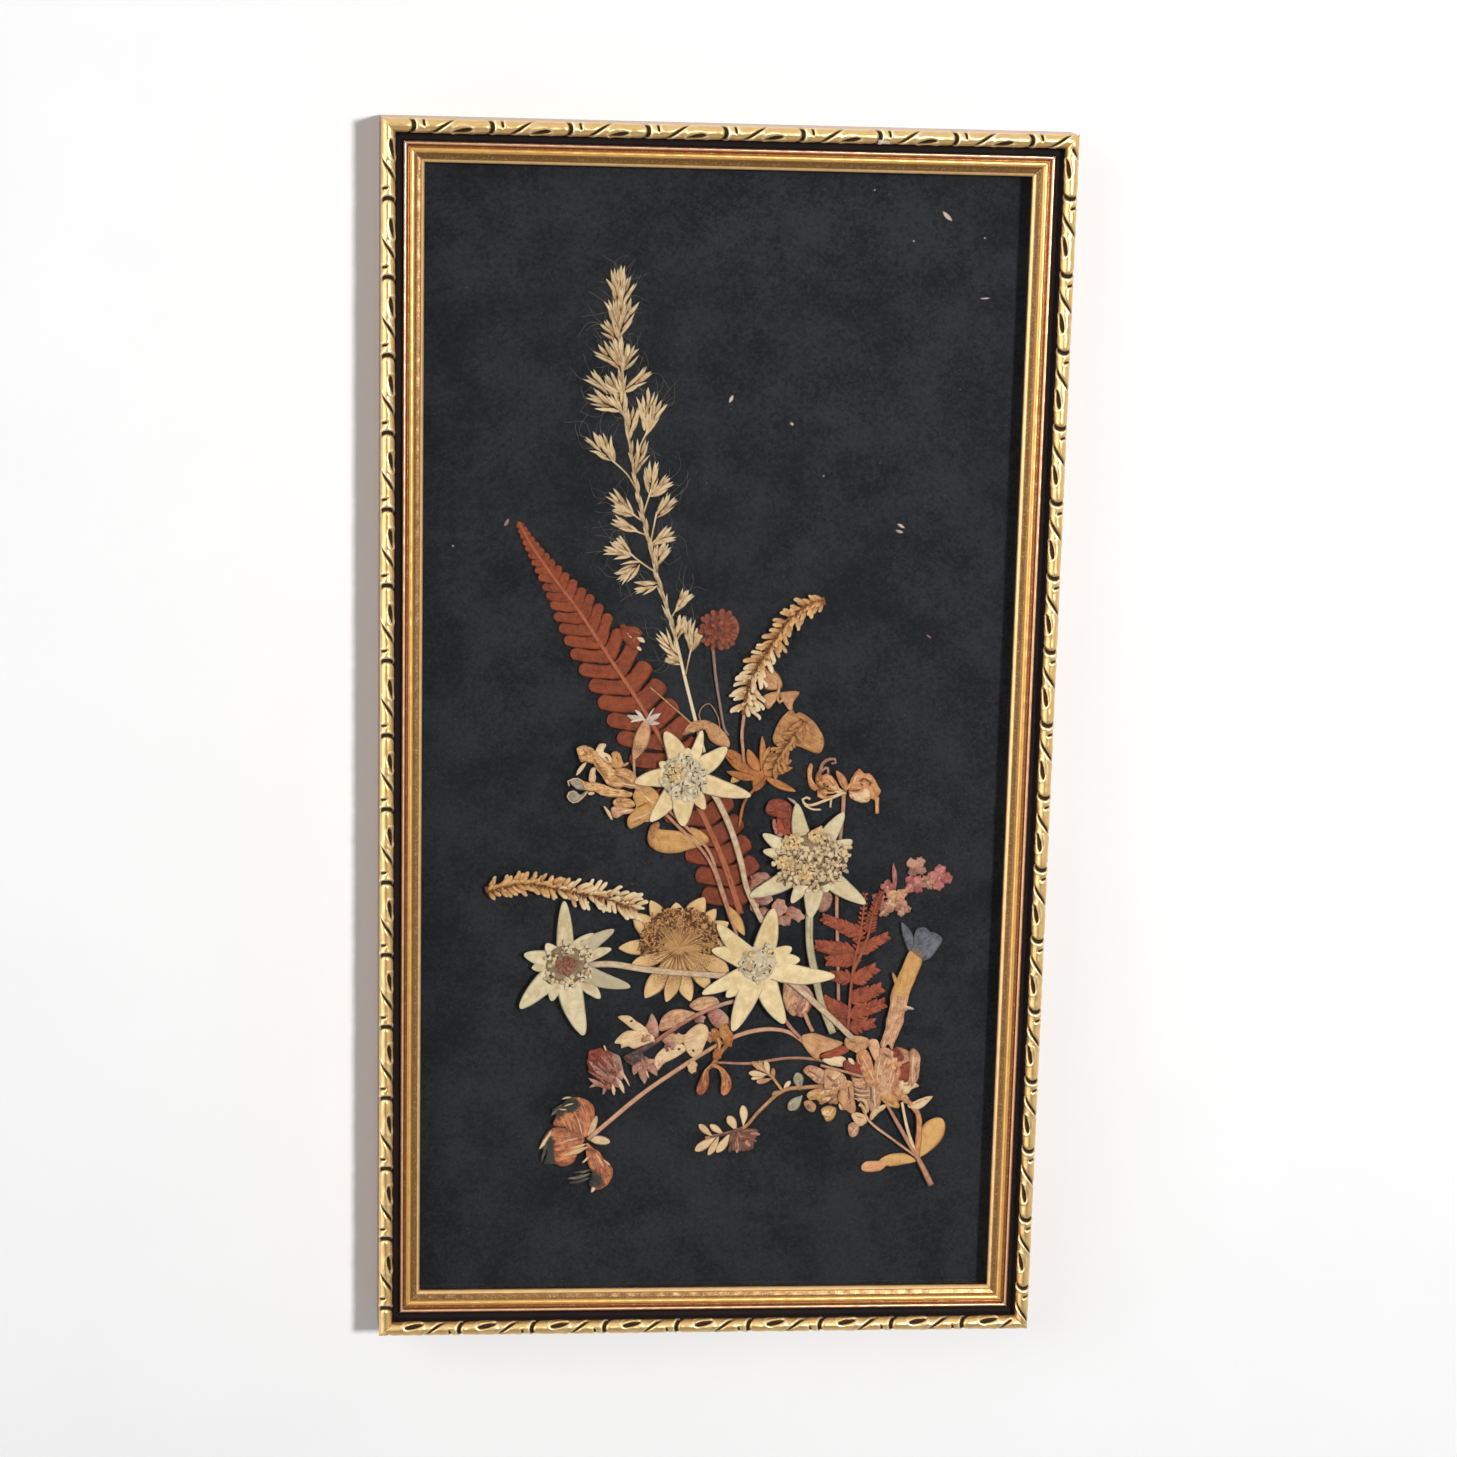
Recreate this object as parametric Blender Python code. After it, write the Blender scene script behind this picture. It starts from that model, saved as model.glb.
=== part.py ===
"""Pressed flower frame: a gilded moulding with a carved rope bead, glass, black card and a bouquet.

Picture coordinates, in millimetres: x to the right and y up from the middle of the sight opening,
and height towards the viewer from the plane of the wall. The empty "picture_plane" stands them up,
so that the picture faces -Y. The origin is the point where the hanger sits on its nail.
Every specimen is pressed flat: its outline is the union of leaf, stem and petal outlines, given a
small thickness, and lies in one of a few layers between the glass and the card.
"""
import math

import bmesh
import bpy
from mathutils import Vector
from mathutils.geometry import delaunay_2d_cdt

MM = 0.001

# Frame, millimetres
SIGHT_WIDTH = 174.0
SIGHT_HEIGHT = 336.0
RAIL_WIDTH = 13.0
REBATE_WIDTH = 4.0
BEAD_HEIGHT = 20.0
LIP_HEIGHT = 12.7
REBATE_TOP = 11.5
GAP = 0.3
MITRE_GAP = 0.15

# Carving on the bead: one crescent and one diagonal slash in each repeat
CARVING_REPEAT = 21.9
CARVING_DEPTH = 0.55
CARVING_HALF_WIDTH = 0.65
CRESCENT_BULGE = 0.9
SLASH_START = 0.36
SLASH_END = 0.58
CARVING_MARGIN = 7.5
FIRST_CRESCENT = {"rail_top": 8.5, "rail_right": 17.4, "rail_bottom": 20.0, "rail_left": 8.7}

# Stack behind the sight lip, millimetres
GLASS_THICKNESS = 1.8
POCKET_DEPTH = 4.8
CARD_THICKNESS = 0.8
BOARD_THICKNESS = 1.3
HANGER_THICKNESS = 0.8
HANGER_ABOVE_CENTRE = 150.0
BOARD_POINT_LEVEL = 95.0

GLASS_FRONT = REBATE_TOP - GAP
GLASS_BACK = GLASS_FRONT - GLASS_THICKNESS
CARD_FRONT = GLASS_BACK - POCKET_DEPTH
CARD_BACK = CARD_FRONT - CARD_THICKNESS
BOARD_FRONT = CARD_BACK - GAP
BOARD_BACK = BOARD_FRONT - BOARD_THICKNESS
OUTER_WIDTH = SIGHT_WIDTH + 2 * RAIL_WIDTH
OUTER_HEIGHT = SIGHT_HEIGHT + 2 * RAIL_WIDTH
SHEET_WIDTH = SIGHT_WIDTH + 2 * (REBATE_WIDTH - GAP)
SHEET_HEIGHT = SIGHT_HEIGHT + 2 * (REBATE_WIDTH - GAP)

# Specimen layers: (height of the back, thickness), from the glass down to the card
FLORETS = (8.30, 0.80)
BRACTS = (7.65, 0.35)
STEMS = (6.95, 0.40)
LAYER_1 = (6.45, 0.20)
LAYER_2 = (5.95, 0.20)
LAYER_3 = (5.45, 0.20)
LAYER_4 = (4.95, 0.20)

# Colours of the finishes: (red, green, blue), roughness, metallic
FINISHES = {
    "gilding": ((0.62, 0.40, 0.13), 0.35, 0.9),
    "clear_glass": ((0.9, 0.95, 0.95), 0.05, 0.0),
    "black_card": ((0.02, 0.023, 0.028), 0.85, 0.0),
    "grey_board": ((0.35, 0.28, 0.2), 0.9, 0.0),
    "steel": ((0.6, 0.6, 0.6), 0.4, 1.0),
    "edelweiss_felt": ((0.74, 0.65, 0.40), 0.9, 0.0),
    "edelweiss_florets": ((0.5, 0.45, 0.33), 0.9, 0.0),
    "felted_stem": ((0.62, 0.5, 0.36), 0.85, 0.0),
    "straw": ((0.55, 0.39, 0.19), 0.7, 0.0),
    "russet": ((0.27, 0.08, 0.035), 0.75, 0.0),
    "clover_red": ((0.25, 0.065, 0.045), 0.8, 0.0),
    "ochre": ((0.6, 0.34, 0.11), 0.7, 0.0),
    "tan": ((0.5, 0.29, 0.13), 0.75, 0.0),
    "pink_tan": ((0.45, 0.22, 0.14), 0.75, 0.0),
    "golden": ((0.55, 0.28, 0.08), 0.65, 0.0),
    "orange_brown": ((0.42, 0.16, 0.04), 0.7, 0.0),
    "rust": ((0.38, 0.11, 0.035), 0.75, 0.0),
    "blue_grey": ((0.16, 0.18, 0.22), 0.6, 0.0),
}


# ---------------------------------------------------------------- building helpers

def finish(name):
    """Material of one finish, made once."""
    material = bpy.data.materials.get(name)
    if material:
        return material
    colour, roughness, metallic = FINISHES[name]
    material = bpy.data.materials.new(name)
    material.use_nodes = True
    shader = material.node_tree.nodes["Principled BSDF"]
    shader.inputs["Base Color"].default_value = (*colour, 1.0)
    shader.inputs["Roughness"].default_value = roughness
    shader.inputs["Metallic"].default_value = metallic
    material.diffuse_color = (*colour, 1.0)
    return material


def add_object(name, bm, material, location=(0.0, 0.0, 0.0), turn=0.0):
    """Turn a mesh in millimetres into a named object on the picture plane."""
    bmesh.ops.recalc_face_normals(bm, faces=bm.faces)
    bmesh.ops.scale(bm, vec=(MM, MM, MM), verts=bm.verts)
    mesh = bpy.data.meshes.new(name)
    bm.to_mesh(mesh)
    bm.free()
    mesh.materials.append(finish(material))
    thing = bpy.data.objects.new(name, mesh)
    bpy.context.collection.objects.link(thing)
    thing.parent = bpy.data.objects["picture_plane"]
    thing.location = [c * MM for c in location]
    thing.rotation_euler = (0.0, 0.0, turn)
    return thing


def counter_clockwise(outline):
    """The outline as vectors, turned the way the triangulation needs."""
    points = [Vector((x, y)) for x, y in outline]
    area = sum(a.x * b.y - b.x * a.y for a, b in zip(points, points[1:] + points[:1]))
    return points if area > 0 else points[::-1]


def flat_union(outlines):
    """A flat mesh of the union of overlapping outlines, with as few faces as it can have."""
    points = []
    loops = []
    for outline in outlines:
        loop = counter_clockwise(outline)
        loops.append(list(range(len(points), len(points) + len(loop))))
        points += loop
    verts, _, faces, _, _, sources = delaunay_2d_cdt(points, [], loops, 0, 0.001)
    bm = bmesh.new()
    made = [bm.verts.new((v.x, v.y, 0.0)) for v in verts]
    for face, source in zip(faces, sources):
        if source:
            bm.faces.new([made[i] for i in face])
    loose = [v for v in bm.verts if not v.link_faces]
    bmesh.ops.delete(bm, geom=loose, context="VERTS")
    bmesh.ops.dissolve_limit(bm, angle_limit=0.01, verts=bm.verts, edges=bm.edges)
    return bm


def pressed_piece(name, layer, material, outlines):
    """One pressed specimen: the union of its outlines, as thick as its layer."""
    back, thickness = layer
    bm = flat_union(outlines)
    raised = bmesh.ops.extrude_face_region(bm, geom=bm.faces[:])
    top = [item for item in raised["geom"] if isinstance(item, bmesh.types.BMVert)]
    bmesh.ops.translate(bm, vec=(0.0, 0.0, thickness), verts=top)
    bmesh.ops.triangulate(bm, faces=bm.faces[:])
    return add_object(name, bm, material, (0.0, 0.0, back))


def leaf(base, tip, width, points=2, belly=0.5, fullness=0.8):
    """Outline of a leaf, bract or petal from its base to its tip."""
    base, tip = Vector(base), Vector(tip)
    along = tip - base
    across = Vector((-along.y, along.x)).normalized() * width / 2
    skew = math.log(0.5) / math.log(belly)
    right, left = [], []
    for i in range(1, points + 1):
        t = i / (points + 1)
        half = math.sin(math.pi * t ** skew) ** fullness
        right.append(base + along * t - across * half)
        left.append(base + along * t + across * half)
    foot = across * 0.16
    return [base - foot, *right, tip, *left[::-1], base + foot]


def lobe(base, tip, width, shoulder=0.7):
    """Outline of a blunt strap with a pointed end, as a fern's pinna."""
    base, tip = Vector(base), Vector(tip)
    along = tip - base
    side = Vector((-along.y, along.x)).normalized() * width / 2
    return [base - side * 0.5, base + along * shoulder - side, tip, base + along * shoulder + side,
            base + side * 0.5]


def leaves(table, **shape):
    """Outlines of several leaves given as (base, tip, width)."""
    return [leaf(base, tip, width, **shape) for base, tip, width in table]


def smooth_route(route, steps):
    """Points on a smooth curve through the points of a route."""
    pts = [Vector(p) for p in route]
    pts = [2 * pts[0] - pts[1], *pts, 2 * pts[-1] - pts[-2]]
    curve = []
    for a, b, c, d in zip(pts, pts[1:], pts[2:], pts[3:]):
        for i in range(steps):
            t = i / steps
            curve.append(0.5 * (2 * b + (c - a) * t + (2 * a - 5 * b + 4 * c - d) * t * t
                                + (3 * b - a - 3 * c + d) * t ** 3))
    return [*curve, pts[-2]]


def stem(route, start_width, end_width, steps=1):
    """Outline of a tapering stem along a route."""
    curve = smooth_route(route, steps)
    left, right = [], []
    for i, point in enumerate(curve):
        run = curve[min(i + 1, len(curve) - 1)] - curve[max(i - 1, 0)]
        side = Vector((-run.y, run.x)).normalized()
        half = (start_width + (end_width - start_width) * i / (len(curve) - 1)) / 2
        left.append(point + side * half)
        right.append(point - side * half)
    return [*left, *right[::-1]]


def blob(centre, radius_x, radius_y, points=8, lobe=0.0, turn=0.0):
    """Outline of a round or lumpy patch."""
    outline = []
    for i in range(points):
        angle = 2 * math.pi * i / points + turn
        reach = 1.0 + (lobe if i % 2 else -lobe)
        outline.append((centre[0] + radius_x * reach * math.cos(angle),
                        centre[1] + radius_y * reach * math.sin(angle)))
    return outline


def point_on(curve, fraction):
    """Point and direction at a fraction of the way along a curve."""
    lengths = [0.0]
    for a, b in zip(curve, curve[1:]):
        lengths.append(lengths[-1] + (b - a).length)
    wanted = fraction * lengths[-1]
    for i in range(1, len(curve)):
        if lengths[i] >= wanted or i == len(curve) - 1:
            step = (wanted - lengths[i - 1]) / (lengths[i] - lengths[i - 1])
            run = curve[i] - curve[i - 1]
            return curve[i - 1] + run * step, run.normalized()


def nearest_point(curves, target):
    """The point of any of the curves that lies nearest to the target."""
    wanted = Vector(target)
    return min((point for curve in curves for point in curve), key=lambda p: (p - wanted).length)


def rotated(vector, degrees):
    """A flat vector turned by an angle."""
    angle = math.radians(degrees)
    return Vector((vector.x * math.cos(angle) - vector.y * math.sin(angle),
                   vector.x * math.sin(angle) + vector.y * math.cos(angle)))


# ---------------------------------------------------------------- frame, glass and back

# Moulding section as (inward, height): the bead's four points, then down the inner slope to the rebate
BEAD_SECTION = [(1.0, 16.8), (2.1, BEAD_HEIGHT - 0.1), (3.8, BEAD_HEIGHT), (4.9, 16.8)]
CARVED = (1, 2)
INNER_SECTION = [(5.1, 14.9), (5.9, 14.5), (7.0, 14.7), (7.15, 15.5), (8.0, 15.5), (8.3, 14.5),
                 (9.6, 13.8), (9.9, 14.3), (10.6, 14.3), (10.9, 13.6), (11.9, 13.3), (12.1, 13.0),
                 (12.7, LIP_HEIGHT), (RAIL_WIDTH, 12.3), (RAIL_WIDTH, REBATE_TOP),
                 (RAIL_WIDTH - REBATE_WIDTH, REBATE_TOP), (RAIL_WIDTH - REBATE_WIDTH, 0.0), (0.0, 0.0)]


def carving_lines(length, first):
    """Lines across the bead: for each, its position at the bead's points and how deep it is cut.

    Each cut starts at a sharp edge, and the next strand of the rope swells up from it.
    """
    last = len(BEAD_SECTION) - 1
    lines = []
    start = first
    while start < length + CARVING_REPEAT:
        for offset, depth in ((-CARVING_HALF_WIDTH, 0.0), (0.0, 1.0)):
            bow = [CRESCENT_BULGE * (1 - (2 * i / last - 1) ** 2) for i in range(last + 1)]
            lines.append(([start + offset + b for b in bow], depth))
            slant = [start - CARVING_REPEAT * (1 - SLASH_END + (SLASH_END - SLASH_START) * i / last)
                     for i in range(last + 1)]
            lines.append(([offset + s for s in slant], depth))
        start += CARVING_REPEAT
    kept = [line for line in lines
            if min(line[0]) > CARVING_MARGIN and max(line[0]) < length - CARVING_MARGIN]
    return sorted(kept, key=lambda line: line[0][last // 2])


def rail(name, length, turn, location):
    """One mitred length of moulding, its back at height 0 and its outer edge along local X."""
    section = BEAD_SECTION + INNER_SECTION
    inset = [MITRE_GAP * math.sqrt(2) + inward for inward, _ in section]
    bm = bmesh.new()

    def vertex(along, index, sink=0.0):
        inward, height = section[index]
        return bm.verts.new((along - length / 2, -inward, height - sink))

    starts = [vertex(inset[i], i) for i in range(len(section))]
    ends = [vertex(length - inset[i], i) for i in range(len(section))]
    rows = [starts[:len(BEAD_SECTION)]]
    for positions, depth in carving_lines(length, FIRST_CRESCENT[name]):
        rows.append([vertex(s, i, depth * CARVING_DEPTH if i in CARVED else 0.0)
                     for i, s in enumerate(positions)])
    rows.append(ends[:len(BEAD_SECTION)])
    for row, following in zip(rows, rows[1:]):
        for i in range(len(BEAD_SECTION) - 1):
            bm.faces.new((row[i], row[i + 1], following[i + 1], following[i]))
    first_inner = len(BEAD_SECTION)
    for i in range(first_inner, len(section) - 1):
        bm.faces.new((starts[i], starts[i + 1], ends[i + 1], ends[i]))
    inner_edge = [row[-1] for row in rows]
    bm.faces.new([starts[first_inner], ends[first_inner], *inner_edge[::-1]])
    outer_edge = [row[0] for row in rows]
    bm.faces.new([ends[-1], starts[-1], *outer_edge])
    bm.faces.new(starts)
    bm.faces.new(ends)
    bmesh.ops.triangulate(bm, faces=bm.faces[:])
    return add_object(name, bm, "gilding", location, turn)


def moulding():
    """The four rails, each running clockwise as seen from the front."""
    half_w, half_h = OUTER_WIDTH / 2, OUTER_HEIGHT / 2
    rail("rail_top", OUTER_WIDTH, 0.0, (0.0, half_h, 0.0))
    rail("rail_right", OUTER_HEIGHT, -math.pi / 2, (half_w, 0.0, 0.0))
    rail("rail_bottom", OUTER_WIDTH, math.pi, (0.0, -half_h, 0.0))
    rail("rail_left", OUTER_HEIGHT, math.pi / 2, (-half_w, 0.0, 0.0))


def sheet(name, width, height, back, thickness, material):
    """A flat sheet in the rebate."""
    bm = bmesh.new()
    bmesh.ops.create_cube(bm, size=1.0)
    bmesh.ops.scale(bm, vec=(width, height, thickness), verts=bm.verts)
    bmesh.ops.translate(bm, vec=(0.0, 0.0, back + thickness / 2), verts=bm.verts)
    bmesh.ops.triangulate(bm, faces=bm.faces[:])
    return add_object(name, bm, material)


def stack():
    """Glass, card and backing board."""
    sheet("glass_pane", SHEET_WIDTH, SHEET_HEIGHT, GLASS_BACK, GLASS_THICKNESS, "clear_glass")
    sheet("mount_card", SHEET_WIDTH, SHEET_HEIGHT, CARD_BACK, CARD_THICKNESS, "black_card")
    sheet("backing_board", SHEET_WIDTH, SHEET_HEIGHT, BOARD_BACK, BOARD_THICKNESS, "grey_board")


def board_points():
    """Four pointed steel tabs that keep the board in the rebate."""
    length, point_length, half_width, blunt, thickness = 7.0, 3.0, 2.2, 0.6, 0.5
    edge = SHEET_WIDTH / 2
    for side, side_name in ((-1, "left"), (1, "right")):
        inner = side * (edge - length)
        shoulder = side * (edge - point_length)
        outer = side * edge
        for middle, level in ((BOARD_POINT_LEVEL, "upper"), (-BOARD_POINT_LEVEL, "lower")):
            outline = [(outer, middle - blunt), (outer, middle + blunt), (shoulder, middle + half_width),
                       (inner, middle + half_width), (inner, middle - half_width),
                       (shoulder, middle - half_width)]
            layer = (BOARD_BACK - GAP - thickness, thickness)
            pressed_piece(f"board_point_{side_name}_{level}", layer, "steel", [outline])


def hanger():
    """Sawtooth hanger: a strip between two feet, whose lower edge has teeth for the nail."""
    half_length, foot_length, half_span = 21.0, 6.0, 13.5
    strip_height, foot_drop = 4.5, 2.5
    teeth, tooth_height = 9, 1.5
    lower = []
    for i in range(2 * teeth + 1):
        x = half_span * (i / teeth - 1)
        lower.append((x, HANGER_ABOVE_CENTRE + (tooth_height if i % 2 else 0.0)))
    low = HANGER_ABOVE_CENTRE - foot_drop
    high = HANGER_ABOVE_CENTRE + strip_height
    outline = [(-half_length, low), (foot_length - half_length, low), *lower,
               (half_length - foot_length, low), (half_length, low), (half_length, high),
               (-half_length, high)]
    pressed_piece("sawtooth_hanger", (BOARD_BACK - GAP - HANGER_THICKNESS, HANGER_THICKNESS),
                  "steel", [outline])


# ---------------------------------------------------------------- edelweiss

# For each head: middle of its bracts, bract tips with widths, floret cushion (middle and radii), stem route
EDELWEISS = {
    "top": {
        "middle": (-9.5, -9.5),
        "bracts": [((-15.5, 4.0), 6.0), ((-4.5, 4.5), 3.4), ((3.0, -0.6), 6.0), ((10.5, -15.2), 5.8),
                   ((-3.2, -19.4), 4.6), ((-9.5, -24.5), 7.0), ((-19.3, -23.2), 5.6),
                   ((-24.2, -11.2), 5.4), ((-17.0, -5.2), 4.5), ((-8.5, -0.8), 5.5)],
        "cushion": ((-9.4, -9.6), 6.6, 7.4),
        "stem_layer": STEMS,
        "stem": [(-3.0, -12.5), (0.5, -16.5), (5.0, -26.0), (8.2, -36.0), (10.2, -44.0), (15.0, -54.0)],
        "stem_width": 1.7,
    },
    "right": {
        "middle": (29.0, -35.5),
        "bracts": [((24.3, -17.5), 5.2), ((38.6, -20.2), 5.6), ((14.4, -26.9), 5.0),
                   ((14.6, -32.0), 4.6), ((10.9, -46.0), 6.0), ((23.6, -48.0), 4.6), ((29.4, -52.6), 6.4),
                   ((34.5, -44.6), 5.0), ((46.0, -48.2), 6.0), ((41.4, -28.8), 5.4),
                   ((30.5, -25.2), 5.5)],
        "cushion": ((29.3, -34.8), 10.2, 8.8),
        "stem_layer": LAYER_1,
        "stem": [(29.5, -46.0), (29.3, -54.0), (29.7, -62.0), (31.6, -71.0), (33.8, -80.0), (37.5, -89.0)],
        "stem_width": 2.3,
    },
    "left": {
        "middle": (-44.0, -67.0),
        "bracts": [((-44.6, -47.6), 5.0), ((-29.6, -56.3), 5.0), ((-35.5, -57.6), 5.0),
                   ((-30.3, -62.2), 4.2), ((-56.4, -64.0), 5.4), ((-49.8, -60.6), 4.6),
                   ((-54.0, -68.2), 4.6), ((-57.4, -80.6), 6.8), ((-48.0, -78.4), 5.0),
                   ((-38.2, -89.0), 7.6), ((-33.4, -77.6), 5.2), ((-24.4, -74.0), 5.4)],
        "cushion": ((-43.8, -67.0), 6.4, 6.4),
        "stem_layer": STEMS,
        "stem": [(-38.0, -67.5), (-30.0, -67.2), (-20.0, -68.8), (-8.0, -70.0), (6.0, -71.0)],
        "stem_width": 1.9,
    },
    "centre": {
        "middle": (14.5, -68.0),
        "bracts": [((18.2, -49.8), 6.8), ((1.4, -54.6), 5.6), ((-0.1, -62.6), 5.8), ((-2.7, -76.2), 5.0),
                   ((4.6, -77.2), 5.4), ((6.8, -87.8), 6.8), ((22.4, -85.6), 7.0), ((37.4, -70.8), 6.4),
                   ((26.6, -65.6), 5.4), ((24.0, -61.8), 5.0)],
        "cushion": ((13.8, -66.6), 6.0, 6.0),
        "stem_layer": STEMS,
        "stem": [(20.5, -70.0), (27.0, -75.2), (33.0, -80.6), (38.0, -85.2), (43.5, -90.5)],
        "stem_width": 1.8,
    },
}


def floret_cushion(name, centre, radius_x, radius_y):
    """Low lumpy cushion of florets."""
    back, height = FLORETS
    segments, lump = 14, 0.07
    bm = bmesh.new()
    rings = []
    for reach, level in ((1.0, 0.0), (0.95, 0.45), (0.62, 0.9)):
        outline = blob(centre, radius_x * reach, radius_y * reach, segments, lump * reach)
        rings.append([bm.verts.new((x, y, height * level)) for x, y in outline])
    crown = bm.verts.new((*centre, height))
    for lower, upper in zip(rings, rings[1:]):
        for i in range(segments):
            j = (i + 1) % segments
            bm.faces.new((lower[i], lower[j], upper[j], upper[i]))
    for i in range(segments):
        bm.faces.new((rings[-1][i], rings[-1][(i + 1) % segments], crown))
    bm.faces.new(rings[0][::-1])
    bmesh.ops.triangulate(bm, faces=bm.faces[:])
    return add_object(name, bm, "edelweiss_florets", (0.0, 0.0, back))


def edelweiss():
    """Four heads: a star of bracts, a cushion of florets on it and a flattened stem behind."""
    for place, head in EDELWEISS.items():
        middle = Vector(head["middle"])
        star = [blob(middle, 5.0, 5.0, 10)]
        for tip, width in head["bracts"]:
            root = middle + (Vector(tip) - middle).normalized() * 2.5
            star.append(leaf(root, tip, width, points=2, belly=0.55, fullness=0.7))
        pressed_piece(f"edelweiss_{place}_bracts", BRACTS, "edelweiss_felt", star)
        floret_cushion(f"edelweiss_{place}_florets", *head["cushion"])
        width = head["stem_width"]
        pressed_piece(f"edelweiss_{place}_stem", head["stem_layer"], "felted_stem",
                      [stem(head["stem"], width, width * 0.85)])


# ---------------------------------------------------------------- grass and ferns

def grass_panicle():
    """Long culm with slender spikelets in loose clusters."""
    culm = [(-31.0, 134.0), (-31.0, 122.0), (-29.8, 110.0), (-28.8, 98.0), (-26.8, 86.0), (-24.6, 74.0),
            (-21.6, 62.0), (-18.8, 51.0), (-15.6, 41.0), (-12.6, 31.0), (-9.8, 20.0), (-6.6, 8.0),
            (-3.5, -3.0)]
    stalks = [[(-29.3, 98.0), (-33.0, 102.5)], [(-26.2, 84.0), (-22.0, 93.0)],
              [(-24.8, 75.0), (-28.0, 80.0), (-32.5, 84.0)], [(-22.8, 66.0), (-26.5, 68.5)],
              [(-21.5, 62.0), (-26.0, 63.5)], [(-18.8, 51.0), (-24.0, 54.5), (-27.0, 57.0)],
              [(-14.6, 37.0), (-12.2, 41.0)], [(-9.6, 20.5), (-8.0, 29.0)],
              [(-20.8, 59.0), (-19.0, 69.0)], [(-23.0, 68.0), (-20.5, 76.5)]]
    spikelets = [((-31, 128), (-32.8, 139.3)), ((-31, 130), (-30.4, 140.2)), ((-30.6, 126), (-27.9, 137.4)),
                 ((-31, 121.5), (-34.4, 130.3)), ((-30.6, 118), (-35.6, 124)), ((-30.2, 121), (-27.4, 131)),
                 ((-30.4, 110), (-36.8, 117.6)), ((-30.2, 111), (-32, 119.4)), ((-29.4, 110), (-26.6, 117.4)),
                 ((-29.2, 103), (-34.4, 109)), ((-28.4, 104), (-21.5, 110.1)), ((-33, 102), (-39.2, 109.6)),
                 ((-31, 97), (-40, 102.8)), ((-28.8, 95), (-31.6, 104.4)), ((-27.5, 89), (-26.2, 99.6)),
                 ((-22.6, 92), (-24, 103)), ((-22.2, 93), (-22, 105.4)), ((-22, 91.5), (-18, 101.6)),
                 ((-26, 80), (-22.4, 90)), ((-31.4, 83), (-40, 90.8)), ((-32, 83.8), (-36, 91.6)),
                 ((-22, 74), (-20, 84)), ((-21, 73.5), (-15, 78.8)), ((-19.4, 67.5), (-13.9, 73.6)),
                 ((-25.6, 68), (-33, 74.8)), ((-26, 66.8), (-31.8, 70.4)), ((-25, 62.6), (-32.2, 66.4)),
                 ((-26, 55.6), (-34.4, 58)), ((-26.4, 56.4), (-31, 61)), ((-23.5, 53.6), (-30.6, 49)),
                 ((-17.6, 47.5), (-25.4, 46.4)), ((-20.4, 59), (-13.8, 63.6)), ((-19.4, 52.4), (-16, 60)),
                 ((-12.8, 40), (-9.0, 46.0)), ((-12.8, 31.6), (-10.6, 38.6)), ((-8.2, 27), (-6.6, 35)),
                 ((-8.4, 28), (-9.8, 38)), ((-11.6, 25.4), (-18.4, 33.2)), ((-10.8, 23), (-15.6, 26))]
    outlines = [stem(culm, 0.8, 1.4)]
    outlines += [stem(route, 0.7, 0.6) for route in stalks]
    routes = [smooth_route(route, 3) for route in [culm, *stalks]]
    for base, tip in spikelets:
        outlines.append(leaf(nearest_point(routes, base), tip, 2.1, points=1, fullness=1.0))
    pressed_piece("grass_panicle", LAYER_4, "straw", outlines)


def large_fern():
    """Russet frond: rounded pinnae, level on the left and rising on the right."""
    rachis = smooth_route([(-59.4, 65.6), (-55.0, 58.0), (-49.0, 49.5), (-42.0, 40.5), (-36.0, 31.5),
                           (-29.0, 21.0), (-23.0, 12.0), (-17.5, 3.0), (-11.0, -8.0), (-5.0, -19.0),
                           (0.0, -29.0), (4.5, -40.0), (8.5, -52.0)], 2)
    outlines = [stem(rachis, 0.8, 2.4)]
    pairs = 19
    for k in range(pairs):
        share = 0.04 + 0.94 * (k / (pairs - 1)) ** 0.85
        point, run = point_on(rachis, share)
        swell = math.sin(math.pi * min(share, 0.99) ** 0.86) ** 0.8
        left_tip = point + rotated(Vector((-1.0, 0.0)), -2) * (1.6 + 12.2 * swell)
        outlines.append(lobe(point + run * 0.8, left_tip, 1.6 + 5.0 * swell))
        rise = 64 - 18 * min(share / 0.5, 1.0)
        right_tip = point + rotated(Vector((1.0, 0.0)), rise) * (1.4 + 9.4 * swell)
        outlines.append(lobe(point + run * 0.8, right_tip, 1.6 + 4.4 * swell))
    pressed_piece("large_fern_frond", LAYER_3, "russet", outlines)


def small_fern():
    """Small red-brown fern with toothed pinnae and two narrow upright fronds."""
    fronds = [((42.0, -89.0), (43.0, -70.0), (45.0, -58.0), (46.0, -45.5)),
              ((43.0, -70.0), (47.0, -60.0), (48.5, -52.0), (51.0, -45.0))]
    outlines = [stem(route, 2.0, 1.2) for route in fronds]
    pinnae = [((45.6, -58.5), (33.4, -53.0), 4.8), ((43.5, -64.0), (31.6, -61.4), 5.6),
              ((43.5, -66.0), (35.0, -66.5), 5.0), ((42.5, -72.0), (36.4, -71.0), 4.6),
              ((44.5, -63.5), (53.4, -58.6), 4.4), ((43.0, -73.0), (50.2, -68.6), 5.2),
              ((42.5, -79.0), (52.0, -74.8), 5.6), ((42.5, -83.5), (53.0, -79.6), 5.6),
              ((42.0, -84.0), (34.4, -78.6), 5.4), ((42.5, -87.0), (50.0, -86.0), 5.4),
              ((41.5, -87.0), (36.6, -84.4), 4.0)]
    outlines += leaves(pinnae, points=2, fullness=0.6)
    for centre, width in (((45.4, -51.0), 3.6), ((49.0, -50.5), 3.0)):
        outlines.append(blob(centre, width / 2, 3.0, 6))
    pressed_piece("small_fern_frond", LAYER_2, "russet", outlines)


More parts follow.
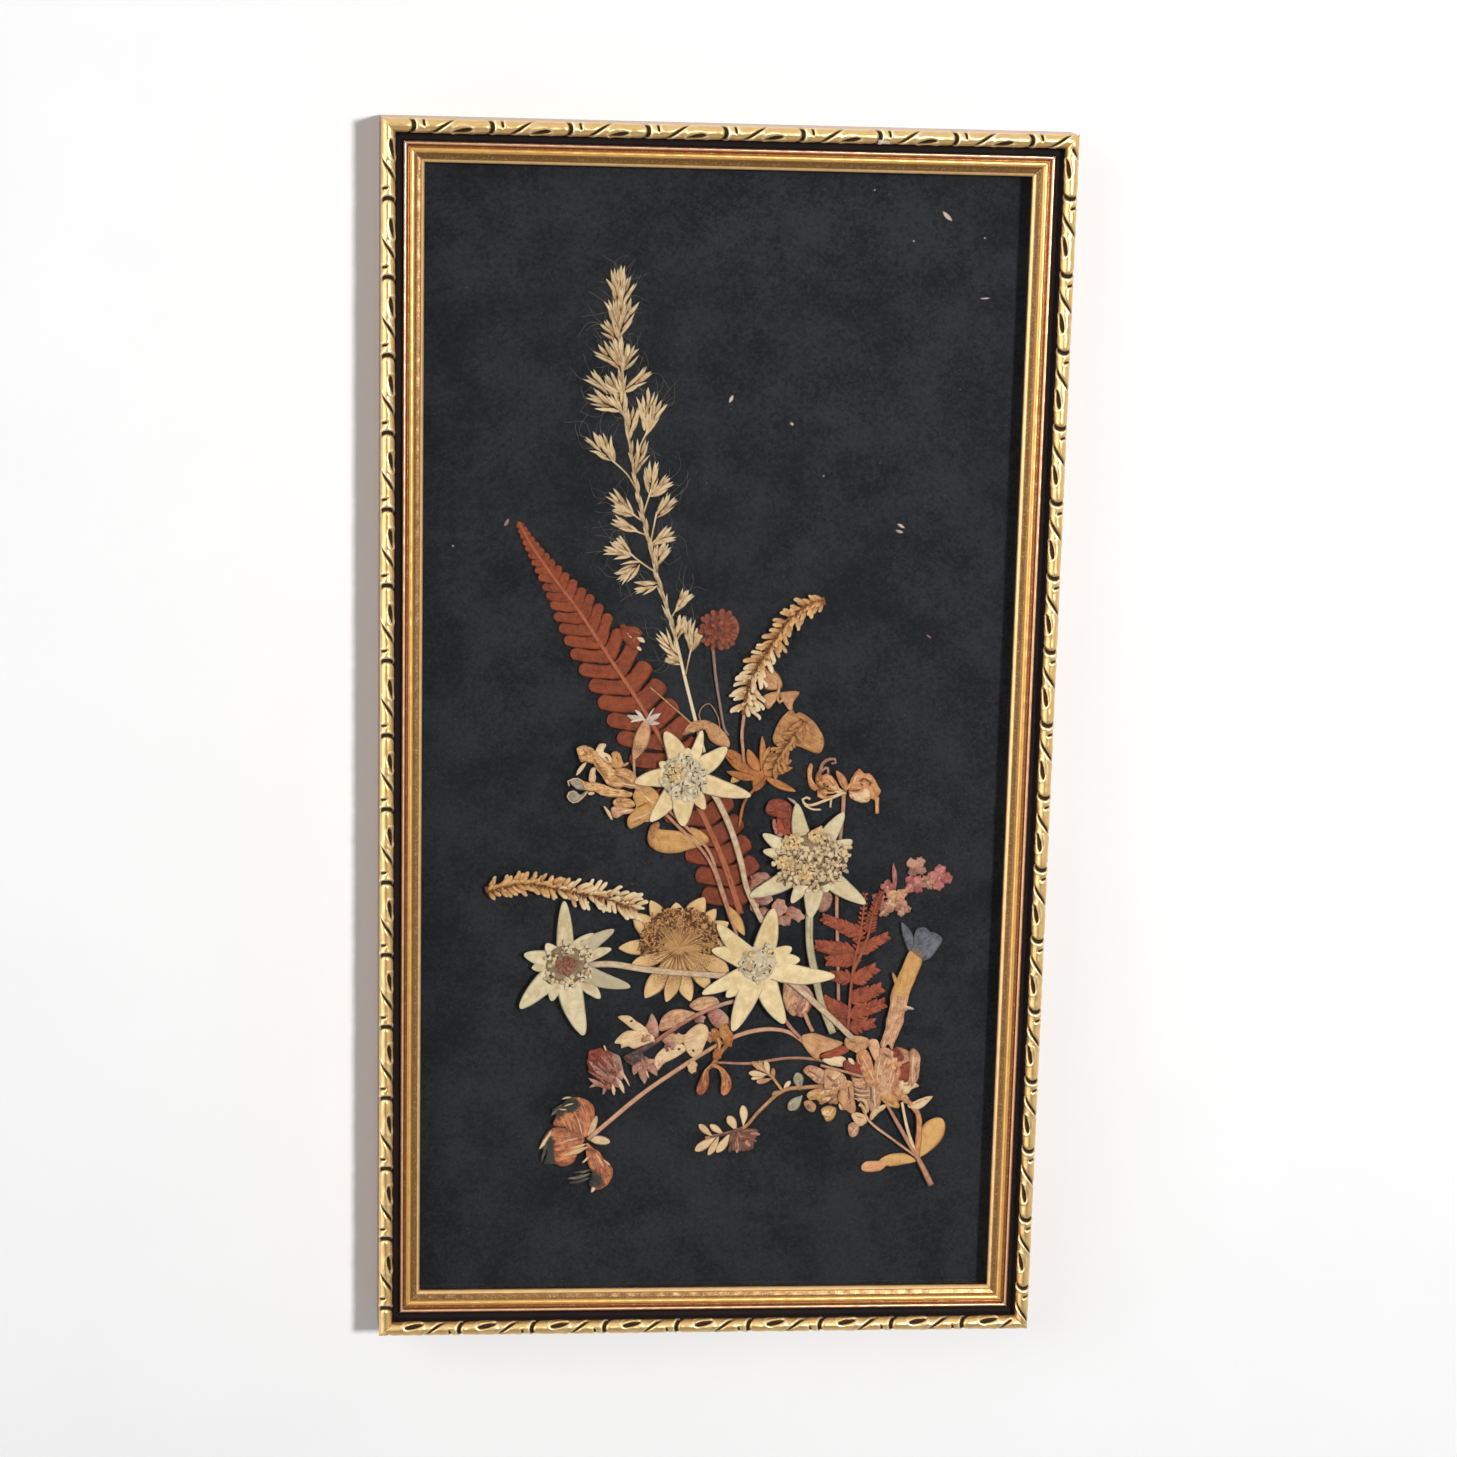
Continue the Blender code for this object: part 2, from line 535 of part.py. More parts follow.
# ---------------------------------------------------------------- spikes, clover, masterwort

def spike(name, layer, material, axis, florets, reach, width, extra=(), lean=58):
    """A flower spike: florets on both sides of its axis, leaning back towards its foot."""
    curve = smooth_route(axis, 3)
    outlines = [stem(curve, width * 0.9, width * 0.8)]
    for k in range(florets):
        share = k / (florets - 1)
        point, run = point_on(curve, 0.02 + 0.93 * share)
        side = 1 if k % 2 else -1
        tip = point + rotated(run, side * lean) * reach * (0.62 + 0.38 * share)
        outlines.append(leaf(point, tip, width, points=1, fullness=0.6))
    outlines += extra
    pressed_piece(name, layer, material, outlines)


def spikes():
    """Two ochre flower spikes and the small brown one."""
    upper_foot = stem([(8.0, 9.0), (7.5, 3.0), (8.0, -2.0), (8.3, -5.5)], 1.1, 1.0)
    spike("upper_flower_spike", LAYER_1, "ochre",
          [(31.2, 43.4), (27.0, 42.2), (22.0, 38.6), (18.0, 33.5), (15.0, 28.5), (12.0, 23.5),
           (9.6, 18.0), (8.0, 9.0)], 20, 5.8, 2.4, [upper_foot])
    spike("left_flower_spike", STEMS, "ochre",
          [(-68.0, -44.6), (-62.0, -43.0), (-55.0, -42.2), (-48.0, -43.4), (-41.0, -45.0),
           (-34.0, -46.0), (-28.0, -48.0), (-22.0, -50.4)], 20, 5.8, 2.4)
    spike("small_brown_spike", LAYER_1, "ochre",
          [(26.0, 7.0), (24.2, 4.0), (21.4, 1.0), (19.2, -3.0), (17.4, -7.6)], 8, 3.4, 2.0)


def clover():
    """Red clover: a lumpy head on a thin stem."""
    pressed_piece("clover_head", LAYER_3, "clover_red", [
        blob((0.6, 34.8), 6.2, 6.4, 14, 0.05), blob((-1.6, 31.0), 4.6, 3.6, 8, 0.05),
        stem([(-1.6, 28.5), (-0.6, 20.0), (0.8, 12.0), (2.2, 5.0), (3.6, 2.6)], 1.0, 0.9)])


def masterwort():
    """Papery bracts around a fan-shaped umbel."""
    middle = Vector((-10.0, -62.5))
    bracts = [((-28.0, -62.5), 5.0), ((-23.8, -51.8), 6.4), ((-18.8, -47.8), 5.0), ((-11.0, -48.4), 6.0),
              ((-2.6, -46.8), 6.4), ((1.0, -50.4), 5.0), ((5.0, -54.6), 5.4), ((6.6, -62.4), 5.4),
              ((5.4, -70.2), 6.4), ((-0.4, -75.4), 4.8), ((-6.0, -79.0), 5.0), ((-13.4, -79.2), 4.6),
              ((-19.8, -78.0), 5.8), ((-24.0, -67.4), 4.4)]
    ring = [blob(middle, 7.0, 7.0, 10)]
    for tip, width in bracts:
        root = middle + (Vector(tip) - middle).normalized() * 3.0
        ring.append(leaf(root, tip, width, points=2, belly=0.62, fullness=0.7))
    pressed_piece("masterwort_bracts", LAYER_2, "golden", ring)
    florets = [blob((-9.6, -57.6), 11.2, 7.8, 20, 0.06)]
    for k in range(9):
        angle = 190 + 20 * k
        tip = middle + rotated(Vector((1.0, 0.0)), angle) * 7.4
        florets.append(leaf(middle, tip, 1.1, points=1))
    pressed_piece("masterwort_umbel", LAYER_1, "tan", florets)


# ---------------------------------------------------------------- leaves and sprigs

def upper_leaves():
    """Leaves and scraps around the upper spike and behind the top edelweiss."""
    pressed_piece("folded_leaf_stalk", LAYER_3, "tan", [
        leaf((9.0, 24.0), (19.2, 17.4), 6.0, belly=0.6),
        [(13.6, 14.6), (18.8, 16.0), (17.0, 12.6), (15.0, 10.6)],
        [(18.6, 15.6), (24.4, 16.0), (22.6, 12.6), (22.4, 9.4), (19.6, 13.0)],
        stem([(18.4, 18.5), (18.0, 13.0), (19.8, 13.6)], 1.0, 1.0)])
    pressed_piece("heart_shaped_leaf", LAYER_2, "golden", [
        [(21.4, 10.6), (18.8, 7.6), (17.3, 3.6), (17.4, 0.6), (20.0, -0.6), (24.6, -0.2), (28.0, -1.6),
         (30.4, -2.3), (31.9, -0.6), (31.4, 3.6), (28.8, 7.2), (25.2, 9.8), (23.6, 9.6)]])
    pressed_piece("narrow_leaved_sprig", LAYER_2, "orange_brown", [
        *leaves([((13.2, -9.4), (2.4, -3.0), 3.4), ((12.4, -10.4), (3.2, -8.2), 2.6),
                 ((13.0, -8.0), (9.4, -1.4), 3.6), ((14.2, -9.0), (13.6, 2.6), 2.4),
                 ((14.6, -9.0), (17.0, -1.6), 2.4), ((14.6, -9.4), (23.0, -7.0), 2.8),
                 ((15.0, -10.0), (24.2, -14.2), 2.6), ((13.4, -8.0), (12.0, -14.2), 4.4)],
                points=1, fullness=0.6),
        stem([(15.4, -9.8), (11.6, -13.6), (8.6, -18.0), (7.4, -25.0)], 1.0, 0.9)])
    pressed_piece("curved_tan_leaf", LAYER_2, "tan", [
        [(-10.4, 3.4), (-8.8, 6.2), (-5.4, 7.3), (-2.0, 6.6), (1.2, 5.0), (3.7, 2.0), (3.2, -1.6),
         (-0.4, -0.4), (-3.0, 1.4), (-4.6, 4.4), (-7.0, 4.6)]])
    pressed_piece("white_petalled_pod", LAYER_2, "tan", [
        *leaves([((-24.6, -5.0), (-20.8, 7.8), 4.6), ((-21.2, 7.2), (-26.6, 8.4), 2.0),
                 ((-21.2, 6.6), (-16.8, 9.0), 2.0), ((-21.2, 6.6), (-17.0, 6.2), 1.6)]),
        stem([(-24.5, -4.6), (-24.2, -10.0)], 0.9, 0.9)])
    pressed_piece("left_tan_flower_cluster", STEMS, "tan", [
        *leaves([((-31.0, -9.6), (-41.4, -1.4), 4.4), ((-30.0, -9.0), (-34.6, 0.2), 3.2),
                 ((-28.6, -9.0), (-30.0, -2.4), 3.2), ((-31.6, -11.6), (-37.6, -7.6), 2.6),
                 ((-19.5, -12.4), (-31.6, -6.0), 5.0), ((-21.0, -15.4), (-42.0, -11.2), 3.0),
                 ((-20.6, -15.4), (-31.0, -17.0), 4.0), ((-20.6, -16.6), (-33.4, -19.8), 2.4),
                 ((-19.8, -14.4), (-25.4, -24.6), 6.2), ((-19.0, -13.4), (-20.4, -22.6), 4.4)]),
        stem([(-39.6, -3.0), (-31.0, -9.8), (-20.0, -14.6)], 1.1, 1.6),
        blob((-42.0, -11.8), 2.0, 1.8, 7), blob((-41.8, -14.6), 2.2, 2.2, 7)])
    pressed_piece("golden_oval_leaf", LAYER_1, "golden", [
        leaf((-2.6, -31.6), (-19.8, -28.4), 7.6, points=3, belly=0.56, fullness=0.5),
        leaf((-1.6, -31.0), (-7.0, -24.6), 3.6), leaf((-16.2, -27.6), (-18.0, -22.8), 3.2),
        stem([(-14.6, -20.4), (-8.8, -26.0), (-2.6, -32.4), (0.6, -39.0), (3.4, -47.0), (8.0, -60.0)],
             1.9, 1.7),
        leaf((4.0, -49.0), (9.8, -58.4), 3.4)])


def right_flowers():
    """Flowers on the right: rust petals, tan cluster, pink sprig, straw tube and its petals."""
    pressed_piece("rust_petals", LAYER_1, "rust", [
        blob((18.4, -18.6), 3.4, 3.0, 9), blob((21.2, -23.4), 3.2, 3.8, 9), blob((18.0, -23.6), 1.4, 1.6, 6)])
    pressed_piece("tan_flower_cluster", LAYER_3, "tan", [
        [(39.4, -13.4), (40.8, -9.6), (42.8, -6.8), (45.8, -8.6), (48.0, -12.0), (49.2, -14.0),
         (48.9, -20.8), (47.6, -20.8), (47.4, -15.6), (43.4, -16.6), (40.6, -15.4)],
        *leaves([((38.8, -13.6), (35.8, -7.4), 2.4), ((38.8, -13.6), (32.6, -8.6), 3.2),
                 ((38.0, -14.0), (31.0, -12.4), 3.2), ((32.0, -12.6), (27.4, -5.8), 2.8),
                 ((33.8, -12.6), (32.2, -4.2), 2.4), ((38.2, -13.8), (44.4, -12.0), 2.4)]),
        stem([(32.0, -6.4), (32.6, -4.6), (35.4, -3.8)], 1.0, 0.9),
        stem([(38.8, -14.0), (31.0, -15.0), (25.8, -16.2)], 1.2, 0.9),
        stem([(30.8, -15.0), (27.6, -18.6)], 0.9, 0.8), stem([(34.4, -14.6), (33.6, -18.4)], 0.8, 0.7),
        stem([(38.6, -14.0), (38.2, -20.0), (37.6, -35.0), (37.6, -50.0), (38.2, -62.0), (39.0, -79.0)],
             1.1, 1.0)])
    pressed_piece("pink_flower_sprig", LAYER_3, "clover_red", [
        stem([(50.6, -52.6), (55.6, -47.4), (61.0, -42.4), (67.0, -39.8)], 1.3, 1.0),
        blob((68.4, -40.2), 4.0, 3.8, 10, 0.1), blob((60.8, -37.6), 2.6, 3.4, 8, 0.08),
        blob((62.6, -42.6), 3.4, 2.8, 8, 0.08), blob((56.8, -43.0), 2.8, 3.2, 8, 0.08),
        blob((56.4, -49.0), 3.8, 2.8, 8, 0.08), leaf((55.0, -44.6), (54.4, -36.6), 1.9),
        blob((52.6, -49.8), 2.6, 3.0, 8)])
    pressed_piece("straw_tube", STEMS, "ochre", [
        [(60.2, -63.4), (62.2, -65.0), (64.0, -66.2), (62.0, -71.6), (60.0, -78.6), (59.6, -80.2),
         (61.8, -81.2), (59.4, -82.0), (57.8, -88.4), (55.6, -94.0), (51.8, -92.6), (53.8, -86.0),
         (54.4, -79.0), (56.0, -72.0), (55.2, -70.0), (57.4, -69.6)]])
    pressed_piece("blue_grey_petals", LAYER_2, "blue_grey", [
        [(60.4, -64.6), (60.9, -59.0), (62.4, -56.4), (65.6, -56.6), (69.8, -59.6), (68.4, -63.0),
         (65.6, -65.8), (62.6, -66.4)],
        leaf((60.8, -64.4), (57.4, -54.4), 3.6)])


def centre_petals():
    """Petals between and behind the right and centre edelweiss."""
    pressed_piece("dusky_petals", LAYER_2, "pink_tan", [
        [(11.6, -41.0), (16.0, -38.6), (21.0, -40.0), (21.0, -46.0), (16.0, -46.6), (13.2, -50.0)],
        [(19.6, -45.6), (24.0, -49.4), (28.4, -51.6), (27.6, -54.0), (22.6, -53.4), (21.4, -56.0),
         (19.0, -54.0)]])
    pressed_piece("pink_petals", LAYER_2, "pink_tan", [
        [(22.4, -71.6), (26.4, -73.4), (30.2, -76.2), (31.0, -80.2), (28.8, -83.8), (25.0, -83.2),
         (22.2, -79.6)],
        stem([(23.6, -82.0), (26.0, -87.0), (29.0, -91.0)], 1.3, 1.3),
        stem([(28.4, -82.6), (30.6, -87.0), (32.4, -88.2)], 1.3, 1.2)])


def lower_right_bundle():
    """Leaves and stems tied by their growth into one bundle at the lower right."""
    stems = [stem([(69.4, -137.0), (66.2, -130.6), (62.8, -126.0), (58.0, -118.0), (53.6, -110.0)], 2.0, 1.4),
             stem([(64.0, -127.6), (61.0, -120.0), (59.4, -112.0)], 1.4, 1.2),
             stem([(65.0, -128.0), (64.6, -119.0), (63.8, -113.6), (60.6, -109.4)], 1.5, 1.6),
             stem([(63.6, -127.0), (56.4, -121.0), (50.2, -115.0), (46.0, -108.0)], 1.1, 1.2)]
    foliage = [((60.0, -111.2), (68.0, -108.2), 3.4), ((60.0, -111.6), (51.4, -106.4), 4.8),
               ((54.4, -110.2), (50.0, -114.4), 2.6), ((58.6, -109.0), (62.6, -93.4), 4.0),
               ((57.6, -108.6), (63.8, -103.0), 3.2), ((54.6, -106.4), (56.0, -96.4), 4.8),
               ((53.0, -106.0), (52.4, -93.6), 5.4), ((51.4, -112.0), (48.8, -92.4), 7.0),
               ((49.0, -106.0), (42.0, -90.0), 7.4), ((47.0, -100.0), (40.0, -104.6), 5.2),
               ((56.0, -103.0), (54.6, -93.6), 5.0), ((47.6, -108.6), (44.0, -103.0), 4.6),
               ((46.8, -107.0), (41.6, -112.6), 5.0)]
    pressed_piece("leaf_bundle", LAYER_1, "pink_tan", stems + leaves(foliage, fullness=0.6))
    pressed_piece("broad_tan_leaf", LAYER_2, "tan", [
        [(27.6, -92.2), (32.8, -90.2), (38.2, -91.0), (42.0, -93.0), (38.0, -95.4), (33.8, -97.4),
         (30.0, -95.6)]])
    pressed_piece("oval_leaf_right", LAYER_2, "golden", [
        leaf((65.0, -127.8), (71.6, -116.2), 7.4, points=4, belly=0.58, fullness=0.5)])
    pressed_piece("oval_leaf_low", LAYER_2, "golden", [
        leaf((64.4, -129.4), (51.0, -130.6), 4.8, points=3, fullness=0.6),
        leaf((56.0, -130.8), (47.8, -132.2), 3.4)])


def lower_flowers():
    """Charred flower on its arched stem, buds, leafy stem, pods and the lower sprig."""
    pressed_piece("charred_flower_petals", LAYER_1, "rust", [
        [(-36.4, -122.0), (-34.4, -116.6), (-34.8, -112.4), (-37.6, -109.6), (-41.6, -109.4),
         (-45.6, -111.4), (-47.8, -114.6), (-46.8, -118.8), (-41.0, -120.6)],
        [(-37.4, -121.8), (-42.0, -118.4), (-46.6, -118.6), (-49.4, -121.4), (-50.6, -125.0),
         (-49.2, -129.8), (-45.6, -131.0), (-41.6, -128.6), (-38.6, -125.0)],
        [(-37.4, -123.0), (-34.0, -126.0), (-30.8, -128.8), (-28.8, -132.0), (-29.6, -136.2),
         (-33.6, -138.8), (-37.0, -136.6), (-42.0, -135.4), (-36.6, -131.6), (-37.6, -128.0)],
        blob((-37.2, -122.2), 1.6, 1.6, 6)])
    pressed_piece("arched_stem", LAYER_3, "pink_tan", [
        stem([(-36.4, -122.6), (-29.0, -116.0), (-20.0, -108.2), (-10.0, -101.0), (0.0, -94.4),
              (7.0, -90.6), (13.0, -88.6), (19.0, -88.0), (24.6, -89.2), (30.0, -93.0)], 1.7, 1.3),
        leaf((-35.6, -122.2), (-33.8, -115.6), 2.2), leaf((-35.8, -122.4), (-29.8, -123.6), 3.0)])
    pressed_piece("rust_bud", LAYER_2, "rust", [
        blob((-31.6, -100.4), 5.6, 6.8, 10, 0.04), leaf((-31.0, -102.0), (-25.0, -105.0), 4.4),
        leaf((-31.0, -103.0), (-28.6, -108.0), 3.6), leaf((-32.0, -103.0), (-35.6, -106.0), 3.6)])
    pressed_piece("grey_bud", LAYER_1, "pink_tan", [
        blob((-20.2, -98.2), 4.2, 3.4, 9, 0.06), leaf((-20.0, -99.0), (-19.2, -104.6), 3.4),
        leaf((-19.6, -98.6), (-15.6, -101.8), 2.6), leaf((-21.0, -97.6), (-25.2, -96.8), 2.6)])
    pressed_piece("pink_leafy_stem", LAYER_2, "pink_tan", [
        stem([(-20.0, -94.4), (-12.0, -88.0), (-5.0, -82.8), (3.0, -80.2), (9.0, -78.6)], 1.4, 1.3),
        *leaves([((-17.0, -89.8), (-28.4, -83.6), 4.6), ((-15.6, -91.2), (-29.0, -91.6), 5.4),
                 ((-15.0, -90.0), (-18.0, -82.8), 3.0), ((-3.6, -83.2), (-15.4, -87.6), 6.6),
                 ((-3.0, -82.4), (-6.6, -79.0), 4.0), ((-1.6, -84.8), (-4.0, -98.6), 5.8),
                 ((-6.0, -87.0), (-8.6, -95.8), 4.6), ((-7.0, -91.0), (-16.6, -99.6), 4.8),
                 ((0.4, -81.2), (5.8, -87.4), 6.0)])])
    pressed_piece("orange_pods", LAYER_1, "orange_brown", [
        stem([(4.4, -86.2), (6.2, -90.4), (2.8, -95.6), (0.6, -100.6)], 2.8, 1.6),
        stem([(0.8, -87.6), (2.8, -92.0), (2.2, -96.6)], 1.4, 1.6),
        leaf((0.9, -98.6), (-3.0, -108.6), 3.6), leaf((0.4, -99.2), (5.4, -108.8), 3.8)])
    pressed_piece("thin_straw_stem", LAYER_4, "pink_tan", [
        stem([(2.4, -98.6), (13.0, -98.9), (24.0, -97.3), (34.0, -98.0), (47.6, -101.6)], 0.9, 1.0)])
    pressed_piece("lower_sprig", LAYER_3, "ochre", [
        stem([(42.0, -105.6), (30.0, -106.4), (22.6, -107.6), (15.6, -114.0), (10.6, -119.4), (-0.6, -122.4)],
             1.5, 1.0),
        stem([(22.6, -107.4), (18.4, -102.0), (14.6, -100.2)], 1.0, 1.0),
        *leaves([((1.6, -121.8), (-2.4, -118.2), 1.9), ((5.0, -121.2), (0.8, -118.4), 1.9),
                 ((8.8, -120.0), (6.2, -115.8), 3.0), ((11.0, -118.6), (10.6, -112.2), 2.6),
                 ((2.8, -122.0), (-3.4, -126.6), 3.0), ((3.6, -121.6), (0.4, -127.8), 1.9),
                 ((7.0, -120.8), (3.0, -127.0), 2.8), ((18.0, -102.4), (12.4, -101.8), 2.2),
                 ((17.6, -101.8), (13.2, -98.2), 2.2), ((18.4, -102.4), (17.2, -98.2), 2.2),
                 ((19.4, -103.6), (15.0, -104.6), 2.2), ((27.4, -106.8), (27.8, -101.0), 3.0),
                 ((28.4, -106.8), (24.6, -112.4), 3.6), ((29.4, -107.0), (32.4, -113.0), 3.4),
                 ((30.0, -107.6), (41.0, -104.8), 4.2), ((38.6, -105.0), (35.6, -116.0), 4.4)],
                points=1, fullness=0.6),
        [(7.0, -120.0), (10.0, -119.2), (13.2, -120.0), (14.6, -123.2), (15.0, -126.2), (11.2, -127.0),
         (8.2, -126.6), (6.2, -124.2)]])


def build():
    """Clear the scene and build the whole picture."""
    for item in list(bpy.data.objects):
        bpy.data.objects.remove(item, do_unlink=True)
    plane = bpy.data.objects.new("picture_plane", None)
    bpy.context.collection.objects.link(plane)
    plane.rotation_euler = (math.pi / 2, 0.0, 0.0)
    plane.location = (0.0, 0.0, -HANGER_ABOVE_CENTRE * MM)
    moulding()
    stack()
    board_points()
    hanger()
    edelweiss()
    grass_panicle()
    large_fern()
    small_fern()
    spikes()
    clover()
    masterwort()
    upper_leaves()
    right_flowers()
    centre_petals()
    lower_right_bundle()
    lower_flowers()


build()
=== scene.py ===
"""Pressed flower frame: the finished look of the moulding, the glass, the card and every specimen.

Picture coordinates, in millimetres: x to the right and y up from the middle of the sight opening,
and height towards the viewer from the plane of the wall.
"""
import math
import random

import bpy
import numpy as np
from mathutils import Matrix, Vector
from mathutils.geometry import delaunay_2d_cdt


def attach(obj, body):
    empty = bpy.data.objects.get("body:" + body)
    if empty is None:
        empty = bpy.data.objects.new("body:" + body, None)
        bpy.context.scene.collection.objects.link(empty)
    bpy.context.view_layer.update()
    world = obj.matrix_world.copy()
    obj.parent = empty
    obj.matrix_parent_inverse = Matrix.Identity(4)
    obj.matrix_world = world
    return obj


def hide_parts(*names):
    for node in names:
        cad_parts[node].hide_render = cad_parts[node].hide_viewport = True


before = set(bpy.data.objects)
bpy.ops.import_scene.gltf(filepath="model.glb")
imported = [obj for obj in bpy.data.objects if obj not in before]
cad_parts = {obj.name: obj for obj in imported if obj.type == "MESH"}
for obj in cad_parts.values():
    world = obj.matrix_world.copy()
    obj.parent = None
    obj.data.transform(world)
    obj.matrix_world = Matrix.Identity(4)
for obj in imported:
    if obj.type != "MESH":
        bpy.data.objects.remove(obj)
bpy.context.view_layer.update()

MM = 0.001
NAIL_ABOVE_CENTRE = 150.0
OUTER_WIDTH = 200.0
OUTER_HEIGHT = 362.0
LENS = 74.16

# Middle height of each layer of specimens, from the glass down to the card
FLORETS = 8.65
BRACTS = 7.83
STEMS = 7.15
LAYER_1 = 6.55
LAYER_2 = 6.05
LAYER_3 = 5.55
LAYER_4 = 5.05
CARD_FRONT = 4.6


# ---------------------------------------------------------------- laying out shader nodes

def tone(red, green, blue):
    """Shader colour from the 0 to 255 values of a colour chart."""
    linear = [((c / 255 + 0.055) / 1.055) ** 2.4 for c in (red, green, blue)]
    return (*linear, 1.0)


class Bench:
    """A node tree that is being laid out: each call adds a node and gives back what it puts out."""

    def __init__(self, tree):
        self.tree = tree

    def add(self, kind, inputs=(), **settings):
        """A node with its settings, and with its inputs set or linked."""
        made = self.tree.nodes.new(kind)
        for key, value in settings.items():
            setattr(made, key, value)
        for key, value in dict(inputs).items():
            self.join(value, made.inputs[key])
        return made

    def join(self, value, socket):
        """Link an output to a socket, or set the socket's own value."""
        if isinstance(value, bpy.types.NodeSocket):
            self.tree.links.new(value, socket)
        else:
            socket.default_value = value

    def maths(self, operation, first, second=0.0, third=0.0, clamp=False):
        """One sum."""
        inputs = {0: first, 1: second}
        if operation == "MULTIPLY_ADD":
            inputs[2] = third
        return self.add("ShaderNodeMath", inputs, operation=operation, use_clamp=clamp).outputs[0]

    def mix(self, factor, first, second, blend="MIX"):
        """One colour laid over another."""
        inputs = {0: factor, 6: first, 7: second}
        return self.add("ShaderNodeMix", inputs, data_type="RGBA", blend_type=blend).outputs[2]

    def spread(self, value, low, high, start=0.0, end=1.0):
        """A value brought from one range to another."""
        inputs = {"Value": value, "From Min": low, "From Max": high, "To Min": start, "To Max": end}
        return self.add("ShaderNodeMapRange", inputs).outputs["Result"]

    def swing(self, noise, reach=0.5):
        """Noise brought to swing about zero."""
        return self.spread(noise, 0.3, 0.7, -reach, reach)

    def off_middle(self, across):
        """How far a point lies from the middle line of its piece."""
        return self.maths("ABSOLUTE", self.maths("SUBTRACT", across, 0.5))

    def stretch(self, vector, scale):
        """Texture coordinates stretched along each axis."""
        return self.add("ShaderNodeVectorMath", {0: vector, 1: scale}, operation="MULTIPLY").outputs[0]

    def noise(self, vector, scale, detail=3.0, roughness=0.55, distortion=0.0):
        """Cloudy noise."""
        inputs = {"Vector": vector, "Scale": scale, "Detail": detail, "Roughness": roughness,
                  "Distortion": distortion}
        return self.add("ShaderNodeTexNoise", inputs).outputs["Fac"]

    def cells(self, vector, scale):
        """Distance to the nearest of many scattered points."""
        return self.add("ShaderNodeTexVoronoi", {"Vector": vector, "Scale": scale}).outputs["Distance"]

    def ramp(self, factor, stops):
        """Colours along a scale, given as (place, colour)."""
        made = self.add("ShaderNodeValToRGB", {0: factor})
        marks = made.color_ramp.elements
        while len(marks) < len(stops):
            marks.new(0.5)
        for mark, (place, colour) in zip(marks, stops):
            mark.position = place
            mark.color = colour
        return made.outputs[0]

    def place(self):
        """Where a point lies in the picture, in millimetres."""
        coordinates = self.add("ShaderNodeTexCoord").outputs["Object"]
        return self.stretch(coordinates, (1 / MM,) * 3)

    def marks(self):
        """What each point of a piece carries: along, across, tint, and a mark for charring, bare felt and
        painted shade.
        """
        carried = self.add("ShaderNodeAttribute", attribute_name="marks")
        parts = self.add("ShaderNodeSeparateColor", {0: carried.outputs["Color"]}).outputs
        return parts[0], parts[1], parts[2], carried.outputs["Alpha"]

    def group(self, effect, **values):
        """A shared effect placed with its own values."""
        made = self.add("ShaderNodeGroup", node_tree=effect)
        for key, value in values.items():
            self.join(value, made.inputs[key.replace("_", " ")])
        return made.outputs


def effect(name, inputs, outputs):
    """An empty shared effect: its tree, the bench to lay it out on, its inputs and its outputs."""
    tree = bpy.data.node_groups.new(name, "ShaderNodeTree")
    for label, default in inputs.items():
        kind = "NodeSocketColor" if isinstance(default, tuple) else "NodeSocketFloat"
        tree.interface.new_socket(label, in_out="INPUT", socket_type=kind).default_value = default
    for label, kind in outputs.items():
        tree.interface.new_socket(label, in_out="OUTPUT", socket_type=kind)
    given = tree.nodes.new("NodeGroupInput").outputs
    put_out = tree.nodes.new("NodeGroupOutput").inputs
    return tree, Bench(tree), given, put_out


COLOUR_AND_HEIGHT = {"Color": "NodeSocketColor", "Height": "NodeSocketFloat"}


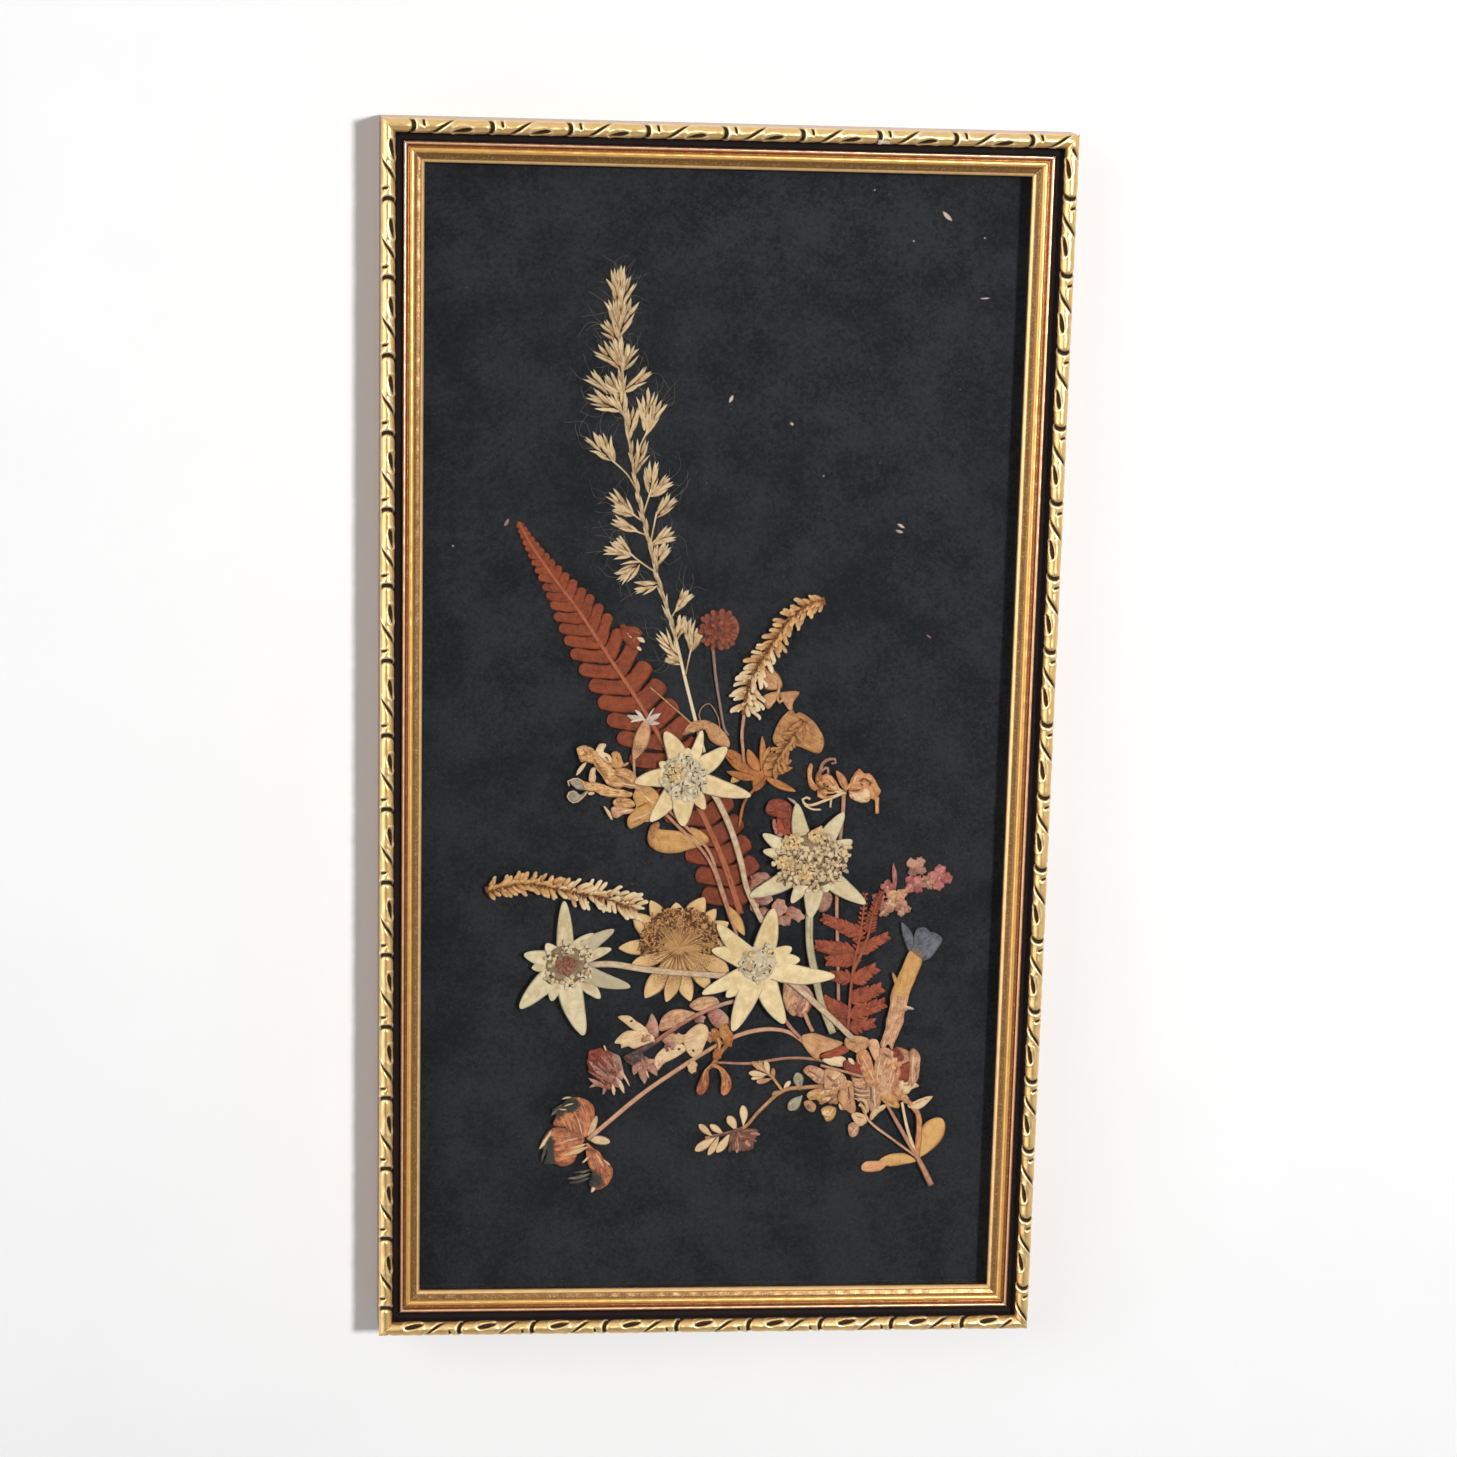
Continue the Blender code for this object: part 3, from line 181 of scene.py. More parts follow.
def dried_tissue_effect():
    """Pressed plant tissue: mottled, with fibres and veins along each blade, browned or charred places, and
    painted shade along each blade's edges and at floret bases.
    """
    inputs = {"Light": tone(220, 190, 140), "Dark": tone(150, 110, 70), "Burn": tone(70, 50, 40),
              "Mottle": 0.5, "Fibre": 0.3, "Veins": 0.0, "Tip": tone(220, 190, 140), "Tip amount": 0.0,
              "Rim": 0.75}
    tree, bench, given, put_out = effect("dried tissue", inputs, COLOUR_AND_HEIGHT)
    place = bench.place()
    along, across, tint, burn = bench.marks()
    cloud = bench.noise(place, 0.55, 4.0, 0.6)
    freckle = bench.noise(place, 2.6, 3.0, 0.6)
    patches = bench.maths("ADD", bench.swing(cloud), bench.swing(freckle, 0.35))
    lean = bench.maths("MULTIPLY_ADD", patches, given["Mottle"], tint)
    lanes = bench.add("ShaderNodeCombineXYZ", {0: bench.maths("MULTIPLY", across, 22.0),
                                               1: bench.maths("MULTIPLY", along, 2.5),
                                               2: bench.maths("MULTIPLY", tint, 40.0)}).outputs[0]
    fibres = bench.swing(bench.noise(lanes, 1.0, 2.0, 0.5))
    lean = bench.maths("MULTIPLY_ADD", fibres, given["Fibre"], lean, clamp=True)
    colour = bench.mix(lean, given["Dark"], given["Light"])
    off_middle = bench.off_middle(across)
    midrib = bench.spread(off_middle, 0.0, 0.05, 1.0, 0.0)
    slanting = bench.maths("MULTIPLY_ADD", off_middle, -0.9, along)
    comb = bench.maths("FRACT", bench.maths("MULTIPLY", slanting, 7.0))
    rib = bench.spread(bench.maths("ABSOLUTE", bench.maths("SUBTRACT", comb, 0.5)), 0.0, 0.12, 0.75, 0.0)
    net = bench.maths("MAXIMUM", midrib, rib)
    veins = bench.maths("MULTIPLY", net, given["Veins"])
    vein_tone = bench.mix(0.5, given["Light"], given["Dark"], "MULTIPLY")
    colour = bench.mix(bench.maths("MULTIPLY", veins, 0.55), colour, vein_tone)
    # Painted shade: each blade darkens towards its two edges, so that overlapping pieces part with a dark
    # line.
    rim = bench.spread(off_middle, 0.3, 0.5, 0.0, given["Rim"])
    colour = bench.mix(rim, colour, given["Dark"])
    spots = bench.spread(bench.noise(place, 1.1, 2.0, 0.5), 0.6, 0.7, 0.0, 0.4)
    colour = bench.mix(spots, colour, given["Dark"])
    tipped = bench.maths("MULTIPLY", bench.spread(along, 0.35, 1.0), given["Tip amount"])
    colour = bench.mix(tipped, colour, given["Tip"])
    # The last mark darkens towards its own colour: charring and browning on some pieces, painted shade at
    # the floret bases of the spikes and the clover.
    ragged = bench.maths("MULTIPLY_ADD", bench.swing(freckle), 0.7, burn)
    charred = bench.maths("MULTIPLY", bench.spread(ragged, 0.35, 0.65), bench.spread(burn, 0.0, 0.2))
    bench.join(bench.mix(charred, colour, given["Burn"]), put_out["Color"])
    height = bench.maths("MULTIPLY_ADD", freckle, 0.6, bench.maths("MULTIPLY", fibres, 0.5))
    bench.join(bench.maths("MULTIPLY_ADD", net, given["Veins"], height), put_out["Height"])
    return tree


def felt_effect():
    """Woolly felt of fine tangled hairs, smooth from afar, a little worn in patches."""
    inputs = {"Wool": tone(226, 212, 170), "Shade": tone(190, 168, 120), "Tip": tone(224, 222, 190),
              "Wear": 0.4}
    tree, bench, given, put_out = effect("felt", inputs, COLOUR_AND_HEIGHT)
    place = bench.place()
    along, across, tint, burn = bench.marks()
    cloud = bench.noise(place, 0.45, 3.0, 0.55)
    hairs = bench.noise(bench.stretch(place, (3.0, 3.0, 9.0)), 1.6, 3.0, 0.7, 1.2)
    lean = bench.maths("MULTIPLY_ADD", bench.swing(cloud), given["Wear"], tint)
    lean = bench.maths("MULTIPLY_ADD", bench.swing(hairs), 0.35, lean, clamp=True)
    colour = bench.mix(lean, given["Shade"], given["Wool"])
    off_middle = bench.off_middle(across)
    outer = bench.maths("MAXIMUM", bench.spread(off_middle, 0.3, 0.5), bench.spread(along, 0.6, 1.0))
    colour = bench.mix(bench.maths("MULTIPLY", outer, 0.6), colour, given["Tip"])
    bare = bench.maths("MULTIPLY", burn, bench.spread(hairs, 0.35, 0.6))
    bench.join(bench.mix(bare, colour, tone(150, 140, 120)), put_out["Color"])
    bench.join(bench.maths("MULTIPLY_ADD", cloud, 0.8, hairs), put_out["Height"])
    return tree


def gilding_effect():
    """Leaf gilding that is rubbed in specks and dark where it was cut in, and lighter on the carved rims,
    partly rubbed gilding and partly painted highlight.
    """
    inputs = {"Gold": tone(215, 165, 90), "Deep": tone(90, 55, 22), "Rub": tone(255, 236, 190),
              "Rub amount": 0.3}
    outputs = {**COLOUR_AND_HEIGHT, "Roughness": "NodeSocketFloat"}
    tree, bench, given, put_out = effect("gilding", inputs, outputs)
    place = bench.place()
    along, _, cut, worn = bench.marks()
    cloud = bench.noise(place, 0.35, 5.0, 0.6)
    speck = bench.noise(place, 2.2, 4.0, 0.65)
    lean = bench.maths("MULTIPLY_ADD", bench.swing(speck), 0.35,
                       bench.spread(cloud, 0.3, 0.7, 0.0, 0.45), clamp=True)
    colour = bench.mix(bench.maths("MULTIPLY", lean, 0.55), given["Gold"], given["Deep"])
    rubbed = bench.maths("MULTIPLY", bench.spread(speck, 0.52, 0.66), given["Rub amount"], clamp=True)
    colour = bench.mix(rubbed, colour, given["Rub"])
    # The carved rims are painted lighter: partly rubbed gilding, partly painted highlight.
    colour = bench.mix(bench.maths("MULTIPLY", along, 0.75), colour, given["Rub"])
    patchy = bench.maths("SUBTRACT", speck, 0.5)
    dirt = bench.spread(bench.maths("MULTIPLY_ADD", patchy, 0.4, cut), 0.14, 0.5)
    colour = bench.mix(bench.maths("MULTIPLY", dirt, 0.97), colour, tone(32, 18, 9))
    chip = bench.spread(bench.maths("MULTIPLY_ADD", patchy, 0.8, worn), 0.45, 0.6)
    bench.join(bench.mix(chip, colour, tone(232, 222, 205)), put_out["Color"])
    matt = bench.maths("MAXIMUM", bench.maths("MAXIMUM", dirt, chip), bench.maths("MULTIPLY", rubbed, 0.5))
    bench.join(bench.spread(matt, 0.0, 1.0, 0.3, 0.75), put_out["Roughness"])
    bench.join(bench.maths("MULTIPLY_ADD", cloud, 1.5, bench.maths("MULTIPLY", speck, 0.4)),
               put_out["Height"])
    return tree


def dust_effect():
    """Paper grain with soft mottling and settled dust specks."""
    inputs = {"Base": tone(42, 44, 47), "Cloud": tone(56, 56, 60), "Dust": tone(150, 145, 140),
              "Grain": 0.5, "Dust amount": 0.5}
    tree, bench, given, put_out = effect("dusty grain", inputs, COLOUR_AND_HEIGHT)
    place = bench.place()
    cloud = bench.noise(place, 0.06, 4.0, 0.6)
    grain = bench.noise(place, 0.95, 4.0, 0.8)
    lean = bench.maths("MULTIPLY_ADD", bench.swing(grain), given["Grain"],
                       bench.spread(cloud, 0.3, 0.7), clamp=True)
    colour = bench.mix(lean, given["Base"], given["Cloud"])
    near = bench.cells(place, 0.16)
    size = bench.noise(place, 0.11, 2.0)
    speck = bench.spread(near, 0.0, 0.055, 1.0, 0.0)
    speck = bench.maths("MULTIPLY", speck, bench.spread(size, 0.5, 0.6))
    bench.join(bench.mix(bench.maths("MULTIPLY", speck, given["Dust amount"]), colour, given["Dust"]),
               put_out["Color"])
    bench.join(bench.maths("MULTIPLY_ADD", speck, 0.5, grain), put_out["Height"])
    return tree


# ---------------------------------------------------------------- finishes

TISSUE = dried_tissue_effect()
FELT = felt_effect()
GILDING = gilding_effect()
DUST = dust_effect()


def coat(name, roughness, metallic=0.0, specular=0.3):
    """An empty finish: its material, the bench for its nodes and its shader."""
    material = bpy.data.materials.new(name)
    material.use_nodes = True
    shader = material.node_tree.nodes["Principled BSDF"]
    shader.inputs["Roughness"].default_value = roughness
    shader.inputs["Metallic"].default_value = metallic
    shader.inputs["Specular IOR Level"].default_value = specular
    return material, Bench(material.node_tree), shader


RELIEF_DEPTH = 0.0001


def raise_surface(bench, shader, height, strength):
    """Fine relief from a height."""
    bump = bench.add("ShaderNodeBump", {"Height": height, "Strength": strength, "Distance": RELIEF_DEPTH})
    bench.join(bump.outputs[0], shader.inputs["Normal"])


def dress(bench, shader, out, relief):
    """Lay an effect's colour and relief on a shader, and its roughness where it has one."""
    bench.join(out["Color"], shader.inputs["Base Color"])
    if "Roughness" in out.keys():
        bench.join(out["Roughness"], shader.inputs["Roughness"])
    raise_surface(bench, shader, out["Height"], relief)


def clear_where(bench, shader, passing):
    """Let light straight through where passing is 1."""
    clear = bench.add("ShaderNodeBsdfTransparent").outputs[0]
    mixed = bench.add("ShaderNodeMixShader", {0: passing, 1: shader.outputs[0], 2: clear}).outputs[0]
    bench.join(mixed, bench.tree.nodes["Material Output"].inputs["Surface"])


def tissue(name, light, dark, burn=(66, 50, 42), mottle=0.5, fibre=0.3, veins=0.0, tip=None, tip_amount=0.0,
           roughness=0.72, rim=0.75, alpha=1.0):
    """A finish of dried leaf, petal or stem; rim sets how much painted shade darkens each blade's edges."""
    material, bench, shader = coat(name, roughness)
    out = bench.group(TISSUE, Light=tone(*light), Dark=tone(*dark), Burn=tone(*burn), Mottle=mottle,
                      Fibre=fibre, Veins=veins, Tip=tone(*(tip or light)), Tip_amount=tip_amount, Rim=rim)
    dress(bench, shader, out, 0.5)
    shader.inputs["Alpha"].default_value = alpha
    return material


def felted(name, wool, shade, tip, wear):
    """A finish of white felted hair."""
    material, bench, shader = coat(name, 0.95, specular=0.1)
    out = bench.group(FELT, Wool=tone(*wool), Shade=tone(*shade), Tip=tone(*tip), Wear=wear)
    dress(bench, shader, out, 0.45)
    shader.inputs["Sheen Weight"].default_value = 0.15
    return material


def gilded(name, gold, deep, rub_amount, metallic):
    """A finish of gilding."""
    material, bench, shader = coat(name, 0.35, metallic, 0.5)
    out = bench.group(GILDING, Gold=gold, Deep=deep, Rub_amount=rub_amount)
    dress(bench, shader, out, 0.25)
    return material


def grained(name, base, cloud, dust, grain, dust_amount, roughness=0.9):
    """A finish of card, board or paint with grain and dust."""
    material, bench, shader = coat(name, roughness, specular=0.15)
    out = bench.group(DUST, Base=tone(*base), Cloud=tone(*cloud), Dust=tone(*dust), Grain=grain,
                      Dust_amount=dust_amount)
    dress(bench, shader, out, 0.3)
    return material


def slope_gilding():
    """Gilding of the stepped inner slope, toned step by step across it: the bright fillet, ridge and lip
    bands are painted highlights, the thin dark bands on the risers are painted shade, and the scoop is
    darker brown.
    """
    material, bench, shader = coat("gilding of the inner slope", 0.38, 0.5, 0.5)
    # Painted highlights at 0.58 to 0.612 (fillet), 0.705 to 0.765 (ridge) and 0.945 on (lip); painted shade
    # at 0.622 and 0.812 (risers).
    steps = bench.ramp(bench.marks()[1], [
        (0.00, tone(112, 66, 46)), (0.572, tone(112, 66, 46)), (0.58, tone(244, 194, 154)),
        (0.612, tone(236, 180, 136)), (0.622, tone(106, 58, 20)), (0.66, tone(138, 78, 26)),
        (0.685, tone(188, 118, 46)), (0.705, tone(238, 178, 94)), (0.765, tone(242, 192, 108)),
        (0.795, tone(204, 142, 66)), (0.812, tone(122, 84, 36)), (0.93, tone(140, 98, 44)),
        (0.945, tone(244, 200, 138)), (1.00, tone(234, 184, 122))])
    out = bench.group(GILDING, Gold=steps, Deep=tone(90, 58, 22), Rub_amount=0.24)
    dress(bench, shader, out, 0.3)
    return material


def clear_glass():
    """Clear flat glass that lets light through to the specimens."""
    material, bench, shader = coat("clear glass", 0.02, 0.0, 0.5)
    shader.inputs["Base Color"].default_value = (1.0, 1.0, 1.0, 1.0)
    shader.inputs["Transmission Weight"].default_value = 1.0
    shader.inputs["IOR"].default_value = 1.45
    path = bench.add("ShaderNodeLightPath").outputs
    clear_where(bench, shader, bench.maths("MAXIMUM", path["Is Shadow Ray"], path["Is Diffuse Ray"]))
    return material


def steel():
    """Zinc-plated steel with faint scratches."""
    material, bench, shader = coat("plated steel", 0.35, 1.0, 0.5)
    place = bench.place()
    scratches = bench.noise(bench.stretch(place, (6.0, 1.0, 0.4)), 1.0, 4.0, 0.7)
    spots = bench.noise(place, 0.8, 3.0)
    bench.join(bench.mix(bench.spread(spots, 0.35, 0.7), tone(196, 196, 192), tone(150, 148, 142)),
               shader.inputs["Base Color"])
    bench.join(bench.spread(scratches, 0.3, 0.7, 0.25, 0.5), shader.inputs["Roughness"])
    raise_surface(bench, shader, scratches, 0.2)
    return material


BEAD_GILDING = gilded("gilding of the carved bead", tone(232, 192, 126), tone(150, 106, 54), 0.3, 0.7)
SIDE_GILDING = gilded("gilding of the outer side", tone(150, 104, 60), tone(90, 58, 32), 0.15, 0.5)
SLOPE_GILDING = slope_gilding()
BLACK_HOLLOW = grained("black paint of the hollow", (20, 14, 13), (32, 22, 20), (120, 100, 88), 0.5, 0.4,
                       0.75)
RAW_WOOD = grained("raw wood of the back", (150, 112, 72), (182, 142, 98), (200, 180, 150), 0.8, 0.2)
BLACK_CARD = grained("black card", (17, 20, 23), (42, 43, 46), (120, 120, 118), 1.5, 0.5)
BOARD = grained("grey backing board", (152, 134, 112), (162, 144, 121), (118, 102, 82), 0.9, 0.5)
GLASS = clear_glass()
STEEL = steel()

EDELWEISS_WOOL = felted("edelweiss felt", (228, 212, 174), (192, 168, 124), (218, 211, 173), 0.9)
CENTRE_WOOL = felted("edelweiss felt, golden", (242, 217, 170), (208, 178, 126), (234, 217, 174), 0.9)
GREY_WOOL = felted("grey wool of the florets", (224, 208, 174), (170, 150, 116), (220, 208, 178), 0.9)
WARM_WOOL = felted("warm wool of the florets", (224, 200, 158), (164, 134, 96), (220, 200, 160), 1.0)
FLORET_GROUND = tissue("ground between the florets", (160, 134, 98), (104, 82, 58), mottle=0.9)
FLORET_TAN = tissue("tan florets", (228, 196, 138), (176, 136, 84), mottle=0.8)
FLORET_RUSSET = tissue("russet florets", (156, 102, 72), (100, 60, 44), mottle=0.8)
SCALE_TIPS = tissue("dark scale tips", (86, 72, 56), (38, 31, 26), mottle=0.6)
FELTED_STEM = tissue("felted stem", (222, 200, 166), (168, 134, 102), mottle=0.9, fibre=0.7, roughness=0.9)
GREEN_STEM = tissue("greenish felted stem", (208, 196, 158), (148, 132, 96), mottle=0.7, fibre=0.9,
                    roughness=0.9)
STRAW = tissue("straw", (220, 190, 144), (146, 110, 70), mottle=0.6, fibre=0.8, tip=(240, 224, 186),
               tip_amount=0.8, roughness=0.6)
AWN = tissue("awns", (150, 140, 120), (108, 98, 82))
FERN = tissue("russet fern", (142, 64, 28), (90, 37, 15), mottle=0.9, fibre=0.4, veins=0.3, rim=0.15)
FERN_RIB = tissue("rib of the fern", (172, 98, 62), (124, 64, 40), mottle=0.5, fibre=0.6)
SMALL_FERN = tissue("red-brown fern", (170, 86, 54), (110, 50, 32), mottle=0.8, fibre=0.3, veins=0.4)
CLOVER = tissue("clover red", (120, 54, 30), (56, 24, 15), burn=(40, 16, 11), mottle=0.7, fibre=0.7,
                tip=(162, 90, 60), tip_amount=0.65)
PINK_FLORET = tissue("pink floret", (196, 124, 116), (136, 72, 66), mottle=0.9, fibre=0.5)
CHAR = tissue("charred tissue", (122, 114, 96), (48, 44, 38), mottle=1.0, fibre=0.8)
CREAM_LEAF = tissue("cream leaf", (238, 212, 170), (198, 156, 110), mottle=0.5, fibre=0.6)
BROWN_PINK = tissue("brown-pink petal", (186, 124, 100), (100, 56, 46), mottle=0.9, fibre=1.0,
                    tip=(228, 198, 172), tip_amount=0.4)
SEED_BROWN = tissue("brown seed head", (142, 92, 68), (72, 42, 33), mottle=1.0, fibre=1.0)
GREY_GREEN = tissue("grey-green leaflet", (196, 186, 154), (132, 120, 90), mottle=0.8, fibre=0.5, alpha=0.9)
VEILED = tissue("thin grey-cream petal", (206, 196, 168), (132, 120, 98), mottle=0.9, fibre=0.6, alpha=0.7)
HEART = tissue("brown-golden leaf", (200, 146, 90), (134, 88, 50), burn=(96, 58, 32), mottle=0.9, fibre=0.5,
               veins=0.45)
CLOVER_STEM = tissue("pinkish grey stem", (158, 130, 114), (108, 84, 72), fibre=0.6)
# Colour of the painted shade at the bases of the spike florets; the umbel crust also darkens a third of its
# curls, chosen at random, towards it.
FLORET_SHADE = (84, 48, 24)
OCHRE = tissue("ochre florets", (216, 158, 88), (150, 94, 44), burn=FLORET_SHADE, mottle=0.8,
               tip=(238, 206, 152), tip_amount=0.7)
PALE_OCHRE = tissue("pale ochre florets", (224, 190, 134), (176, 128, 74), burn=FLORET_SHADE, mottle=0.6,
                    tip=(242, 226, 190), tip_amount=0.95)
SPIKE_CORE = tissue("brown core of the spikes", (150, 96, 50), (104, 62, 32), mottle=0.8)
BROWN_FLORET = tissue("brown florets", (190, 130, 74), (116, 68, 36), burn=FLORET_SHADE, mottle=0.9,
                      tip=(222, 168, 104), tip_amount=0.6)
TAN_LEAF = tissue("tan leaf", (214, 164, 116), (156, 106, 68), mottle=0.9, veins=0.35)
TAN_PETAL = tissue("tan translucent petal", (232, 182, 122), (152, 100, 58), mottle=0.9, fibre=0.9)
PINK_TAN = tissue("pink-tan leaf", (226, 178, 136), (154, 106, 76), mottle=0.9, fibre=0.8, veins=0.2)
PINK_STEM = tissue("pink stem", (212, 162, 128), (154, 104, 80), mottle=0.7, fibre=0.8)
DUSKY = tissue("dusky petal", (196, 146, 122), (126, 84, 68), mottle=0.9, fibre=0.7, veins=0.2)
APRICOT = tissue("apricot leaf", (224, 164, 114), (168, 106, 66), mottle=0.9, fibre=0.8, veins=0.25)
GOLDEN = tissue("golden leaf", (214, 166, 102), (166, 116, 62), burn=(120, 84, 48), mottle=0.8, veins=0.2)
PAPERY = tissue("papery bract", (228, 188, 128), (182, 136, 84), burn=(136, 96, 56), mottle=0.8, fibre=0.5,
                veins=0.25, tip=(234, 200, 148), tip_amount=0.6)
ORANGE_BROWN = tissue("orange-brown leaf", (200, 132, 70), (134, 78, 38), mottle=0.8, fibre=0.5, veins=0.3)
RUST = tissue("rust petal", (152, 72, 46), (84, 36, 26), burn=(62, 56, 52), mottle=0.9, fibre=0.8)
ORANGE_RUST = tissue("orange-rust petal", (214, 138, 90), (122, 64, 40), burn=(44, 42, 36), mottle=1.1,
                     fibre=1.0)
RED_ORANGE = tissue("red-orange petal", (176, 84, 54), (110, 46, 30), mottle=0.9, fibre=0.8)
DARK_STEM = tissue("purple-brown stem", (122, 88, 78), (64, 44, 42), mottle=0.9, fibre=0.8)
UMBEL = tissue("umbel rays", (208, 162, 106), (146, 98, 56), fibre=0.6)
UMBEL_CRUST = tissue("crust of the umbel", (202, 146, 86), (116, 68, 34), burn=FLORET_SHADE, mottle=0.9,
                     tip=(230, 184, 122), tip_amount=0.6)
BLUE_GREY = tissue("blue-grey petal", (126, 128, 134), (74, 76, 84), burn=(150, 116, 80), mottle=0.9,
                   fibre=0.6, alpha=0.8)
WHITE_PETAL = tissue("white petal", (226, 208, 190), (170, 144, 124), mottle=0.9)


# ---------------------------------------------------------------- pressed shapes

# In radians: a full turn, the turn from one lump of wool to the next, and that from one point of a lobe
# to the next
ROUND = 6.28
GOLDEN_ANGLE = 2.399
LOBE_STEP = 0.419
LOBE_POINTS = 15


def smooth(route, steps=6, closed=False):
    """Points on a smooth curve through the points of a route."""
    pts = np.asarray(route, float)
    if closed:
        pts = np.vstack([pts[-1], pts, pts[0], pts[1]])
    else:
        pts = np.vstack([2 * pts[0] - pts[1], pts, 2 * pts[-1] - pts[-2]])
    t = (np.arange(steps) / steps)[:, None]
    curve = []
    for a, b, c, d in zip(pts, pts[1:], pts[2:], pts[3:]):
        curve.append(0.5 * (2 * b + (c - a) * t + (2 * a - 5 * b + 4 * c - d) * t ** 2
                            + (3 * b - a - 3 * c + d) * t ** 3))
    curve = np.vstack(curve)
    return curve if closed else np.vstack([curve, pts[-2]])


def along_route(curve, shares):
    """Points at given shares of a curve's length."""
    steps = np.hypot(*np.diff(curve, axis=0).T)
    run = np.concatenate([[0.0], np.cumsum(steps)])
    wanted = np.asarray(shares) * run[-1]
    return np.stack([np.interp(wanted, run, curve[:, 0]), np.interp(wanted, run, curve[:, 1])], 1)


def point_and_run(curve, share):
    """A point at a share of a curve, and the direction of the curve there."""
    here, after = along_route(curve, [max(share - 0.01, 0.0), min(share + 0.01, 1.0)])
    run = after - here
    return (here + after) / 2, run / np.hypot(*run)


def turned(vector, degrees):
    """A flat vector turned by an angle."""
    c, s = math.cos(math.radians(degrees)), math.sin(math.radians(degrees))
    return np.array([vector[0] * c - vector[1] * s, vector[0] * s + vector[1] * c])


def unevenness(x, y, size, seed=0):
    """Soft heights between about -1 and 1 that change over a distance of size."""
    chance = random.Random(seed)
    total = np.zeros_like(x)
    for _ in range(5):
        angle, phase = chance.uniform(0, ROUND), chance.uniform(0, ROUND)
        pitch = ROUND / size * chance.uniform(0.6, 1.6)
        total += np.sin((x * math.cos(angle) + y * math.sin(angle)) * pitch + phase)
    return total / 2.6


def oval(share, belly=0.5, fullness=0.8, foot=0.16):
    """Half width of a leaf along it, as a share of the greatest."""
    skew = math.log(0.5) / math.log(belly)
    half = np.sin(np.pi * np.clip(share, 0, 1) ** skew) ** fullness
    return np.maximum(half, foot * (1 - share) ** 2) + 0.012


def bract(share):
    """Half width of an edelweiss bract: a finger, broad from its foot, with a blunt tip."""
    body = np.interp(share, (0, 0.25, 0.5, 0.75, 1), (0.9, 1.0, 0.9, 0.68, 0.42))
    return body * (1 - np.clip(share, 0, 1) ** 9) ** 0.5 + 0.012


def finger(share):
    """Half width of a floret or leaflet that is as blunt at its tip as at its base."""
    return (0.86 + 0.14 * share) * (1 - abs(2 * np.clip(share, 0, 1) - 1) ** 4) ** 0.5 + 0.012


def blob(centre, radius_x, radius_y, points=12, lump=0.0):
    """Outline of a round or lumpy patch."""
    chance = random.Random(0)
    outline = []
    for i in range(points):
        angle = 2 * math.pi * i / points
        reach = 1.0 + lump * chance.uniform(-1, 1)
        outline.append((centre[0] + radius_x * reach * math.cos(angle),
                        centre[1] + radius_y * reach * math.sin(angle)))
    return outline


def put(name, data):
    """A new object in the scene."""
    thing = bpy.data.objects.new(name, data)
    bpy.context.collection.objects.link(thing)
    return thing


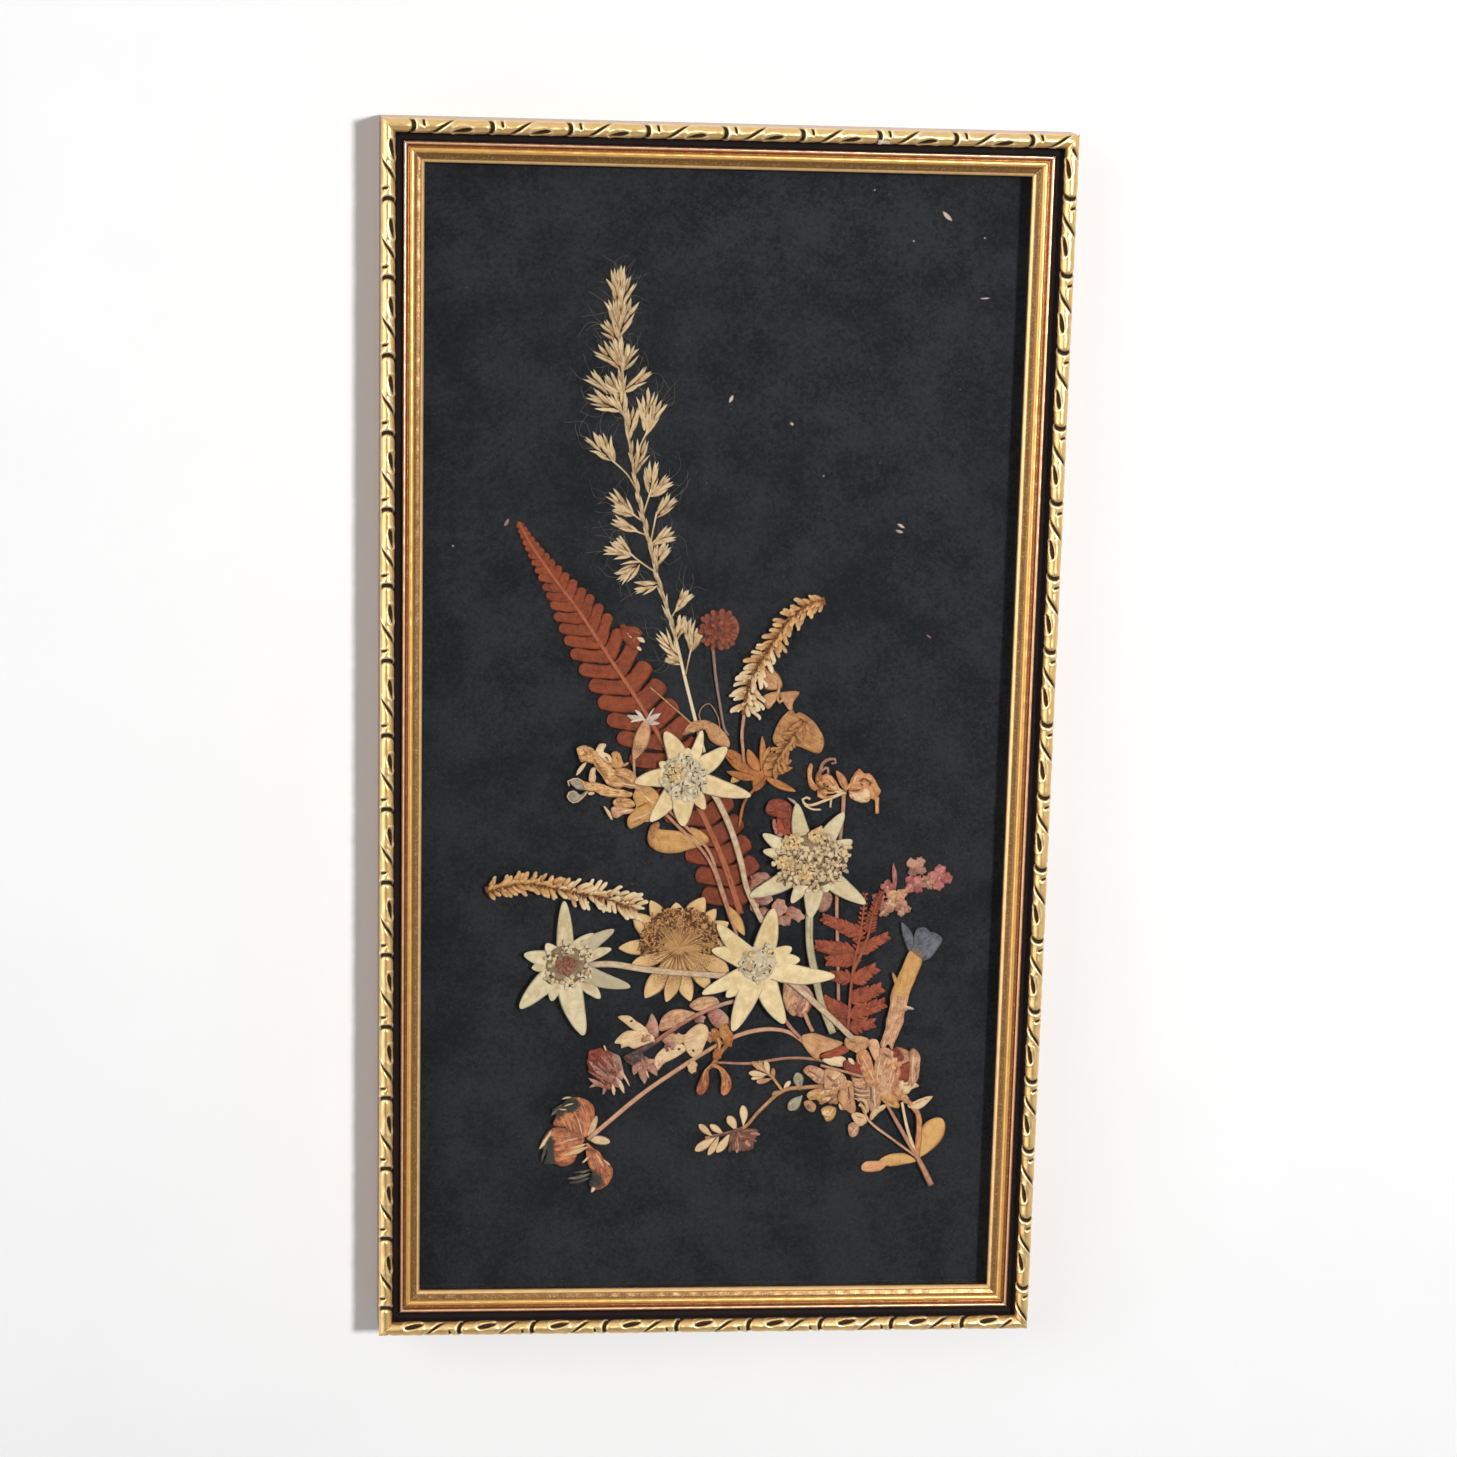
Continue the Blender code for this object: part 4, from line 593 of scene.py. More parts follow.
class Pressed:
    """One pressed piece, gathered shape by shape in picture millimetres."""

    def __init__(self, level, seed=1):
        self.level = level
        self.chance = random.Random(seed)
        self.points = []
        self.loops = []
        self.sizes = []
        self.finishes = []
        self.marks = []
        self.count = 0

    def add(self, points, loops, sizes, marks, finish):
        """Add one closed shape."""
        self.points.append(points)
        self.loops.append(np.asarray(loops) + self.count)
        self.sizes.append(np.asarray(sizes))
        self.finishes.append(np.full(len(sizes), finish))
        self.marks.append(marks)
        self.count += len(points)

    def ribbon(self, curve, half, thickness=0.25, finish=0, columns=6, lift=0.0, cup=0.0, groove=0.0,
               wrinkle=0.06, tint=None, burn=0.0, ragged=0.0):
        """A closed strap along a curve: half is its half width at each of the curve's points."""
        rows = len(curve)
        tint = self.chance.uniform(0.25, 0.75) if tint is None else tint
        seed = self.chance.random()
        share = np.linspace(0, 1, rows)
        run = np.gradient(curve, axis=0)
        length = np.maximum(np.hypot(run[:, 0], run[:, 1]), 1e-9)
        side = np.stack([-run[:, 1], run[:, 0]], 1) / length[:, None]
        flat = np.linspace(-1, 1, columns + 1)
        across = np.concatenate([flat, flat[-2:0:-1]])
        upper = np.concatenate([np.ones(columns + 1), -np.ones(columns - 1)])
        bulge = upper * np.sqrt(np.clip(1 - across ** 2, 0, 1))
        half = np.asarray(half)
        edge = np.outer(half, across)
        if ragged:
            for i, sign in ((0, 1), (columns, -1)):
                notches = np.array([self.chance.uniform(0, 1) for _ in share])
                edge[:, i] += sign * ragged * notches * (half > 0.3)
        x = curve[:, :1] + side[:, :1] * edge
        y = curve[:, 1:] + side[:, 1:] * edge
        firm = np.clip(half / max(half.max(), 1e-6) * 2.2, 0.12, 1.0)[:, None]
        z = self.level + np.broadcast_to(np.asarray(lift, float).reshape(-1, 1), (rows, 1)) + 0 * x
        z = z + cup * across ** 2 * firm + bulge * thickness / 2 * firm
        z = z - groove * np.exp(-(across / 0.22) ** 2) * firm * (upper > 0)
        z = z + wrinkle * unevenness(x, y, 3.2, seed)
        ring = 2 * columns
        first = np.arange(rows - 1)[:, None] * ring + np.arange(ring)[None, :]
        following = np.arange(rows - 1)[:, None] * ring + (np.arange(ring)[None, :] + 1) % ring
        quads = np.stack([first, first + ring, following + ring, following], -1).reshape(-1)
        loops = np.concatenate([quads, np.arange(ring), np.arange(ring)[::-1] + (rows - 1) * ring])
        sizes = np.concatenate([np.full((rows - 1) * ring, 4), [ring, ring]])
        burn = np.broadcast_to(np.asarray(burn, float).reshape(-1, 1), (rows, 1)) + 0 * x
        marks = np.stack([np.repeat(share, ring), np.tile((across + 1) / 2, rows),
                          np.full(rows * ring, tint), burn.reshape(-1)], 1)
        self.add(np.stack([x.reshape(-1), y.reshape(-1), z.reshape(-1)], 1), loops, sizes, marks, finish)

    def stem(self, route, start_width, end_width, thickness=None, rows=0, finish=0, **shape):
        """A tapering stem along a route."""
        curve = smooth(route)
        rows = rows or max(6, int(np.hypot(*np.diff(curve, axis=0).T).sum() / 1.2))
        shares = np.linspace(0, 1, rows)
        half = (start_width + (end_width - start_width) * shares) / 2
        half = half * (1 + 0.06 * unevenness(shares * 40, 0 * shares, 9.0, self.chance.random()))
        thickness = thickness or min(0.4, 0.55 * start_width)
        shape.setdefault("columns", 4)
        self.ribbon(along_route(curve, shares), half, thickness, finish, **shape)

    def stems(self, table, **shape):
        """Several stems given as (route, start width, end width, finish)."""
        for route, start, end, finish in table:
            self.stem(route, start, end, finish=finish, **shape)

    def blade(self, base, tip, width, belly=0.5, fullness=0.8, foot=0.16, rows=14, finish=0,
              profile=None, **shape):
        """A leaf, petal or bract from its base to its tip."""
        base, tip = np.asarray(base, float), np.asarray(tip, float)
        along = tip - base
        length = np.hypot(*along)
        bend = self.chance.uniform(-0.06, 0.06) * length
        across = np.array([-along[1], along[0]]) / length
        curve = smooth([base, (base + tip) / 2 + across * bend, tip], 8)
        shares = (1 - np.cos(np.pi * np.linspace(0, 1, rows))) / 2
        half = width / 2 * (profile(shares) if profile else oval(shares, belly, fullness, foot))
        self.ribbon(along_route(curve, shares), half, finish=finish, **shape)

    def blades(self, table, raised=0.0, **shape):
        """Several leaves given as (base, tip, width), and the finish where it isn't the first."""
        for base, tip, width, *finish in table:
            shape["finish"] = finish[0] if finish else 0
            self.blade(base, tip, width, lift=raised + self.chance.uniform(-0.12, 0.12), **shape)

    def sheets(self, table, **shape):
        """Several crumpled leaves or petals given as (finish, outline), each over the one before."""
        shape = {"spacing": 0.6, "wrinkle": 0.16, "size": 2.4, **shape}
        for i, (finish, *outline) in enumerate(table):
            self.patch(outline, lift=0.05 * (i % 5) - 0.1, finish=finish, **shape)

    def lobes(self, table, **shape):
        """Several crumpled, notched petals given as (x, y, long radius, short radius, turn, finish)."""
        for i, (x, y, long, short, turn, finish) in enumerate(table):
            outline = []
            for k in range(LOBE_POINTS):
                reach = self.chance.uniform(0.98, 1.18) if k % 2 else self.chance.uniform(0.8, 1.02)
                angle = k * LOBE_STEP
                out = turned((long * reach * math.cos(angle), short * reach * math.sin(angle)), turn)
                outline.append((x + out[0], y + out[1]))
            self.patch(outline, 0.2, 0.45, 0.2, 0.26, 1.7, finish, self.chance.uniform(0.1, 0.9), steps=3,
                       lift=0.07 * (i % 5) - 0.1, **shape)

    def patch(self, outline, thickness=0.22, spacing=0.8, crown=0.15, wrinkle=0.12, size=3.5, finish=0,
              tint=None, burn=None, steps=4, lift=0.0, axis=(1.0, 0.0)):
        """A leaf or petal of any outline, gently crowned and wrinkled."""
        tint = self.chance.uniform(0.35, 0.65) if tint is None else tint
        seed = self.chance.random()
        edge = smooth(outline, steps, closed=True)
        if ((edge[:, 0] * np.roll(edge[:, 1], -1) - np.roll(edge[:, 0], -1) * edge[:, 1]).sum()) < 0:
            edge = edge[::-1]
        low, high = edge.min(0), edge.max(0)
        grid = np.mgrid[low[0]:high[0]:spacing, low[1]:high[1]:spacing].reshape(2, -1).T
        grid = grid + np.array([[self.chance.uniform(-0.2, 0.2) * spacing for _ in range(2)] for _ in grid])
        ends = np.roll(edge, -1, 0)

        def depth_inside(points):
            """Distance from each point to the outline, negative outside it."""
            reach = np.full(len(points), 1e9)
            inside = np.zeros(len(points), bool)
            for a, b in zip(edge, ends):
                run = b - a
                t = np.clip(((points - a) @ run) / max(run @ run, 1e-12), 0, 1)
                reach = np.minimum(reach, np.hypot(*(points - a - t[:, None] * run).T))
                crosses = (a[1] > points[:, 1]) != (b[1] > points[:, 1])
                if abs(run[1]) > 1e-12:
                    inside ^= crosses & (points[:, 0] < a[0] + (points[:, 1] - a[1]) / run[1] * run[0])
            return np.where(inside, reach, -reach)

        grid = grid[depth_inside(grid) > 0.4 * spacing]
        flat = [Vector(p) for p in np.vstack([edge, grid])]
        verts, _, faces, *_ = delaunay_2d_cdt(flat, [], [list(range(len(edge)))], 1, 0.0005)
        xy = np.array([tuple(v) for v in verts])
        deep = np.clip(depth_inside(xy), 0, None)
        middle = xy - xy.mean(0)
        reach = max(deep.max(), 1e-6)
        wrinkles = wrinkle * unevenness(xy[:, 0], xy[:, 1], size, seed)
        bend = self.level + lift + crown * (deep / reach) ** 0.7 + wrinkles
        half = thickness / 2 * np.sqrt(np.clip(deep / (0.9 * spacing), 0, 1))
        count = len(xy)
        points = np.vstack([np.column_stack([xy, bend + half]), np.column_stack([xy, bend - half - 0.004])])
        used = {}
        for f in faces:
            for a, b in zip(f, [*f[1:], f[0]]):
                used[(a, b)] = used.get((a, b), 0) + 1
        loops, sizes = [], []
        for f in faces:
            loops += list(f)
            sizes.append(len(f))
            loops += [i + count for i in f[::-1]]
            sizes.append(len(f))
        for a, b in used:
            if (b, a) not in used:
                loops += [a, a + count, b + count, b]
                sizes.append(4)
        axis = np.asarray(axis, float) / np.hypot(*axis)
        u = middle @ axis
        v = middle @ np.array([-axis[1], axis[0]])
        burned = np.zeros(count) if burn is None else np.clip(burn(xy[:, 0], xy[:, 1]), 0, 1)
        marks = np.column_stack([(u - u.min()) / max(np.ptp(u), 1e-6), (v - v.min()) / max(np.ptp(v), 1e-6),
                                 np.full(count, tint), burned])
        self.add(points, loops, sizes, np.vstack([marks, marks]), finish)

    def lump(self, centre, radius, height=0.3, stretch=1.0, turn=0.0, lift=0.0, finish=0, tint=None,
             sides=7):
        """A small rounded floret or seed."""
        tint = self.chance.uniform(0.2, 0.8) if tint is None else tint
        rings = ((1.0, 0.0), (0.72, 0.72), (0.72, -0.72))
        points = []
        c, s = math.cos(math.radians(turn)), math.sin(math.radians(turn))
        wobble = [self.chance.uniform(0.82, 1.18) for _ in range(sides)]
        for reach, up in rings:
            for i in range(sides):
                a = 2 * math.pi * i / sides
                u = radius * stretch * reach * wobble[i] * math.cos(a)
                v = radius * reach * wobble[i] * math.sin(a)
                points.append((centre[0] + u * c - v * s, centre[1] + u * s + v * c,
                               self.level + lift + up * height / 2))
        points.append((*centre, self.level + lift + height / 2))
        points.append((*centre, self.level + lift - height / 2))
        loops, sizes = [], []
        for i in range(sides):
            j = (i + 1) % sides
            loops += [i, j, sides + j, sides + i, j, i, 2 * sides + i, 2 * sides + j]
            loops += [sides + i, sides + j, 3 * sides, 2 * sides + j, 2 * sides + i, 3 * sides + 1]
            sizes += [4, 4, 3, 3]
        marks = np.array([(0.5 + 0.5 * (abs(p[0] - centre[0]) + abs(p[1] - centre[1]))
                           / (2 * radius * stretch), 0.5, tint, 0.0) for p in points])
        self.add(np.array(points), loops, sizes, marks, finish)

    def build(self, name, finishes, slot, *nodes):
        """Make the object, and put it in place of its solids."""
        points = np.vstack(self.points)
        world = np.column_stack([points[:, 0], -points[:, 2], points[:, 1] - NAIL_ABOVE_CENTRE]) * MM
        sizes = np.concatenate(self.sizes)
        loops = np.concatenate(self.loops)
        mesh = bpy.data.meshes.new(name)
        mesh.vertices.add(len(world))
        mesh.vertices.foreach_set("co", world.ravel())
        mesh.loops.add(len(loops))
        mesh.loops.foreach_set("vertex_index", loops.astype(np.int32))
        mesh.polygons.add(len(sizes))
        starts = np.concatenate([[0], np.cumsum(sizes)[:-1]]).astype(np.int32)
        mesh.polygons.foreach_set("loop_start", starts)
        mesh.polygons.foreach_set("material_index", np.concatenate(self.finishes).astype(np.int32))
        mesh.update(calc_edges=True)
        mesh.validate()
        carried = mesh.attributes.new("marks", "FLOAT_COLOR", "POINT")
        carried.data.foreach_set("color", np.vstack(self.marks).astype(np.float32).ravel())
        mesh.shade_smooth()
        for finish in finishes:
            mesh.materials.append(finish)
        thing = put(name, mesh)
        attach(thing, "root")
        if nodes:
            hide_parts(*nodes)


# ---------------------------------------------------------------- moulding

CARVING_REPEAT = 21.9
FIRST_CRESCENT = {"rail_top": 8.5, "rail_right": 17.4, "rail_bottom": 20.0, "rail_left": 8.7}
BEAD_MIDDLE = (2.95, 17.72)
BEAD_RADII = (1.98, 2.24)
BEAD_COLUMNS = 26
ROW_SPACING = 0.36
CUT_DEPTH = 0.95
RIM_HEIGHT = 0.2
FRAME_DEPTH = 20.0
RAIL_WIDTH = 13.0

# Moulding section after the bead as (inward, height), and the finish up to each point
HOLLOW_SECTION = [(4.92, 16.3), (4.98, 15.6), (5.12, 15.0), (5.5, 14.62), (6.1, 14.48), (6.7, 14.55),
                  (7.02, 14.8), (7.1, 15.2)]
SLOPE_SECTION = [
    (7.13, 15.38), (7.22, 15.5), (7.6, 15.53), (7.92, 15.48), (8.04, 15.3), (8.16, 14.8), (8.35, 14.4),
    (8.6, 14.24), (8.8, 14.24), (8.92, 14.4), (9.1, 14.54), (9.4, 14.62), (9.8, 14.58), (10.15, 14.4),
    (10.4, 14.1), (10.52, 13.78), (10.95, 13.6), (11.4, 13.45), (11.85, 13.32), (12.08, 13.24),
    (12.16, 13.12), (12.3, 13.04), (12.66, 12.82), (12.9, 12.5), (13.0, 12.25)
]
BACK_SECTION = [(13.0, 11.5), (9.0, 11.5), (9.0, 0.0), (0.0, 0.0)]
SIDE_SECTION = [(0.05, 0.3), (0.35, 6.0), (0.75, 12.0), (1.0, 15.6), (1.02, 16.5)]


def carving(s, across, first):
    """Cut depth and raised rim on the bead, at a distance along the rail and across from the outer side."""
    repeat = (s - first) / CARVING_REPEAT
    phase = (repeat - np.floor(repeat)) * CARVING_REPEAT
    wrapped = np.where(phase > CARVING_REPEAT - 4, phase - CARVING_REPEAT, phase)
    cut = np.zeros_like(s)
    rim = np.zeros_like(s)

    def groove(off, ahead, behind, strength):
        """One cut: steep on its clockwise side, and running out behind."""
        nonlocal cut, rim
        shape = np.where(off > 0, np.exp(-(off / ahead) ** 2), np.exp(-(off / behind) ** 2))
        cut = np.maximum(cut, shape * strength)
        rim = np.maximum(rim, np.exp(-((off - 2.2 * ahead) / (1.2 * ahead)) ** 2) * strength)

    def fade(low, high, soft=0.08):
        """Where across the bead a cut lies."""
        return np.clip((across - low) / soft, 0, 1) * np.clip((high - across) / soft, 0, 1)

    bow = 1.9 * (1 - (2 * across - 1) ** 2)
    groove(wrapped - bow, 0.34, 0.8, fade(0.08, 1.05))
    groove(phase - 4.3 - 1.2 * (across - 0.2), 0.26, 0.45, 0.85 * fade(0.1, 0.55))
    groove(phase - 14.6 + 9.2 * across, 0.42, 0.75, fade(0.1, 0.95, 0.15))
    eye_along = (phase - 15.2) / 3.1
    eye_across = (across - 0.7 + 0.1 * eye_along) / 0.12
    eye = np.clip(1.6 - 1.6 * eye_along ** 2 - 1.4 * eye_across ** 2, 0, 1)
    cut = np.maximum(cut, eye)
    curl = eye_along ** 2 + ((across - 0.72) / 0.26) ** 2
    rim = np.maximum(rim, np.clip(1 - abs(curl - 1.1) * 3, 0, 1))
    return cut, rim * (1 - cut)


def rail(name, length, direction, corner):
    """One mitred length of moulding: direction runs clockwise, and corner is its outer starting corner."""
    turns = np.radians(np.linspace(-26, 206, BEAD_COLUMNS))
    bead = [(BEAD_MIDDLE[0] - BEAD_RADII[0] * math.cos(a), BEAD_MIDDLE[1] + BEAD_RADII[1] * math.sin(a))
            for a in turns]
    section = np.array([*SIDE_SECTION, *bead, *HOLLOW_SECTION, *SLOPE_SECTION, *BACK_SECTION])
    first_bead = len(SIDE_SECTION)
    after_bead = first_bead + BEAD_COLUMNS
    columns = len(section)
    rows = int(length / ROW_SPACING)
    share = np.linspace(0, 1, rows)[:, None]
    inset = section[:, 0][None, :] + 0.02
    s = inset + share * (length - 2 * inset)
    across = np.zeros(columns)
    across[first_bead:after_bead] = np.linspace(0, 1, BEAD_COLUMNS)
    on_bead = np.zeros(columns)
    on_bead[first_bead:after_bead] = 1.0
    cut, rim = carving(s, np.broadcast_to(across, s.shape), FIRST_CRESCENT[name])
    near_end = np.clip((np.minimum(s - inset, length - inset - s) - 1.2) / 1.0, 0, 1)
    cut = cut * on_bead * near_end
    rim = rim * on_bead * near_end
    outward = np.zeros((columns, 2))
    outward[first_bead:after_bead] = [(-math.cos(a), math.sin(a)) for a in turns]
    rough = unevenness(s, np.broadcast_to(across * 6, s.shape), 5.0, len(name))
    push = -CUT_DEPTH * cut + RIM_HEIGHT * rim + 0.05 * on_bead * rough
    inward = section[:, 0][None, :] + outward[:, 0] * push
    height = section[:, 1][None, :] + outward[:, 1] * push
    edge_wear = unevenness(s, inward * 2, 7.0, 5) * 0.03
    slope = np.zeros(columns)
    slope[after_bead + len(HOLLOW_SECTION):columns - len(BACK_SECTION)] = 1.0
    height = height + edge_wear * slope
    height = np.minimum(height, FRAME_DEPTH)
    direction = np.array(direction)
    inwards = np.array([direction[1], -direction[0]])
    x = corner[0] + direction[0] * s + inwards[0] * inward
    y = corner[1] + direction[1] * s + inwards[1] * inward
    chip = np.zeros_like(s)
    if name == "rail_top":
        chip = np.clip(1.2 - ((s - 142.8) / 2.2) ** 2 - ((across - 0.8) / 0.2) ** 2, 0, 1) * on_bead
    near_mitre = np.minimum(s - inset, length - inset - s)
    chip = np.maximum(chip, np.clip(1 - near_mitre / 0.35, 0, 1) * 0.62 * slope)
    # The first mark, the carving's raised rim, is painted lighter by the gilding: partly rubbed gilding,
    # partly painted highlight.
    marks = np.stack([np.broadcast_to(rim, s.shape), np.broadcast_to(section[:, 0] / RAIL_WIDTH, s.shape),
                      cut, chip], -1).reshape(-1, 4)
    piece = Pressed(0.0)
    first = np.arange(rows - 1)[:, None] * columns + np.arange(columns)[None, :]
    following = np.arange(rows - 1)[:, None] * columns + (np.arange(columns)[None, :] + 1) % columns
    quads = np.stack([first, following, following + columns, first + columns], -1).reshape(-1)
    loops = np.concatenate([quads, np.arange(columns)[::-1], np.arange(columns) + (rows - 1) * columns])
    sizes = np.concatenate([np.full((rows - 1) * columns, 4), [columns, columns]])
    points = np.stack([x, y, np.broadcast_to(height, s.shape)], -1).reshape(-1, 3)
    piece.add(points, loops, sizes, marks, 0)
    zone = np.full(columns, 4)
    zone[:first_bead] = 1
    zone[first_bead - 1:after_bead] = 0
    zone[after_bead - 1:after_bead + len(HOLLOW_SECTION) - 1] = 2
    zone[after_bead + len(HOLLOW_SECTION) - 1:columns - len(BACK_SECTION)] = 3
    piece.finishes = [np.concatenate([np.tile(zone, rows - 1), [4, 4]])]
    piece.build(name + "_carved", [BEAD_GILDING, SIDE_GILDING, BLACK_HOLLOW, SLOPE_GILDING, RAW_WOOD],
                "gilded_moulding", name)


def moulding():
    """The four rails, each running clockwise as seen from the front."""
    w, h = OUTER_WIDTH / 2, OUTER_HEIGHT / 2
    rail("rail_top", OUTER_WIDTH, (1.0, 0.0), (-w, h))
    rail("rail_right", OUTER_HEIGHT, (0.0, -1.0), (w, h))
    rail("rail_bottom", OUTER_WIDTH, (-1.0, 0.0), (w, -h))
    rail("rail_left", OUTER_HEIGHT, (0.0, 1.0), (-w, -h))


def stack():
    """Finishes of the glass, card, board, points and hanger, whose solids are shown as they are."""
    finishes = {"glass_pane": GLASS, "mount_card": BLACK_CARD, "backing_board": BOARD,
                "sawtooth_hanger": STEEL}
    for side in ("left", "right"):
        for end in ("upper", "lower"):
            finishes[f"board_point_{side}_{end}"] = STEEL
    for name, finish in finishes.items():
        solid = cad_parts[name]
        for i in range(len(solid.material_slots)):
            solid.material_slots[i].material = finish


# ---------------------------------------------------------------- edelweiss

# For each head: middle, bracts as (tip, width), cushion (middle, radii), stem route and width
EDELWEISS = {"top": ((-9.5, -9.5),
                     [((-15.5, 4.0), 6.4), ((-4.5, 4.5), 3.8), ((3.0, -0.6), 6.4), ((10.5, -15.2), 6.0),
                      ((-3.2, -19.4), 5.0), ((-9.5, -24.5), 7.2), ((-19.3, -23.2), 6.0),
                      ((-24.2, -11.2), 6.0), ((-17.0, -5.2), 4.5), ((-8.5, -0.8), 5.5)],
                     ((-9.6, -9.8), 6.9, 7.6),
                     [(-3.0, -12.5), (0.5, -16.5), (5.0, -26.0), (8.2, -36.0), (10.2, -44.0), (15.0, -54.0)],
                     1.9),
             "right": ((29.0, -35.5),
                       [((24.3, -17.5), 5.8), ((38.6, -20.2), 6.0), ((14.4, -26.9), 5.4),
                        ((14.6, -32.0), 5.0), ((10.9, -46.0), 6.4), ((23.6, -48.0), 5.0),
                        ((29.4, -52.6), 6.8), ((34.5, -44.6), 5.4), ((46.0, -48.2), 6.4),
                        ((41.4, -28.8), 5.8), ((30.5, -25.2), 5.5)], ((29.3, -34.8), 10.6, 9.0),
                       [(29.5, -46.0), (29.3, -54.0), (29.7, -62.0), (31.6, -71.0), (33.8, -80.0),
                        (37.5, -89.0)], 2.4),
             "left": ((-44.0, -67.0), [((-44.6, -47.6), 5.2), ((-29.6, -56.3), 5.2), ((-35.5, -57.6), 5.2),
                                       ((-30.3, -62.2), 4.4), ((-56.4, -64.0), 5.6), ((-49.8, -60.6), 4.8),
                                       ((-54.0, -68.2), 4.8), ((-57.4, -80.6), 7.0), ((-48.0, -78.4), 5.2),
                                       ((-38.2, -89.0), 7.8), ((-33.4, -77.6), 5.4), ((-24.4, -74.0), 5.6)],
                      ((-43.8, -67.0), 6.6, 6.6),
                      [(-38.0, -67.5), (-30.0, -67.2), (-20.0, -68.8), (-8.0, -70.0), (6.0, -71.0)], 2.1),
             "centre": ((14.5, -68.0),
                        [((18.2, -49.8), 7.0), ((1.4, -54.6), 6.0), ((-0.1, -62.6), 6.0),
                         ((-2.7, -76.2), 5.4), ((4.6, -77.2), 5.8), ((6.8, -87.8), 7.0),
                         ((22.4, -85.6), 7.2), ((37.4, -70.8), 6.6), ((26.6, -65.6), 5.8),
                         ((24.0, -61.8), 5.4)], ((13.8, -66.6), 6.0, 6.0),
                        [(20.5, -70.0), (27.0, -75.2), (33.0, -80.6), (38.0, -85.2), (43.5, -90.5)], 2.0), }

# Woolly heads of each cushion as (x, y, radius), and its tan or russet clumps as (x, y, radius, finish)
FLORET_HEADS = {"top": ([(-9.6, -9.8, 7.0)], [(-11.5, -7.5, 2.2, 2), (-12.8, -9.6, 1.6, 2)]),
                "right": ([(24.0, -31.0, 4.2), (33.5, -31.4, 4.6), (29.5, -36.6, 5.0), (23.0, -39.0, 3.8),
                           (36.2, -37.5, 3.8), (30.0, -41.0, 3.6), (20.4, -35.0, 3.0), (38.6, -32.0, 2.6)],
                          [(23.5, -29.3, 2.5, 2), (30.6, -26.8, 2.5, 2), (21.4, -35.7, 2.4, 2),
                           (27.4, -38.6, 2.6, 2)]),
                "left": ([(-47.9, -65.2, 2.3), (-43.3, -62.1, 2.2), (-37.9, -63.4, 2.2), (-38.0, -69.4, 2.3),
                          (-43.2, -72.0, 2.2), (-48.3, -71.4, 2.1)],
                         [(-44.2, -67.0, 2.7, 3), (-42.0, -67.4, 1.6, 3)]),
                "centre": ([(11.0, -67.1, 2.8), (16.7, -62.8, 2.3), (16.4, -68.1, 2.3), (13.7, -71.2, 1.7)],
                           [(11.6, -63.4, 0.9, 2)]), }


TIPS_PER_LUMP = 0.5


def woolly_head(piece, x, y, radius):
    """One woolly head: small lumps of wool in a spiral, with dark tips of scales between."""
    count = int(radius * radius * 1.7)
    ringed = radius < 3.2
    for i in range(count):
        reach = radius * math.sqrt((i + 0.5) / count)
        angle = i * GOLDEN_ANGLE + piece.chance.uniform(-0.35, 0.35)
        cx, cy = x + reach * math.cos(angle), y + reach * math.sin(angle)
        up = 0.30 * (1 - (reach / radius) ** 2) + piece.chance.uniform(-0.12, 0.12)
        hollow = ringed and reach < 0.34 * radius
        piece.lump((cx, cy), piece.chance.uniform(0.5, 0.85), 0.5, piece.chance.uniform(1.0, 1.5),
                   math.degrees(angle) + piece.chance.uniform(-50, 50), up - 0.1 * hollow,
                   2 if hollow else 0, tint=piece.chance.uniform(0.2, 1.0), sides=8)
    for _ in range(int(count * TIPS_PER_LUMP)):
        reach = radius * math.sqrt(piece.chance.uniform(*((0.25, 0.6) if ringed else (0.02, 0.95))))
        angle = piece.chance.uniform(0, ROUND)
        cx, cy = x + reach * math.cos(angle), y + reach * math.sin(angle)
        up = 0.30 * (1 - (reach / radius) ** 2) + 0.3
        turn = math.degrees(angle) + (90 + piece.chance.uniform(-15, 15) if ringed
                                      else piece.chance.uniform(0, 180))
        piece.lump((cx, cy), piece.chance.uniform(0.15, 0.22), 0.16, piece.chance.uniform(2.6, 4.6), turn,
                   up, 1, sides=6)


